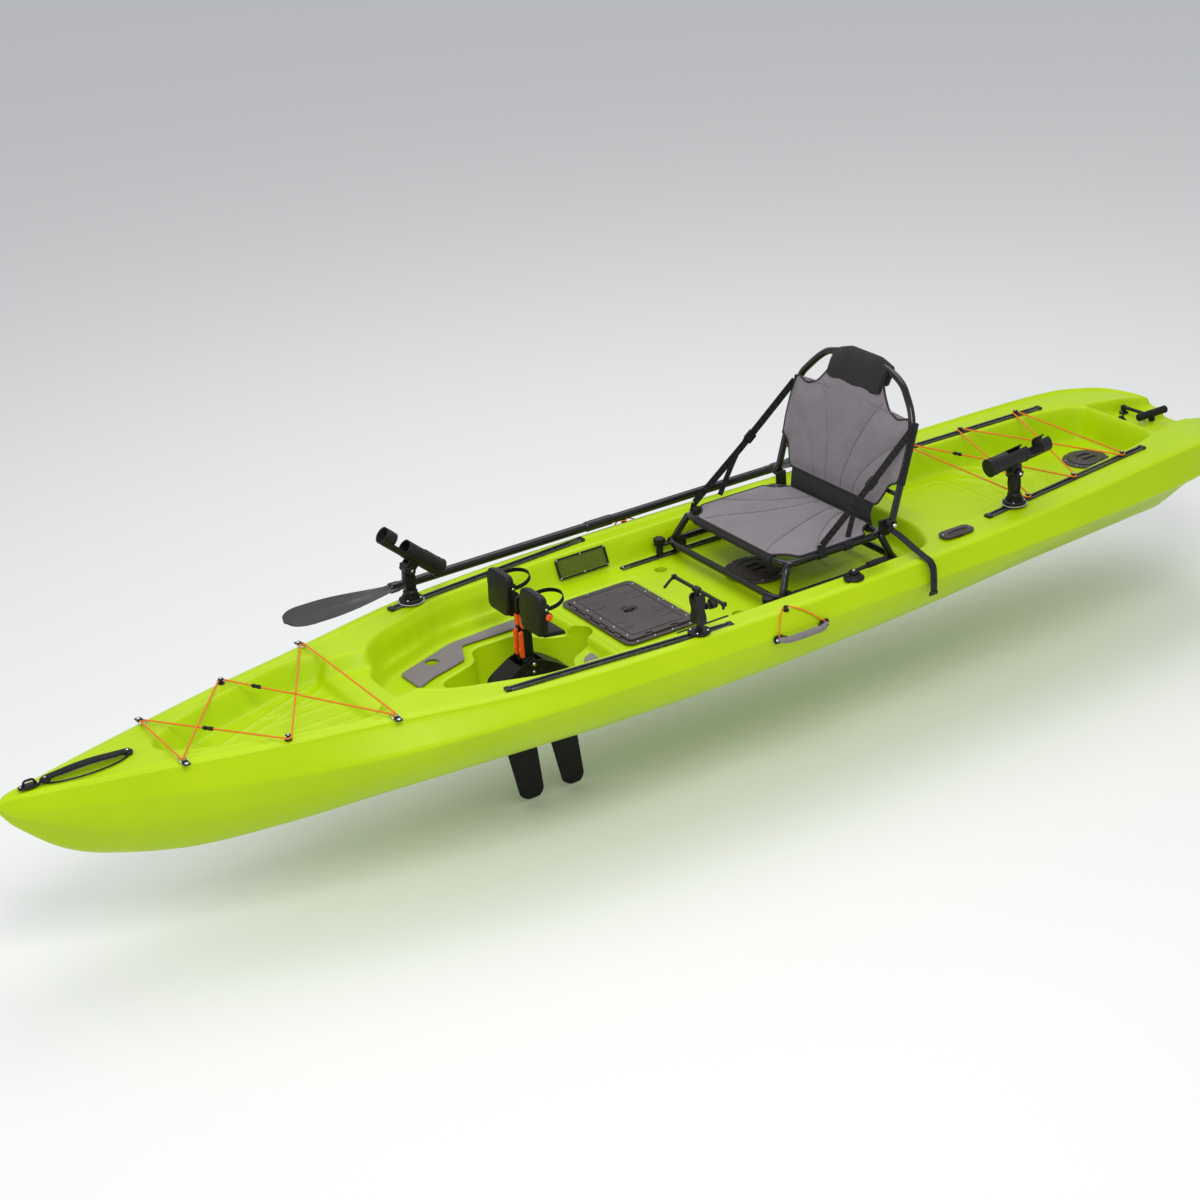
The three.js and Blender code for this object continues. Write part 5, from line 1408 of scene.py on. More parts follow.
def makeDeckHatch(s):
    x0, x1, y = s["x0"], s["x1"], s["y"]

    def inside(v):
        return [(x0 + v, -y + v), (x1 - v, -y + v), (x1 - v, y - v), (x0 + v, y - v)]

    bm = bmesh.new()
    addFrame(bm, outlineOf(inside(0), s["round"], 0, 8), 0.026, 0.2282, 0.2325, 0.001)
    addFrame(bm, outlineOf(inside(27), 8, 0, 8), 0.004, 0.214, 0.2335, 0.0008)
    for at in (-120, -40, 40, 120):
        addTube(bm, [xyz(x1 - 8, at - 14, 235), xyz(x1 - 8, at + 14, 235)], 0.0042, 18)
        addBlock(bm, xyz(x1 - 14, at - 14, 229), xyz(x1 - 3, at + 14, 235), 0.002, 0.001)
    pieceFrom(bm, "hatchFrameBody", hullBody, hatchDark, ["hatch_frame"], 35)
    bm = bmesh.new()
    for k in range(s["screws"]):
        at = -y + 34 + k * (2 * y - 68) / (s["screws"] - 1)
        addScrew(bm, xyz(x0 + 7, at, s["screwHeight"]), 0.003)
    for k in range(4):
        at = x0 + 36 + k * (x1 - x0 - 72) / 3
        for side in (port, starboard):
            addScrew(bm, xyz(at, (y - 7) * side, s["screwHeight"]), 0.003)
    pieceFrom(bm, "hatchFrameScrews", hullBody, steel)

    bm = bmesh.new()
    addSlab(bm, outlineOf(inside(14), 20, 0, 8), 0.2332, 0.2402, 0.0018)
    lid = pieceFrom(bm, "hatchLidSkin", None, hatchDark)
    tool = bmesh.new()
    addFrame(tool, outlineOf(inside(34), 16, 0, 8), 0.004, 0.2388, 0.245, 0.0004)
    applyCut(lid, tool, "lidGroove")
    tool = bmesh.new()
    profile = [(0, 0.2364), (0.023, 0.2364), (0.0255, 0.2405), (0.0255, 0.245), (0, 0.245)]
    addLathe(tool, profile, xyz(171, 0, 0), 40)
    applyCut(lid, tool, "lidBowl")
    tool = bmesh.new()
    for side in (port, starboard):
        low, high = sorted(((y - 13) * side, (y - 24) * side))
        for x in (x0 + 70, x1 - 94):
            addBlock(tool, xyz(x, low, 236.5), xyz(x + 24, high, 245), 0.003, 0)
    applyCut(lid, tool, "lidNotches")
    dress(lid, "deck_hatch_lid", hatchDark, ["hatch_lid"], 32)
    bm = bmesh.new()
    for at in (-80, 0, 80):
        addBlock(bm, xyz(x1 - 16, at - 20, 236.2), xyz(x1 - 9, at + 20, 238.4), 0.002, 0.0008)
        addTube(bm, [xyz(x1 - 11, at - 20, 237), xyz(x1 - 11, at + 20, 237)], 0.0022, 18)
    for at in (60, 100, -60, -100):
        for x in (x0 + 60, x1 - 60):
            addBlock(bm, xyz(x - 20, at - 3, 239.6), xyz(x + 20, at + 3, 241.4), 0.002, 0.0008)
    pieceFrom(bm, "hatchLidRibs", "deck_hatch_lid", hatchDark, (), 35)
    bm = bmesh.new()
    for k in range(5):
        at = -y + 46 + k * (2 * y - 92) / 4
        for x in (x0 + 22, x1 - 26):
            addScrew(bm, xyz(x, at, 240.1), 0.0028)
    pieceFrom(bm, "hatchLidScrews", "deck_hatch_lid", steel)
    bm = bmesh.new()
    profile = [(0, 0.2366), (0.0095, 0.2366), (0.0095, 0.2398), (0.008, 0.2412), (0, 0.2412)]
    addLathe(bm, profile, xyz(171, 0, 0), 30, None, 0.0005)
    addBlock(bm, xyz(153, -4.4, 237), xyz(189, 4.4, 241.8), 0.003, 0.0012)
    pieceFrom(bm, "hatchLatchBody", "deck_hatch_latch", nylon, ["hatch_latch"], 35)


makeDeckHatch(hatchSetup)


# Round hatches
roundHatchSetup = {
    "cockpit_hatch": {"x": -285, "radius": 98, "hole": 72, "z": 228, "body": "cockpit_hatch_cover"},
    "stern_hatch": {"x": -1610, "radius": 76, "hole": 56, "z": 226, "body": "stern_hatch_cover"},
}


def makeRoundHatch(name, s):
    x, hole, foot, radius = s["x"], s["hole"], s["z"] + 0.4, s["radius"]
    profile = [
        (hole + 3, foot - 16), (hole + 6, foot - 16), (hole + 6, foot), (radius, foot),
        (radius, foot + 2.4), (radius - 4, foot + 5), (hole + 3, foot + 5),
    ]
    bm = bmesh.new()
    addLathe(bm, scaled(profile), xyz(x, 0, 0), 72, None, 0.0008)
    pieceFrom(bm, f"{name}RingBody", hullBody, hatchDark, [f"{name}_ring"], 32)
    bm = bmesh.new()
    for k in range(8):
        a = 2 * math.pi * (k + 0.5) / 8
        r = (radius + hole) / 2 + 3
        addScrew(bm, xyz(x + r * math.cos(a), r * math.sin(a), foot + 4.7), 0.003)
    pieceFrom(bm, f"{name}Screws", hullBody, steel)
    lidTop = foot + 11
    profile = [
        (0, foot + 2), (hole + 2.2, foot + 2), (hole + 2.2, foot + 7.6), (hole - 2, foot + 9.6),
        (hole - 8, lidTop), (hole - 14, lidTop), (hole - 16, lidTop - 1.6), (hole - 20, lidTop - 1.6),
        (hole - 22, lidTop), (0, lidTop),
    ]
    bm = bmesh.new()
    addLathe(bm, scaled(profile), xyz(x, 0, 0), 72, None, 0.0006)
    lid = pieceFrom(bm, f"{name}LidBody", None, hatchDark)
    tool = bmesh.new()
    for way in (-1, 1):
        corners = [(x - 32, way * 7), (x + 32, way * 7), (x + 20, way * 26), (x - 20, way * 26)]
        ring = outlineOf(corners[::way], 7, 0, 6)
        addSlab(tool, ring, (foot + 6) * mm, (foot + 20) * mm, 0)
    applyCut(lid, tool, f"{name}Grips")
    dress(lid, s["body"], hatchDark, [f"{name}_lid"], 32)
    bm = bmesh.new()
    for k in range(40):
        turn = shift(x, 0, 0) @ Matrix.Rotation(2 * math.pi * k / 40, 4, "Z")
        low, high = xyz(hole + 0.8, -1.6, foot + 2.6), xyz(hole + 2.7, 1.6, foot + 7)
        addBlock(bm, low, high, 0.0005, 0.0004, turn)
    pieceFrom(bm, f"{name}Knurls", s["body"], hatchDark, (), 40)


for name, setup in roundHatchSetup.items():
    makeRoundHatch(name, setup)


# Mesh pockets
print("pockets and handles")
pocketSetup = {"centre": (132, 320.5, 269.5), "length": 178, "height": 66, "rim": 6, "across": 46}


def makeMeshPocket(side):
    s = pocketSetup
    cx, cy, cz = s["centre"]
    lean = math.atan2(36, 82)
    place = shift(cx, cy * side, cz) @ Matrix.Rotation(-side * lean, 4, "X")
    face = place @ sidePlane(0)
    a, b = s["length"] / 2, s["height"] / 2
    outline = outlineOf([(-a, -b), (a, -b), (a, b), (-a, b)], 9)
    name = f"mesh_pocket_{sideNames[side]}"
    bm = bmesh.new()
    low, high = (-0.0035, 0.002) if side > 0 else (-0.002, 0.0035)
    addFrame(bm, outline, s["rim"] * mm, low, high, 0.0008, face)
    pieceFrom(bm, f"{name}Frame", hullBody, nylon, [name], 35)
    bm = bmesh.new()
    a, b = a - 7, b - 7
    reach = a + b
    for k in range(s["across"]):
        at = -reach + 2 * reach * (k + 0.5) / s["across"]
        for way in (-1, 1):
            lo, hi = max(-a, at - b), min(a, at + b)
            if hi - lo > 2:
                ends = [place @ vec(u, 0.4 * way, way * (u - at)) for u in (lo, hi)]
                addTube(bm, ends, 0.00055, 6)
    pieceFrom(bm, f"{name}Net", hullBody, netting, (), 60)
    bm = bmesh.new()
    inward = place.to_3x3() @ Vector((0, -side, 0))
    a, b = s["length"] / 2 - 5, s["height"] / 2 - 5
    for u, v in ((-a, -b), (a, -b), (a, b), (-a, b), (0, -b), (0, b)):
        addScrew(bm, place @ vec(u, -side * 3.4, v), 0.0026, inward)
    pieceFrom(bm, f"{name}Screws", hullBody, steel)


# Side handles
sideHandleSetup = {"x0": -217, "x1": -26, "z": 240, "hook": (-90, 424, 311)}


def makeSideHandle(side):
    s = sideHandleSetup
    x0, x1, z = s["x0"], s["x1"], s["z"]
    wall = lineAt(-100)[3] + 2.2
    root, out = (wall + 4) * side, (wall + 26) * side
    name = f"side_handle_{sideNames[side]}"
    path = bentPath([
        xyz(x1 - 12, root, z), xyz(x1 - 30, out, z), xyz(x0 + 30, out, z), xyz(x0 + 12, root, z),
    ], 0.026, 8, 0.006)
    total = len(path) - 1
    sizes = [0.74 + 0.34 * math.sin(math.pi * i / total) ** 0.6 for i in range(total + 1)]
    bm = bmesh.new()
    addSweep(bm, path, circle(0.0094, 22), False, None, sizes)
    pieceFrom(bm, f"{name}Grip", hullBody, grip, [name], 60)
    bm = bmesh.new()
    for a, b in ((x1, x1 - 30), (x0, x0 + 30)):
        lo, hi = sorted((a, b))
        centre = vec((lo + hi) / 2, (wall - 1.5) * side, z)
        turn = Matrix.Translation(centre) @ Vector((0, side, 0)).to_track_quat("Z", "X").to_matrix().to_4x4()
        pad = outlineOf([(-12.5, -15.5), (12.5, -15.5), (12.5, 15.5), (-12.5, 15.5)], 9)
        addSlab(bm, pad, 0, 0.009, 0.003, turn)
        joint = [vec((a + b) / 2, (wall + 4) * side, z), vec(a + (b - a) * 1.25, (wall + 15) * side, z)]
        addTube(bm, joint, 0.0088, 16)
    pieceFrom(bm, f"{name}Feet", hullBody, nylon, (), 40)
    spots = [xyz(a, (wall + 7.4) * side, z) for a in (x1 - 7, x0 + 7)]
    makeScrews(f"{name}Screws", hullBody, spots, 0.004, (0, side, 0))
    hx, hy, hz = s["hook"]
    bm = bmesh.new()
    addLathe(bm, [(0, -0.001), (0.009, -0.001), (0.009, 0.003), (0.005, 0.005), (0.0048, 0.011),
                  (0.0075, 0.0135), (0, 0.0145)], xyz(hx, hy * side, hz - 5.5), 24, None, 0.0006)
    pieceFrom(bm, f"{name}Hook", hullBody, nylon, (), 35)
    bm = bmesh.new()
    edgeY = (wall + 2.5) * side
    route = [
        xyz(x1 - 14, (wall + 9) * side, z + 9), xyz(x1 - 20, edgeY, z + 24),
        xyz(-58, (wall - 9) * side, 290), xyz(hx + 20, (hy + 6) * side, hz + 1.6),
        xyz(hx, (hy - 7.4) * side, hz + 2.6),
        xyz(hx - 20, (hy + 6) * side, hz + 1.6), xyz(-150, (wall - 9) * side, 290),
        xyz(x0 + 34, edgeY, z + 24), xyz(x0 + 16, (wall + 9) * side, z + 9),
    ]
    addTube(bm, splinePath(route, 10), 0.0021, 12)
    pieceFrom(bm, f"{name}KeeperCord", hullBody, cordOrange, (), 60)


for side in (port, starboard):
    makeMeshPocket(side)
    makeSideHandle(side)


# Stern fittings
sternSetup = {"grip": (-1836, -1962, 312, 13.4), "post": -1899, "bar": -1880, "plug": (-1830, -70, 286.4)}


def makeSternFittings(s):
    a, b, z, radius = s["grip"]
    path = resample([vec(a, 0, z), vec(b, 0, z)], 0.004)
    total = len(path) - 1
    sizes = []
    for i in range(total + 1):
        t = i / total
        ridge = 0.035 * math.cos(t * math.pi * 26) if 0.12 < t < 0.88 else 0.02
        sizes.append((0.93 + ridge) * min(1, 0.7 + 12 * min(t, 1 - t)))
    bm = bmesh.new()
    addSweep(bm, path, circle(radius * mm, 28), False, None, sizes)
    pieceFrom(bm, "sternHandleGrip", hullBody, rubber, ["stern_handle"], 50)
    bm = bmesh.new()
    x = s["post"]
    addBlock(bm, xyz(x - 8, -9, 286.2), xyz(x + 8, 9, 304), 0.004, 0.0012)
    addTube(bm, [xyz(s["bar"], 0, z), xyz(s["bar"], -118, z - 4)], 0.006, 20)
    addBlock(bm, xyz(s["bar"] - 13, -124, 286.2), xyz(s["bar"] + 13, -100, 293), 0.006, 0.0016)
    addBlock(bm, xyz(s["bar"] - 8, -120, 290), xyz(s["bar"] + 8, -106, 314), 0.004, 0.0016)
    pieceFrom(bm, "sternHandleFeet", hullBody, nylon, (), 38)
    spots = [xyz(s["bar"] + dx, y, 293) for dx, y in ((-9, -112), (9, -112))]
    makeScrews("sternHandleScrews", hullBody, spots, 0.003)
    x, y, z = s["plug"]
    profile = [(0, z), (15, z), (15, z + 4), (9, z + 6), (9, z + 14), (0, z + 14)]
    bm = bmesh.new()
    addLathe(bm, scaled(profile), xyz(x, y, 0), 36, None, 0.001)
    addBlock(bm, xyz(x - 11, y - 2.4, z + 7), xyz(x + 11, y + 2.4, z + 15), 0.002, 0.001)
    pieceFrom(bm, "drainPlugBody", "drain_plug", nylon, ["stern_drain_plug"], 35)


# Flush rod holders, capped
def makeFlushHolder(side):
    x, y = -790, 330 * side
    z = lineAt(x - 58)[2] + 0.4
    name = f"flush_rod_holder_{sideNames[side]}"
    outline = outlineOf([(x + 58, y - 26), (x + 58, y + 26), (x - 58, y + 26), (x - 58, y - 26)], 26, 0, 10)
    bm = bmesh.new()
    addSlab(bm, outline, (z - 2.6) * mm, (z + 4.6) * mm, 0.0022)
    addSlab(bm, [tuple(p) for p in offsetRing(outline, 0.009)], (z + 2) * mm, (z + 6.4) * mm, 0.0016)
    cap = pieceFrom(bm, f"{name}Cap", None, hatchDark)
    tool = bmesh.new()
    arc = [vec(x - 34 + 68 * t, y + side * (6 - 22 * t * (1 - t)), z + 6.6) for t in
           (k / 14 for k in range(15))]
    addSweep(tool, arc, [(-0.0035, -0.0022), (0.004, -0.0022), (0.004, 0.0022), (-0.0035, 0.0022)])
    applyCut(cap, tool, f"{name}Slit")
    dress(cap, hullBody, hatchDark, [name], 35)
    spots = [xyz(x + dx, y, z + 4.4) for dx in (-50, 50)]
    makeScrews(f"{name}Screws", hullBody, spots, 0.003)


makeSternFittings(sternSetup)
for side in (port, starboard):
    makeFlushHolder(side)


# Seat
print("seat frame")
seatSetup = {
    "front": -160, "rear": -605, "half": 285, "lowZ": 266, "panFront": -212, "panRear": -565,
    "panHalf": 258, "panZ": 350, "tube": 11, "knobAhead": 34, "pivot": (-582, 385), "backHalf": 284,
    "lean": math.tan(math.radians(18)), "railTop": 229.6, "bend": 42,
}


def backX(z):
    x, pz = seatSetup["pivot"]
    return x - (z - pz) * seatSetup["lean"]


def loopPath(corners, bend, z, step=0.02):
    ring = outlineOf(corners, bend, 0, 9)
    pts = [Vector((x, y, z * mm)) for x, y in ring]
    return resample(pts + [pts[0]], step)[:-1]


def makeSeatBase(s):
    r = s["tube"] * mm
    front, rear, half = s["front"], s["rear"], s["half"]
    bm = bmesh.new()
    low = [(front, half), (rear, half), (rear, -half), (front, -half)]
    addTube(bm, loopPath(low, s["bend"], s["lowZ"]), r, 20, True)
    high = [(s["panFront"], s["panHalf"]), (s["panRear"], s["panHalf"])]
    high += [(x, -y) for x, y in reversed(high)]
    addTube(bm, loopPath(high, s["bend"] + 4, s["panZ"]), r, 20, True)
    for side in (port, starboard):
        out, into = half * side, s["panHalf"] * side
        addTube(bm, resample([vec(front - 16, out, s["lowZ"]),
                              vec(s["panFront"] - 8, into * 0.985, s["panZ"])], 0.02), r, 20)
        addTube(bm, resample([vec(rear + 18, out, s["lowZ"]),
                              vec(s["panRear"] + 4, into * 0.985, s["panZ"])], 0.02), r, 20)
    pieceFrom(bm, "seatBaseTubes", "seat_base", tubePaint, ["seat_base_frame"], 60)
    bm = bmesh.new()
    screws = bmesh.new()
    px, pz = s["pivot"]
    for side in (port, starboard):
        out, into = half * side, s["panHalf"] * side
        for x in (front - 40, rear + 40):
            addBlock(bm, xyz(x - 18, out - 14, s["railTop"]), xyz(x + 18, out + 14, 268), 0.005, 0.002)
            addBlock(bm, xyz(x - 11, out - 15.5, 254), xyz(x + 11, out + 15.5, 280), 0.005, 0.003)
        knobX = front + s["knobAhead"]
        addBlock(bm, xyz(front - 30, out - 14, 261), xyz(knobX + 14, out + 14, 267), 0.006, 0.0015)
        low, high = sorted((into - 5, into + 5))
        addBlock(bm, xyz(px - 10, low, s["panZ"] - 8), xyz(px + 26, high, pz + 8), 0.003, 0.0012)
        addTube(bm, [xyz(px, into, pz), xyz(px, (s["backHalf"] + 6) * side, pz)], 0.004, 16)
        for x in (front - 16, rear + 18):
            wrap = [vec(x - 14, out, s["lowZ"]), vec(x + 14, out, s["lowZ"])]
            addTube(bm, wrap, 0.0128, 20)
        addScrew(screws, xyz(px, (s["backHalf"] + 15) * side, pz), 0.007, (0, side, 0))
        for x in (front - 40, rear + 40):
            addScrew(screws, xyz(x, out + 15.2 * side, 268), 0.004, (0, side, 0))
    pieceFrom(bm, "seatBaseFeet", "seat_base", nylon, (), 40)
    pieceFrom(screws, "seatBaseScrews", "seat_base", steel)


def hoopPath():
    s = seatSetup
    sides = [(s["pivot"][0], s["backHalf"], s["pivot"][1]), (backX(470), s["backHalf"], 470),
             (backX(680), s["backHalf"], 680), (backX(775), 190, 775)]
    top = [(backX(802), 75, 802), (backX(802), -75, 802)]
    pts = sides + top + [(x, -y, z) for x, y, z in reversed(sides)]
    return bentPath([xyz(*p) for p in pts], 0.07, 8, 0.02)


def makeSeatBackFrame(s):
    r = s["tube"] * mm
    bm = bmesh.new()
    addTube(bm, hoopPath(), r, 20)
    addTube(bm, resample([vec(backX(470), -s["backHalf"], 470),
                          vec(backX(470), s["backHalf"], 470)], 0.03), 0.007, 16)
    pieceFrom(bm, "seatHoop", "seat_backrest", tubePaint, ["seat_back_frame"], 60)
    bm = bmesh.new()
    px, pz = s["pivot"]
    for side in (port, starboard):
        lo = s["backHalf"] * side - 9.5
        profile = [(0.0045, 0), (0.0142, 0), (0.0155, 0.002), (0.0155, 0.017), (0.0142, 0.019), (0.0045, 0.019)]
        spin = Matrix.Rotation(-math.pi / 2, 4, "X")
        addLathe(bm, profile, xyz(px, lo, pz), 36, spin)
    pieceFrom(bm, "seatBackBosses", "seat_backrest", nylon, (), 35)


def makeSeatKnob(side):
    s = seatSetup
    z = 229.4
    x = s["front"] + s["knobAhead"]
    sides = 48
    bm = bmesh.new()
    profile = [(0, z), (11, z), (11, z + 26), (7, z + 30), (7, z + 40)]
    addLathe(bm, scaled(profile) + [(0, (z + 40) * mm)], xyz(x, s["half"] * side, 0), 28, None, 0.001)
    ring = []
    for k in range(sides):
        a = 2 * math.pi * k / sides
        r = 17.6 + 1.4 * math.cos(a * 7)
        ring.append(((x + r * math.cos(a)) * mm, (s["half"] * side + r * math.sin(a)) * mm))
    addSlab(bm, ring, (z + 41) * mm, (z + 58) * mm, 0.003)
    name = f"seat_knob_{sideNames[side]}"
    pieceFrom(bm, f"{name}Body", f"{name}_turner", nylon, [name], 35)


makeSeatBase(seatSetup)
makeSeatBackFrame(seatSetup)
for side in (port, starboard):
    makeSeatKnob(side)


# Seat cushions
print("seat cushions")
cushionSetup = {
    "cell": 5.5, "rim": 2.2, "roll": 24, "seamWidth": 5.0, "seamDepth": 0.2,
    "pressure": 4.0, "frames": 14, "cap": 0.004,
}
backPad = {
    "profile": [
        (214, 424), (236, 462), (250, 494), (284, 508), (289, 560), (287, 630), (278, 668), (270, 690),
        (222, 674), (176, 690), (142, 728), (114, 776),
    ],
    "top": 776, "plump": 10, "behind": 5, "base": 13,
    "fan": ((38, 165, 1.9), (96, 470, 1.8)),
}
panPad = {
    "profile": [
        (196, 0), (206, 26), (232, 50), (256, 58), (258, 178), (256, 300), (228, 310), (204, 330), (192, 356),
    ],
    "top": 356, "plump": 9, "behind": 3, "base": 10,
    "fan": ((34, 130, 1.5), (80, 330, 1.6)),
}


def cushionOutline(s):
    low = s["profile"][0][1]
    half = s["profile"]
    ring = half + [(-y, z) for y, z in reversed(half)]
    return roundedOutline(ring, 14, 0, 5), low


def cushionHeights(u, v, s):
    # How far the cover stands off its rim at sideways place u and lengthways place v.
    ring, low = cushionOutline(s)
    d = np.maximum(insideDistance(u, v, ring), 0)
    t = cushionSetup
    swell = 1 - np.exp(-((d / t["roll"]) ** 1.4))
    rise = np.clip((v - low) / (s["top"] - low), 0, 1)
    seam = np.zeros_like(u)
    for start, reach, bow in s["fan"]:
        at = start + reach * rise**bow
        for side in (-1, 1):
            seam = np.maximum(seam, np.exp(-((u - side * at) / t["seamWidth"]) ** 2))
    edge = np.exp(-((d - 12) / t["seamWidth"]) ** 2)
    seam = np.maximum(seam * (d > 10), edge)
    return swell * (1 - t["seamDepth"] * seam), seam, d


def makeCushion(name, s, place, material):
    # place turns (sideways, lengthways, height off the rim) in mm into metres.
    ring, low = cushionOutline(s)
    ys = np.array([p[0] for p in ring])
    zs = np.array([p[1] for p in ring])
    rows = int((s["top"] - low) / cushionSetup["cell"])
    levels = np.linspace(low + 0.4, s["top"] - 0.4, rows)
    columns = 2 * int(s["profile"][1][0] / cushionSetup["cell"])
    halves = []
    pts = list(zip(ys, zs))
    for z in levels:
        reach = 0
        for (ay, az), (by, bz) in zip(pts, pts[1:] + pts[:1]):
            if (az - z) * (bz - z) <= 0 and abs(az - bz) > 1e-9:
                reach = max(reach, ay + (by - ay) * (z - az) / (bz - az))
        halves.append(reach)
    share = np.linspace(-1, 1, columns)
    u = np.array(halves)[:, None] * share[None, :]
    v = np.repeat(levels[:, None], columns, axis=1)
    rise, seam, d = cushionHeights(u, v, s)
    rim = cushionSetup["rim"]
    front = s["base"] + rim / 2 + s["plump"] * rise
    back = s["base"] - rim / 2 - s["behind"] * rise
    bm = bmesh.new()
    sheets = []
    weights = []
    for height in (front, back):
        sheet = [[bm.verts.new(place(u[i, j], v[i, j], height[i, j])) for j in range(columns)] for i in range(rows)]
        sheets.append(sheet)
        weights += [float(max(seam[i, j] > 0.35, d[i, j] < 6,
            height is back)) for i in range(rows) for j in range(columns)]
    for index, sheet in enumerate(sheets):
        for i in range(rows - 1):
            for j in range(columns - 1):
                face = (sheet[i][j], sheet[i][j + 1], sheet[i + 1][j + 1], sheet[i + 1][j])
                bm.faces.new(face if index == 0 else face[::-1])
    edge = [(0, j) for j in range(columns)] + [(i, columns - 1) for i in range(1, rows)]
    edge += [(rows - 1, j) for j in range(columns - 2, -1, -1)] + [(i, 0) for i in range(rows - 2, 0, -1)]
    for (i0, j0), (i1, j1) in zip(edge, edge[1:] + edge[:1]):
        a, b = sheets[0][i0][j0], sheets[0][i1][j1]
        c, e = sheets[1][i1][j1], sheets[1][i0][j0]
        bm.faces.new((a, e, c, b))
    bmesh.ops.recalc_face_normals(bm, faces=bm.faces)
    mesh = bpy.data.meshes.new(name)
    bm.to_mesh(mesh)
    bm.free()
    piece = addObject(name, mesh)
    held = piece.vertex_groups.new(name="held")
    for index, weight in enumerate(weights):
        held.add([index], weight, "REPLACE")
    mesh.materials.append(material)
    swellCushion(piece)
    return piece


def swellCushion(piece):
    # A short cloth run: air inside lifts the panels between the stitched seams.
    t = cushionSetup
    before = np.array([v.co[:] for v in piece.data.vertices])
    run = piece.modifiers.new("swell", "CLOTH")
    run.settings.quality = 4
    run.settings.mass = 0.25
    run.settings.tension_stiffness = 18
    run.settings.compression_stiffness = 12
    run.settings.bending_stiffness = 0.4
    run.settings.vertex_group_mass = "held"
    run.settings.shrink_min = -0.006
    run.settings.use_pressure = True
    run.settings.uniform_pressure_force = t["pressure"]
    run.settings.effector_weights.gravity = 0
    run.collision_settings.use_collision = False
    run.collision_settings.use_self_collision = False
    run.point_cache.frame_start = 1
    run.point_cache.frame_end = t["frames"]
    scene = bpy.context.scene
    for frameNumber in range(1, t["frames"] + 1):
        scene.frame_set(frameNumber)
    graph = bpy.context.evaluated_depsgraph_get()
    swollen = piece.evaluated_get(graph)
    after = np.array([v.co[:] for v in swollen.data.vertices])
    move = after - before
    length = np.linalg.norm(move, axis=1, keepdims=True)
    move *= np.minimum(1, t["cap"] / np.maximum(length, 1e-9))
    piece.modifiers.clear()
    scene.frame_set(1)
    piece.data.vertices.foreach_set("co", (before + move).ravel())
    piece.data.update()


def onBack(u, v, height):
    return Vector(((backX(v) + height) * mm, u * mm, v * mm))


def onPan(u, v, height):
    s = seatSetup
    x = s["panFront"] + 4 - (356 - v)
    sag = 5 * math.cos(u / 254 * 1.5) * math.cos((v - 178) / 178 * 1.5)
    return Vector((x * mm, u * mm, (s["panZ"] + 4 - sag + height) * mm))


def seamTubes(name, s, place, body):
    # Dark piping along the rim, and cord-thin stitching ridges beside each seam.
    ring, low = cushionOutline(s)
    bm = bmesh.new()
    path = [place(y, z, s["base"]) for y, z in ring]
    addTube(bm, resample(path + [path[0]], 0.012)[:-1], 0.0034, 12, True)
    pieceFrom(bm, name, body, pipe, (), 60)
    bm = bmesh.new()
    for start, reach, bow in s["fan"]:
        for side in (-1, 1):
            path = []
            for n in range(44):
                rise = 0.03 + 0.94 * n / 43
                at = start + reach * rise**bow
                v = low + rise * (s["top"] - low)
                u = np.array([[side * at]])
                heights, _, d = cushionHeights(u, np.array([[v]]), s)
                if d[0, 0] > 9:
                    top = s["base"] + cushionSetup["rim"] / 2 + s["plump"] * heights[0, 0]
                    path.append(place(side * at, v, top + 1.4))
            if len(path) > 3:
                addTube(bm, path, 0.0022, 10)
    pieceFrom(bm, f"{name}Seams", body, cloth, (), 60)


backCushion = makeCushion("seatBackCover", backPad, onBack, cloth)
dress(backCushion, "seat_backrest", cloth, ["seat_back"], 55)
seamTubes("seatBackPiping", backPad, onBack, "seat_backrest")
panCushion = makeCushion("seatPanCover", panPad, onPan, cloth)
dress(panCushion, "seat_base", cloth, ["seat_pan"], 55)
seamTubes("seatPanPiping", panPad, onPan, "seat_base")


# Seat sleeves, head pad and lower panel
def makeHeadPad():
    bm = bmesh.new()
    outline = [
        (26, 716), (30, 745), (29, 775), (24, 803), (8, 817), (-10, 816), (-17, 802), (-16, 772), (-13, 742),
        (-2, 738), (2, 770), (2, 784), (12, 784), (14, 765), (14, 735), (16, 716),
    ]
    rows = 25
    rings = []
    for i in range(rows):
        y = -128 + 256 * i / (rows - 1)
        drop = max(0, abs(y) - 72) * 0.3
        hang = 17 * math.cos(y / 128 * math.pi / 2) - 12
        pinch = 1 - 0.12 * (abs(y) / 128) ** 8
        ripple = 0.8 * math.sin(y * 0.31) + 0.5 * math.sin(y * 0.73 + 1)
        ring = []
        for off, z in outline:
            lift = (z - 716) / 100
            ring.append(bm.verts.new(vec(backX(z) + off * pinch + ripple * (1 - lift) * 0.12, y,
                z - drop * lift - hang * (1 - lift))))
        rings.append(ring)
    skin(bm, rings)
    pad = pieceFrom(bm, "seatHeadPad", "seat_backrest", headCloth, (), 70)
    soften = pad.modifiers.new("softEdges", "BEVEL")
    soften.width = 0.003
    soften.segments = 3
    soften.angle_limit = math.radians(40)


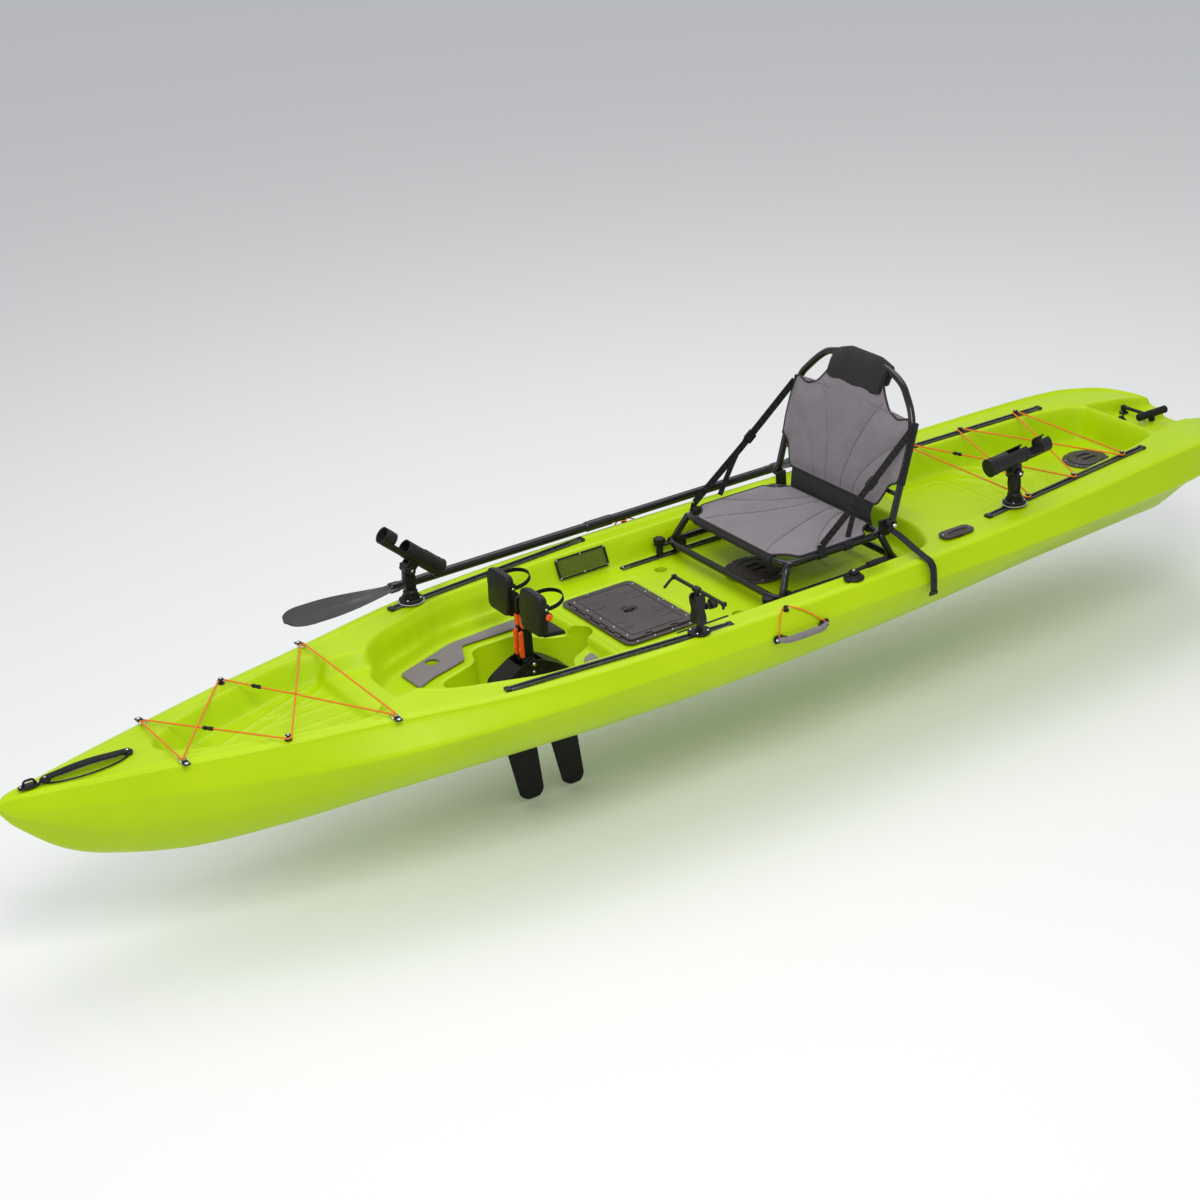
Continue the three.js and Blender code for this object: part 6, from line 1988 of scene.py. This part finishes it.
def makeSleeves():
    # Cloth sleeves that hold the covers on the tubes.
    bm = bmesh.new()
    s = seatSetup
    for side in (port, starboard):
        y = s["backHalf"] * side
        path = [vec(backX(z), y, z) for z in range(500, 661, 8)]
        sizes = [1 + 0.03 * math.sin(k * 1.7) for k in range(len(path))]
        addSweep(bm, path, circle(0.0135, 20), False, None, sizes)
    pieceFrom(bm, "seatBackSleeves", "seat_backrest", headCloth, (), 60)
    bm = bmesh.new()
    path = [vec(s["panFront"], y, s["panZ"]) for y in range(-198, 199, 12)]
    sizes = [1 + 0.03 * math.sin(k * 2.1) for k in range(len(path))]
    addSweep(bm, path, circle(0.0142, 20), False, None, sizes)
    path = [vec(s["panRear"], y, s["panZ"]) for y in range(-198, 199, 12)]
    addSweep(bm, path, circle(0.0138, 20), False, None, sizes)
    pieceFrom(bm, "seatPanSleeves", "seat_base", headCloth, (), 60)


def makeLowerPanel():
    # A dark panel that closes the gap between the back cover and the pan.
    bm = bmesh.new()
    rows = []
    for i in range(9):
        z = 424 - 62 * i / 8
        half = 205 - 6 * math.sin(math.pi * i / 8)
        x = backX(424) + 13 + (-572 - backX(424) - 13) * (i / 8) ** 0.9
        rows.append([bm.verts.new(vec(x + 5 * math.sin(math.pi * i / 8), half * k / 12, z)) for k in range(-12, 13)])
    for a, b in zip(rows, rows[1:]):
        for j in range(24):
            bm.faces.new((a[j], a[j + 1], b[j + 1], b[j]))
    bmesh.ops.solidify(bm, geom=bm.faces[:], thickness=0.002)
    panel = pieceFrom(bm, "seatLowerPanel", None, headCloth, (), 60)
    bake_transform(panel)


makeHeadPad()
makeSleeves()
makeLowerPanel()


# Seat straps
print("seat straps")
strapSetup = {
    "width": 0.026, "thick": 0.0017,
    "routes": {
        port: {"top": (288, 664), "bottom": (-342, 262, 379)},
        starboard: {"top": (288, 664), "bottom": (-249, 262, 377)},
    },
    "buckleAt": 0.45,
}


def loopRound(bm, centre, along, radius, width):
    turn = aim(along)
    half = width / 2
    profile = [(radius, -half), (radius + 0.0018, -half), (radius + 0.0018, half), (radius, half)]
    addLathe(bm, profile, centre, 26, turn)


def makeSeatStrap(side):
    s = strapSetup
    route = s["routes"][side]
    y, z = route["top"]
    top = vec(backX(z) + 9, y * side, z)
    bx, by, bz = route["bottom"]
    foot = vec(bx, by * side, bz)
    hint = Vector((0, side, 0))
    middle = top.lerp(foot, 0.5)
    path = splinePath([top, top.lerp(foot, 0.25) - Vector((0, 0, 0.003)), middle - Vector((0, 0, 0.005)),
                       top.lerp(foot, 0.75) - Vector((0, 0, 0.003)), foot], 8)
    label = sideNames[side].capitalize()

    def bend(piece):
        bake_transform(piece)

    bm = bmesh.new()
    addStrap(bm, path, s["width"], s["thick"], hint)
    second = [p + hint.normalized() * 0.0022 for p in path[: int(len(path) * 0.52)]]
    addStrap(bm, second, s["width"], s["thick"], hint)
    fork, spread = top.lerp(foot, 0.56), vec(bx - 95, by * side, bz - 1)
    branch = splinePath([fork, fork.lerp(spread, 0.5) + Vector((0.004, -0.002 * side, 0)), spread], 8)
    addStrap(bm, branch, s["width"] * 0.8, s["thick"], hint)
    bend(pieceFrom(bm, f"seatStrap{label}", None, webbing, (), 30))
    bm = bmesh.new()
    at = top.lerp(foot, s["buckleAt"]) - Vector((0, 0, 0.005))
    ahead = (foot - top).normalized()
    up = hint.normalized()
    across = ahead.cross(up)
    turn = Matrix((ahead, across, up)).transposed().to_4x4()
    turn.translation = at
    outline = [tuple(v) for v in roundedOutline([(-0.017, -0.0165), (0.017, -0.0165), (0.017, 0.0165),
        (-0.017, 0.0165)], 0.004, 0, 4)]
    addFrame(bm, outline, 0.0042, -0.0035, 0.0045, 0.001, turn)
    for x in (-0.006, 0.006):
        addTube(bm, [turn @ Vector((x, -0.014, 0.0032)), turn @ Vector((x, 0.014, 0.0032))], 0.0019, 12)
    bend(pieceFrom(bm, f"seatBuckle{label}", None, nylon, (), 35))
    bm = bmesh.new()
    loopRound(bm, xyz(backX(z), seatSetup["backHalf"] * side, z),
        Vector((-seatSetup["lean"], 0, 1)).normalized(), 0.0112, 0.03)
    pieceFrom(bm, f"seatStrapTopLoop{label}", "seat_backrest", webbing, (), 35)
    bm = bmesh.new()
    for x in (bx, bx - 95):
        loopRound(bm, xyz(x, seatSetup["panHalf"] * side, seatSetup["panZ"]), Vector((1, 0, 0)), 0.0118, 0.028)
    addStrap(bm, splinePath([foot, foot + Vector((0.004, 0, -0.012)),
        vec(bx, (seatSetup["panHalf"] + 10) * side, 354)], 6),
             s["width"], s["thick"], Vector((0, side, 0.4)))
    pieceFrom(bm, f"seatStrapFoot{label}", "seat_base", webbing, (), 35)


def makeTail():
    # The loose end of the port strap, over the gunwale.
    s = strapSetup
    route = [
        (-585, 272, 362), (-590, 305, 356), (-596, 362, 334), (-600, 408, 318.5), (-602, 434, 311),
        (-603, 449, 292), (-603.5, 451, 262), (-604, 450.5, 232), (-604, 447, 205),
    ]
    path = splinePath([xyz(*p) for p in route], 8)
    bm = bmesh.new()
    addStrap(bm, path, s["width"], s["thick"], Vector((0, 0.3, 1)))
    tail = pieceFrom(bm, "seatStrapTail", "seat_base", webbing, (), 30)
    bm = bmesh.new()
    end, back = path[-1], path[-5]
    addSweep(bm, [end, end.lerp(back, 0.8)], [(-0.0026, -0.0145), (0.0026, -0.0145), (0.0026, 0.0145),
        (-0.0026, 0.0145)],
             False, Vector((0, 1, 0)))
    pieceFrom(bm, "seatStrapTailEnd", "seat_base", nylon, (), 35)


for side in (port, starboard):
    makeSeatStrap(side)
makeTail()


# Pedal drive
print("pedal drive")
crankSetup = {"x": 528, "z": 192, "reach": 186, "inner": 3, "outer": 27}
finSetup = {
    "axisZ": -12, "bottom": -256, "thick": 8,
    "fins": {"front": ((522, 634), (508, 588)), "rear": ((386, 490), (368, 442))},
}


def slabAcross(bm, corners, radius, y0, y1, bevel=0.0012):
    # An outline in X and Z given thickness along Y.
    ring = outlineOf(corners, radius)
    low, high = sorted((y0, y1))
    addSlab(bm, ring, low * mm, high * mm, bevel, sidePlane(0))


def makeDriveHousing():
    dressNode("drive_housing", nylon, 0.0016, 30)
    bm, screws, trim = bmesh.new(), bmesh.new(), bmesh.new()
    for side in (port, starboard):
        y = 40 * side
        slabAcross(bm, [(432, 92), (432, 124), (468, 150), (512, 176), (548, 176), (612, 142), (622, 92)],
                   12, y, y + 3.4 * side)
        for x in (448, 490, 566, 604):
            slabAcross(bm, [(x - 2, 96), (x - 2, 140), (x + 2, 140), (x + 2, 96)], 1, y, y + 5.4 * side, 0.0006)
        for x, z in ((442, 104), (470, 144), (530, 168), (590, 146), (614, 104)):
            addScrew(screws, xyz(x, y + 3.4 * side, z), 0.0046, (0, side, 0))
        slabAcross(trim, [(500, 104), (500, 132), (556, 132), (556, 104)], 6, y + 3 * side, y + 6.4 * side)
        low, high = sorted((y, y + 16 * side))
        addBlock(bm, xyz(476, low, 100), xyz(564, high, 109), 0.003, 0.002)
        profile = [(0, 0), (0.016, 0), (0.018, 0.002), (0.018, 0.0035), (0.011, 0.0055), (0, 0.0055)]
        spin = aim((0, side, 0))
        addLathe(bm, profile, xyz(crankSetup["x"], 39 * side, crankSetup["z"]), 32, spin, 0.0006)
        addScrew(screws, xyz(crankSetup["x"], 44.5 * side, crankSetup["z"]), 0.006, (0, side, 0))
    pieceFrom(bm, "driveCheeks", hullBody, nylon, (), 35)
    pieceFrom(trim, "driveCheekTrim", hullBody, orange, (), 35)
    pieceFrom(screws, "driveScrews", hullBody, steel)


def makeCrank(side):
    s = crankSetup
    x, z = s["x"], s["z"]
    low, high = sorted((s["inner"] * side, s["outer"] * side))
    top = z + s["reach"] + 10
    name = f"crank_{sideNames[side]}"
    bm = bmesh.new()
    arm = [(x - 15, z - 14), (x + 15, z - 14), (x + 12, top), (x - 14, top)]
    slabAcross(bm, arm, 9, low + 4, high - 4, 0.003)
    for k in range(6):
        base = z + 26 + k * 24
        rung = [(x - 10, base), (x - 10, base + 4), (x + 8, base + 4), (x + 8, base)]
        slabAcross(bm, rung, 1, low + 2.6, high - 2.6, 0.0008)
    hub = aim((0, 1, 0))
    wide = (high - low) * mm
    addLathe(bm, [(0.0058, 0), (0.0155, 0), (0.017, 0.0018), (0.017, wide - 0.0018), (0.0155, wide), (0.0058, wide)],
             xyz(x, low, z), 40, hub)
    tip = (x - 2, z + s["reach"])
    addTube(bm, [xyz(tip[0], side * 12, tip[1]), xyz(tip[0], side * 150, tip[1])], 0.005, 20)
    pieceFrom(bm, f"{name}Arm", f"crank_{sideNames[side]}_arm", nylon, [name], 35)
    bm = bmesh.new()
    latch = [(x + 12.5, z + 14), (x + 26, z + 18), (x + 24, z + 96), (x + 11.5, z + 100)]
    slabAcross(bm, latch, 5, low + 6.4, high - 6.4, 0.0022)
    slabAcross(bm, [(x + 21, z + 30), (x + 29, z + 34), (x + 28, z + 48), (x + 21, z + 52)], 3, low + 9,
        high - 9, 0.002)
    slabAcross(bm, [(x - 16.4, z + 108), (x - 16.4, z + 142), (x + 14.4, z + 142), (x + 14.8, z + 108)], 4,
        low + 3, high - 3, 0.0014)
    pieceFrom(bm, f"{name}Latch", f"crank_{sideNames[side]}_arm", orange, (), 35)
    spots = [xyz(x - 1, (s["outer"] - 3) * side, z + zz) for zz in (118, 132)]
    makeScrews(f"{name}Screws", f"crank_{sideNames[side]}_arm", spots, 0.0032, (0, side, 0))


def makePedal(side):
    s = crankSetup
    cx, cz = s["x"] - 2, s["z"] + s["reach"]
    y0, y1 = sorted((32 * side, 152 * side))
    name = f"pedal_{sideNames[side]}"
    body = f"{name}_foot"
    mid = (y0 + y1) / 2
    bm = bmesh.new()
    lean = shift(cx + 13, mid, cz) @ Matrix.Rotation(math.radians(87), 4, "Y")
    sole = outlineOf([(-63, -44), (-50, -58), (50, -58), (61, -44), (61, 44), (50, 58), (-50, 58), (-63, 44)], 16)
    addSlab(bm, sole, -0.006, 0.013, 0.005, lean)
    rim = [tuple(p) for p in offsetRing(sole, 0.003)]
    addFrame(bm, rim, 0.006, -0.011, -0.004, 0.0015, lean)
    slabAcross(bm, [(cx + 18, cz - 62), (cx + 12, cz - 48), (cx - 52, cz - 58), (cx - 56, cz - 72)], 5, y0 + 8,
        y1 - 8, 0.004)
    for k in range(5):
        z = cz - 32 + k * 18
        if abs(z - cz) > 12:
            slabAcross(bm, [(cx - 1, z - 3), (cx - 1, z + 3), (cx + 8, z + 3), (cx + 8, z - 3)], 1.5, y0 + 10,
                y1 - 10, 0.0016)
    spin = aim((0, 1, 0))
    wide = (y1 - y0) * mm
    addLathe(bm, [(0.0056, 0), (0.0115, 0), (0.013, 0.0015), (0.013, wide - 0.0015), (0.0115, wide), (0.0056, wide)],
             xyz(cx, y0, cz), 36, spin)
    for y in (y0 + 3, y1 - 3):
        slabAcross(bm, [(cx + 6, cz + 12), (cx + 24, cz + 8), (cx + 24, cz + 38), (cx - 4, cz + 40), (cx - 6, cz + 24)],
                   5, y - 3, y + 3, 0.0014)
    pieceFrom(bm, f"{name}Foot", body, nylon, [name], 38)
    bm = bmesh.new()
    hoop = [xyz(cx + 16, y0 + 4, cz + 20)]
    for k in range(-9, 10):
        turn = math.radians(k * 13.5)
        hoop.append(xyz(cx - 26 - 50 * math.cos(turn), mid + 55 * math.sin(turn), cz + 26 + 10 * math.cos(turn)))
    hoop.append(xyz(cx + 16, y1 - 4, cz + 20))
    addSweep(bm, splinePath(hoop, 3), [(-0.006, -0.0014), (0.006, -0.0014), (0.006, 0.0014), (-0.006, 0.0014)],
             False, Vector((0, 0, 1)))
    pieceFrom(bm, f"{name}Strap", body, rubber, (), 40)
    bm = bmesh.new()
    cap = 152.4 * side
    turn = aim((0, side, 0))
    addLathe(bm, [(0, -0.002), (0.0105, -0.002), (0.0105, 0.002), (0.007, 0.0042), (0, 0.0042)],
             xyz(cx, cap, cz), 30, turn, 0.0006)
    pieceFrom(bm, f"{name}Cap", body, orange, (), 35)
    bm = bmesh.new()
    for y, way in ((y0 + 0.4, -1), (y1 - 0.4, 1)):
        addScrew(bm, xyz(cx + 6, y, cz + 25), 0.0042, (0, way, 0))
    pieceFrom(bm, f"{name}Screws", body, steel)


def makeFin(name, root, tip, s):
    top, bottom = s["axisZ"] - 7, s["bottom"]
    rows, across = 34, 14
    bm = bmesh.new()
    rings = []
    for i in range(rows + 1):
        t = i / rows
        z = top + (bottom - top) * t
        low = root[0] + 3 + (tip[0] - root[0] - 3) * t
        high = root[1] - 2 + (tip[1] - root[1] + 2) * t
        blunt = max(0, (t - 0.88) / 0.12)
        low += 16 * blunt ** 2.2
        high -= 22 * blunt ** 2.4
        ridge = 0.55 * (0.5 + 0.5 * math.cos(t * math.pi * 30)) * (0.06 < t < 0.9)
        ring = []
        for k in range(2 * across):
            a = 2 * math.pi * k / (2 * across)
            c = math.cos(a)
            x = (low + high) / 2 + (high - low) / 2 * c
            lead = (c + 1) / 2
            thick = s["thick"] / 2 * (0.28 + 0.72 * lead ** 0.7) * (abs(math.sin(a)) ** 0.6)
            ring.append(bm.verts.new(vec(x, math.copysign(thick - ridge * (0.15 < lead < 0.8), math.sin(a)), z)))
        rings.append(ring)
    skin(bm, rings)
    mast = [xyz(root[1] - 12, 0, top - 4), xyz(tip[1] - 8, 0, bottom + 18)]
    path = resample([Vector(p) for p in mast], 0.01)
    addSweep(bm, path, circle(0.0058, 20), False, None, [1 - 0.42 * i / (len(path) - 1) for i in range(len(path))])
    spin = aim((1, 0, 0))
    long = (root[1] - root[0] - 4) * mm
    addLathe(bm, [(0.0036, 0), (0.0066, 0), (0.0076, 0.001), (0.0076, long - 0.001), (0.0066, long), (0.0036, long)],
             xyz(root[0] + 2, 0, s["axisZ"]), 30, spin)
    addBlock(bm, xyz(root[0] + 8, -3.5, top - 6), xyz(root[1] - 8, 3.5, s["axisZ"] - 5), 0.002, 0.001)
    pieceFrom(bm, f"fin_{name}Blade", f"fin_{name}_blade", rubber, [f"fin_{name}"], 50)


makeDriveHousing()
for side in (port, starboard):
    makeCrank(side)
    makePedal(side)
for name, (root, tip) in finSetup["fins"].items():
    makeFin(name, root, tip, finSetup)


# Rod holders
print("rod holders")
rodSetup = {
    "bow_rod_holder": {"x": 705, "y": -343, "heading": 0, "tilt": 42, "bodies": ("bow_rod_swivel", "bow_rod_cradle")},
    "stern_rod_holder": {"x": -1050, "y": 292, "heading": math.pi, "tilt": 6,
        "bodies": ("stern_rod_swivel", "stern_rod_cradle")},
    "pivot": 82, "length": 232, "radius": 27, "rise": 47,
}


def makeRodHolder(name, s):
    x, y = s["x"], s["y"]
    z = deckHeight(x - 36) + 1.4
    swivel, cradleBody = s["bodies"]
    bm = bmesh.new()
    foot = [(0, z), (36, z), (36, z + 9), (30, z + 13), (24, z + 13), (24, z + 21.8), (0, z + 21.8)]
    addLathe(bm, scaled(foot), xyz(x, y, 0), 60, None, 0.0014)
    for k in range(30):
        turn = shift(x, y, 0) @ Matrix.Rotation(2 * math.pi * k / 30, 4, "Z")
        addBlock(bm, xyz(23.4, -1.2, z + 14), xyz(25, 1.2, z + 21.4), 0.0004, 0.0003, turn)
    pieceFrom(bm, f"{name}Foot", hullBody, nylon, [f"{name}_base"], 35)
    bm = bmesh.new()
    addLathe(bm, [(0.026, 0), (0.0395, 0), (0.0395, 0.0018), (0.026, 0.0018)], xyz(x, y, z + 0.3), 60)
    pieceFrom(bm, f"{name}Washer", hullBody, washer, (), 35)
    bm = bmesh.new()
    for k in range(4):
        a = math.pi / 4 + k * math.pi / 2
        addScrew(bm, xyz(x + 30 * math.cos(a), y + 30 * math.sin(a), z + 12), 0.0034)
    pieceFrom(bm, f"{name}FootScrews", hullBody, steel)

    place = shift(x, y, z + 22.4) @ Matrix.Rotation(s["heading"], 4, "Z")
    pivot = rodSetup["pivot"]
    spin = aim((0, 1, 0))
    bm = bmesh.new()
    collar = [(0, 0), (22, 0), (22, 10), (16, 16), (0, 16)]
    addLathe(bm, scaled(collar), (0, 0, 0), 48, place, 0.0014)
    column = outlineOf([(-15, 10), (15, 10), (19, 44), (16, 78), (-16, 78), (-19, 44)], 8)
    addSlab(bm, column, -0.012, 0.012, 0.003, place @ sidePlane(0))
    for way in (-1, 1):
        inner = outlineOf([(-9, 20), (9, 20), (12, 44), (10, 62), (-10, 62), (-12, 44)], 5)
        addFrame(bm, inner, 0.003, 0.012 * way, 0.0134 * way, 0.0003, place @ sidePlane(0))
    addLathe(bm, [(0, -0.012), (0.0155, -0.012), (0.017, -0.0105), (0.017, 0.0105), (0.0155, 0.012), (0, 0.012)],
             (0, 0, 0), 40, place @ shift(0, 0, pivot) @ spin)
    pieceFrom(bm, f"{name}Post", swivel, nylon, [f"{name}_post"], 36)

    dressNode(f"{name}_cradle", nylon, 0.0012, 30)
    lift = place @ shift(0, 0, pivot) @ Matrix.Rotation(-math.radians(s["tilt"]), 4, "Y")
    bm = bmesh.new()
    for way in (-1, 1):
        turn = lift @ shift(0, way * 18, 0) @ aim((0, way, 0))
        ring = []
        for k in range(48):
            a = 2 * math.pi * k / 48
            r = 0.0135 + 0.0013 * math.cos(a * 6)
            ring.append((r * math.cos(a), r * math.sin(a)))
        addSlab(bm, ring, 0, 0.011, 0.0025, turn)
    length, rise, radius = rodSetup["length"], rodSetup["rise"], rodSetup["radius"]
    along = aim((1, 0, 0))
    for at, grow in ((-length * 0.42 + 2, 2.4), (-length * 0.42 + 20, 1.2), (length * 0.16, 1.6)):
        turn = lift @ shift(at, 0, rise) @ along
        r = radius * mm
        sweep = []
        for k in range(25):
            a = math.pi * (0.92 + 1.16 * k / 24) if at > -length * 0.2 else 2 * math.pi * k / 24
            sweep.append(turn @ Vector((0, 0, 0)) + lift.to_3x3() @ Vector((0, math.cos(a),
                math.sin(a))) * (r + grow * 0.3 * mm))
        addStrap(bm, sweep, 0.006, grow * mm, lift.to_3x3() @ Vector((0, 1, 0)))
    pieceFrom(bm, f"{name}Trim", cradleBody, nylon, (), 38)
    bm = bmesh.new()
    for way in (-1, 1):
        addScrew(bm, lift @ Vector((0, way * 0.029, 0)), 0.005, lift.to_3x3() @ Vector((0, way, 0)))
    pieceFrom(bm, f"{name}Screws", cradleBody, steel)


for name in ("bow_rod_holder", "stern_rod_holder"):
    makeRodHolder(name, rodSetup[name])


# Ball mount
print("ball mount and rudder control")
ballSetup = {"x": 184, "y": 389, "z": 311.4, "lowBall": 347.4, "waist": 383.15, "top": 417.4}


def makeBallMount(s):
    x, y, z = s["x"], s["y"], s["z"]
    low = s["lowBall"]
    bm = bmesh.new()
    profile = [(0, z), (33, z), (33, z + 6), (14, z + 10), (7, z + 14), (7, low - 8), (0, low - 8)]
    addLathe(bm, scaled(profile), xyz(x, y, 0), 56, None, 0.0012)
    addBall(bm, xyz(x, y, low), 0.0114, 1, 32)
    pieceFrom(bm, "ballMountFoot", hullBody, nylon, ["ball_mount_base"], 35)
    bm = bmesh.new()
    for k in range(4):
        a = math.pi / 4 + k * math.pi / 2
        addScrew(bm, xyz(x + 25 * math.cos(a), y + 25 * math.sin(a), z + 7.4), 0.0036)
    pieceFrom(bm, "ballMountFootScrews", hullBody, steel)
    dressNode("ball_mount_arm", nylon, 0.0022, 30)
    waist, top = s["waist"], s["top"]
    bm = bmesh.new()
    ring = []
    for k in range(72):
        a = 2 * math.pi * k / 72
        r = 15 + 2.4 * math.cos(a * 3)
        ring.append((r * mm * math.cos(a), r * mm * math.sin(a)))
    turn = shift(x - 46, y, waist) @ aim((1, 0, 0))
    addSlab(bm, ring, -0.012, 0.006, 0.003, turn)
    addLathe(bm, [(0, 0), (0.0098, 0), (0.0098, 0.0155), (0, 0.0155)], xyz(x - 40.3, y, waist), 32,
             aim((1, 0, 0)), 0.001)
    addBlock(bm, xyz(x - 62, y - 4, waist - 14), xyz(x - 44, y + 4, waist + 14), 0.004, 0.002)
    pieceFrom(bm, "ballMountKnobBody", "ball_mount_clamp_knob", nylon, ["ball_mount_knob"], 35)
    bm = bmesh.new()
    addTube(bm, [xyz(x, y, top + 6), xyz(x, y, top + 24)], 0.006, 24)
    addBall(bm, xyz(x, y, top), 0.0114, 1, 32)
    bar = resample([vec(x, y - 118, top + 26), vec(x, y + 138, top + 26)], 0.01)
    addSweep(bm, bar, outlineOf([(-4, -5), (4, -5), (4, 5), (-4, 5)], 2, 0, 4))
    addTube(bm, bentPath([xyz(x + 2, y - 112, top + 26), xyz(x + 16, y - 112, top + 17),
        xyz(x + 36, y - 112, top + 2)], 0.006), 0.0042, 18)
    addTube(bm, [xyz(x, y + 132, top + 24), xyz(x + 4, y + 132, top + 12)], 0.004, 18)
    for at in (-112, 132):
        addBlock(bm, xyz(x - 7, y + at - 5, top + 20), xyz(x + 7, y + at + 5, top + 32), 0.002, 0.001)
    addBlock(bm, xyz(x - 9, y - 14, top + 19.5), xyz(x + 9, y + 14, top + 32), 0.004, 0.0016)
    pieceFrom(bm, "ballMountBar", "ball_mount_tbar", nylon, ["ball_mount_bar"], 36)


def makeRudder():
    x, y, z = -361, 386, 310.4
    bm = bmesh.new()
    profile = [(0, z), (30, z), (30, z + 5), (22, z + 10), (22, z + 15), (0, z + 15)]
    addLathe(bm, scaled(profile), xyz(x, y, 0), 60, None, 0.0014)
    for k in range(36):
        turn = shift(x, y, 0) @ Matrix.Rotation(2 * math.pi * k / 36, 4, "Z")
        addBlock(bm, xyz(29.2, -1.1, z + 0.6), xyz(30.7, 1.1, z + 4.8), 0.0004, 0.0003, turn)
    pieceFrom(bm, "rudderDialBody", hullBody, nylon, ["rudder_dial"], 35)
    top = z + 15.4
    bm = bmesh.new()
    addLathe(bm, [(0, top * mm), (0.014, top * mm), (0.014, (top + 8) * mm), (0.011, (top + 10) * mm),
        (0, (top + 10) * mm)],
             xyz(x, y, 0), 40, None, 0.001)
    slabAcross(bm, [(x + 8, top + 2), (x + 8, top + 9), (x - 60, top + 15), (x - 60, top + 7)], 3, y - 6, y + 6, 0.0016)
    path = resample([vec(x - 52, y, top + 11), vec(x - 118, y, top + 13)], 0.003)
    total = len(path) - 1
    sizes = [0.86 + 0.16 * math.sin(math.pi * min(1,
        0.2 + i / total)) + 0.025 * math.cos(i * 1.9) for i in range(total + 1)]
    addSweep(bm, path, circle(0.0095, 24), False, None, sizes)
    pieceFrom(bm, "rudderLeverBody", "rudder_control_lever", rubber, ["rudder_lever"], 40)
    bm = bmesh.new()
    addScrew(bm, xyz(x, y, top + 10), 0.005)
    pieceFrom(bm, "rudderLeverScrew", "rudder_control_lever", steel)


makeBallMount(ballSetup)
makeRudder()


# Paddle
print("paddle")
paddleSetup = {"bow": 1075, "stern": -1035, "y": -431, "z": 326.5, "radius": 14, "blade": 400, "width": 124}


def makePaddle(s):
    y, z, bow, stern, blade = s["y"], s["z"], s["bow"], s["stern"], s["blade"]
    bm = bmesh.new()
    ends = [vec(bow - blade + 40, y, z), vec(stern + blade - 40, y, z)]
    addTube(bm, resample(ends, 0.03), s["radius"] * mm, 32)
    addTube(bm, resample([vec(50, y, z), vec(-50, y, z)], 0.01), 0.0162, 32)
    for tip, way in ((bow, 1), (stern, -1)):
        ring = [vec(tip - way * (blade - 58 + dx), y, z) for dx in (0, 12, 24, 36)]
        addTube(bm, ring, 0.0166, 28)
    pieceFrom(bm, "paddleShaft", "loose_paddle", tubePaint, ["paddle"], 45)
    bm = bmesh.new()
    rows, across = 46, 22
    for tip, way in ((bow, 1), (stern, -1)):
        rings = []
        for i in range(rows + 1):
            t = i / rows
            x = tip - way * blade * (1 - t)
            spread = math.sin(min(1, t / 0.72) * math.pi / 2) ** 1.25
            close = math.sqrt(max(0.0, 1 - max(0, (t - 0.80) / 0.2) ** 2.6))
            up = 14 + (s["width"] * 0.5 - 14) * spread
            down = 14 + (s["width"] * 0.46 - 14) * spread
            up, down = up * max(close, 0.06), down * max(close, 0.06)
            ring = []
            for k in range(2 * across):
                a = 2 * math.pi * k / (2 * across)
                c, sn = math.cos(a), math.sin(a)
                v = up * c if c > 0 else down * c
                share = abs(c)
                thick = 1.3 + 2.2 * (1 - share ** 2) + (10.5 * max(0, 1 - t / 0.5)) * math.exp(-(v / 15) ** 2)
                spine = 3.2 * math.exp(-(v / 7) ** 2) * max(0, 1 - t / 0.9)
                dish = 5 * (v / 75) ** 2 * spread
                h = (thick + spine) * (sn if abs(sn) > 0.2 else math.copysign(abs(sn) ** 0.6 * 0.5, sn))
                h = max(min(h, 14), -14)
                ring.append(bm.verts.new(vec(x, y + v, z + h + dish - 2 * spread - 0.12 * v * spread)))
            rings.append(ring)
        skin(bm, rings)
    pieceFrom(bm, "paddleBlades", "loose_paddle", bladeFinish, (), 50)


makePaddle(paddleSetup)


# Done
print("done")
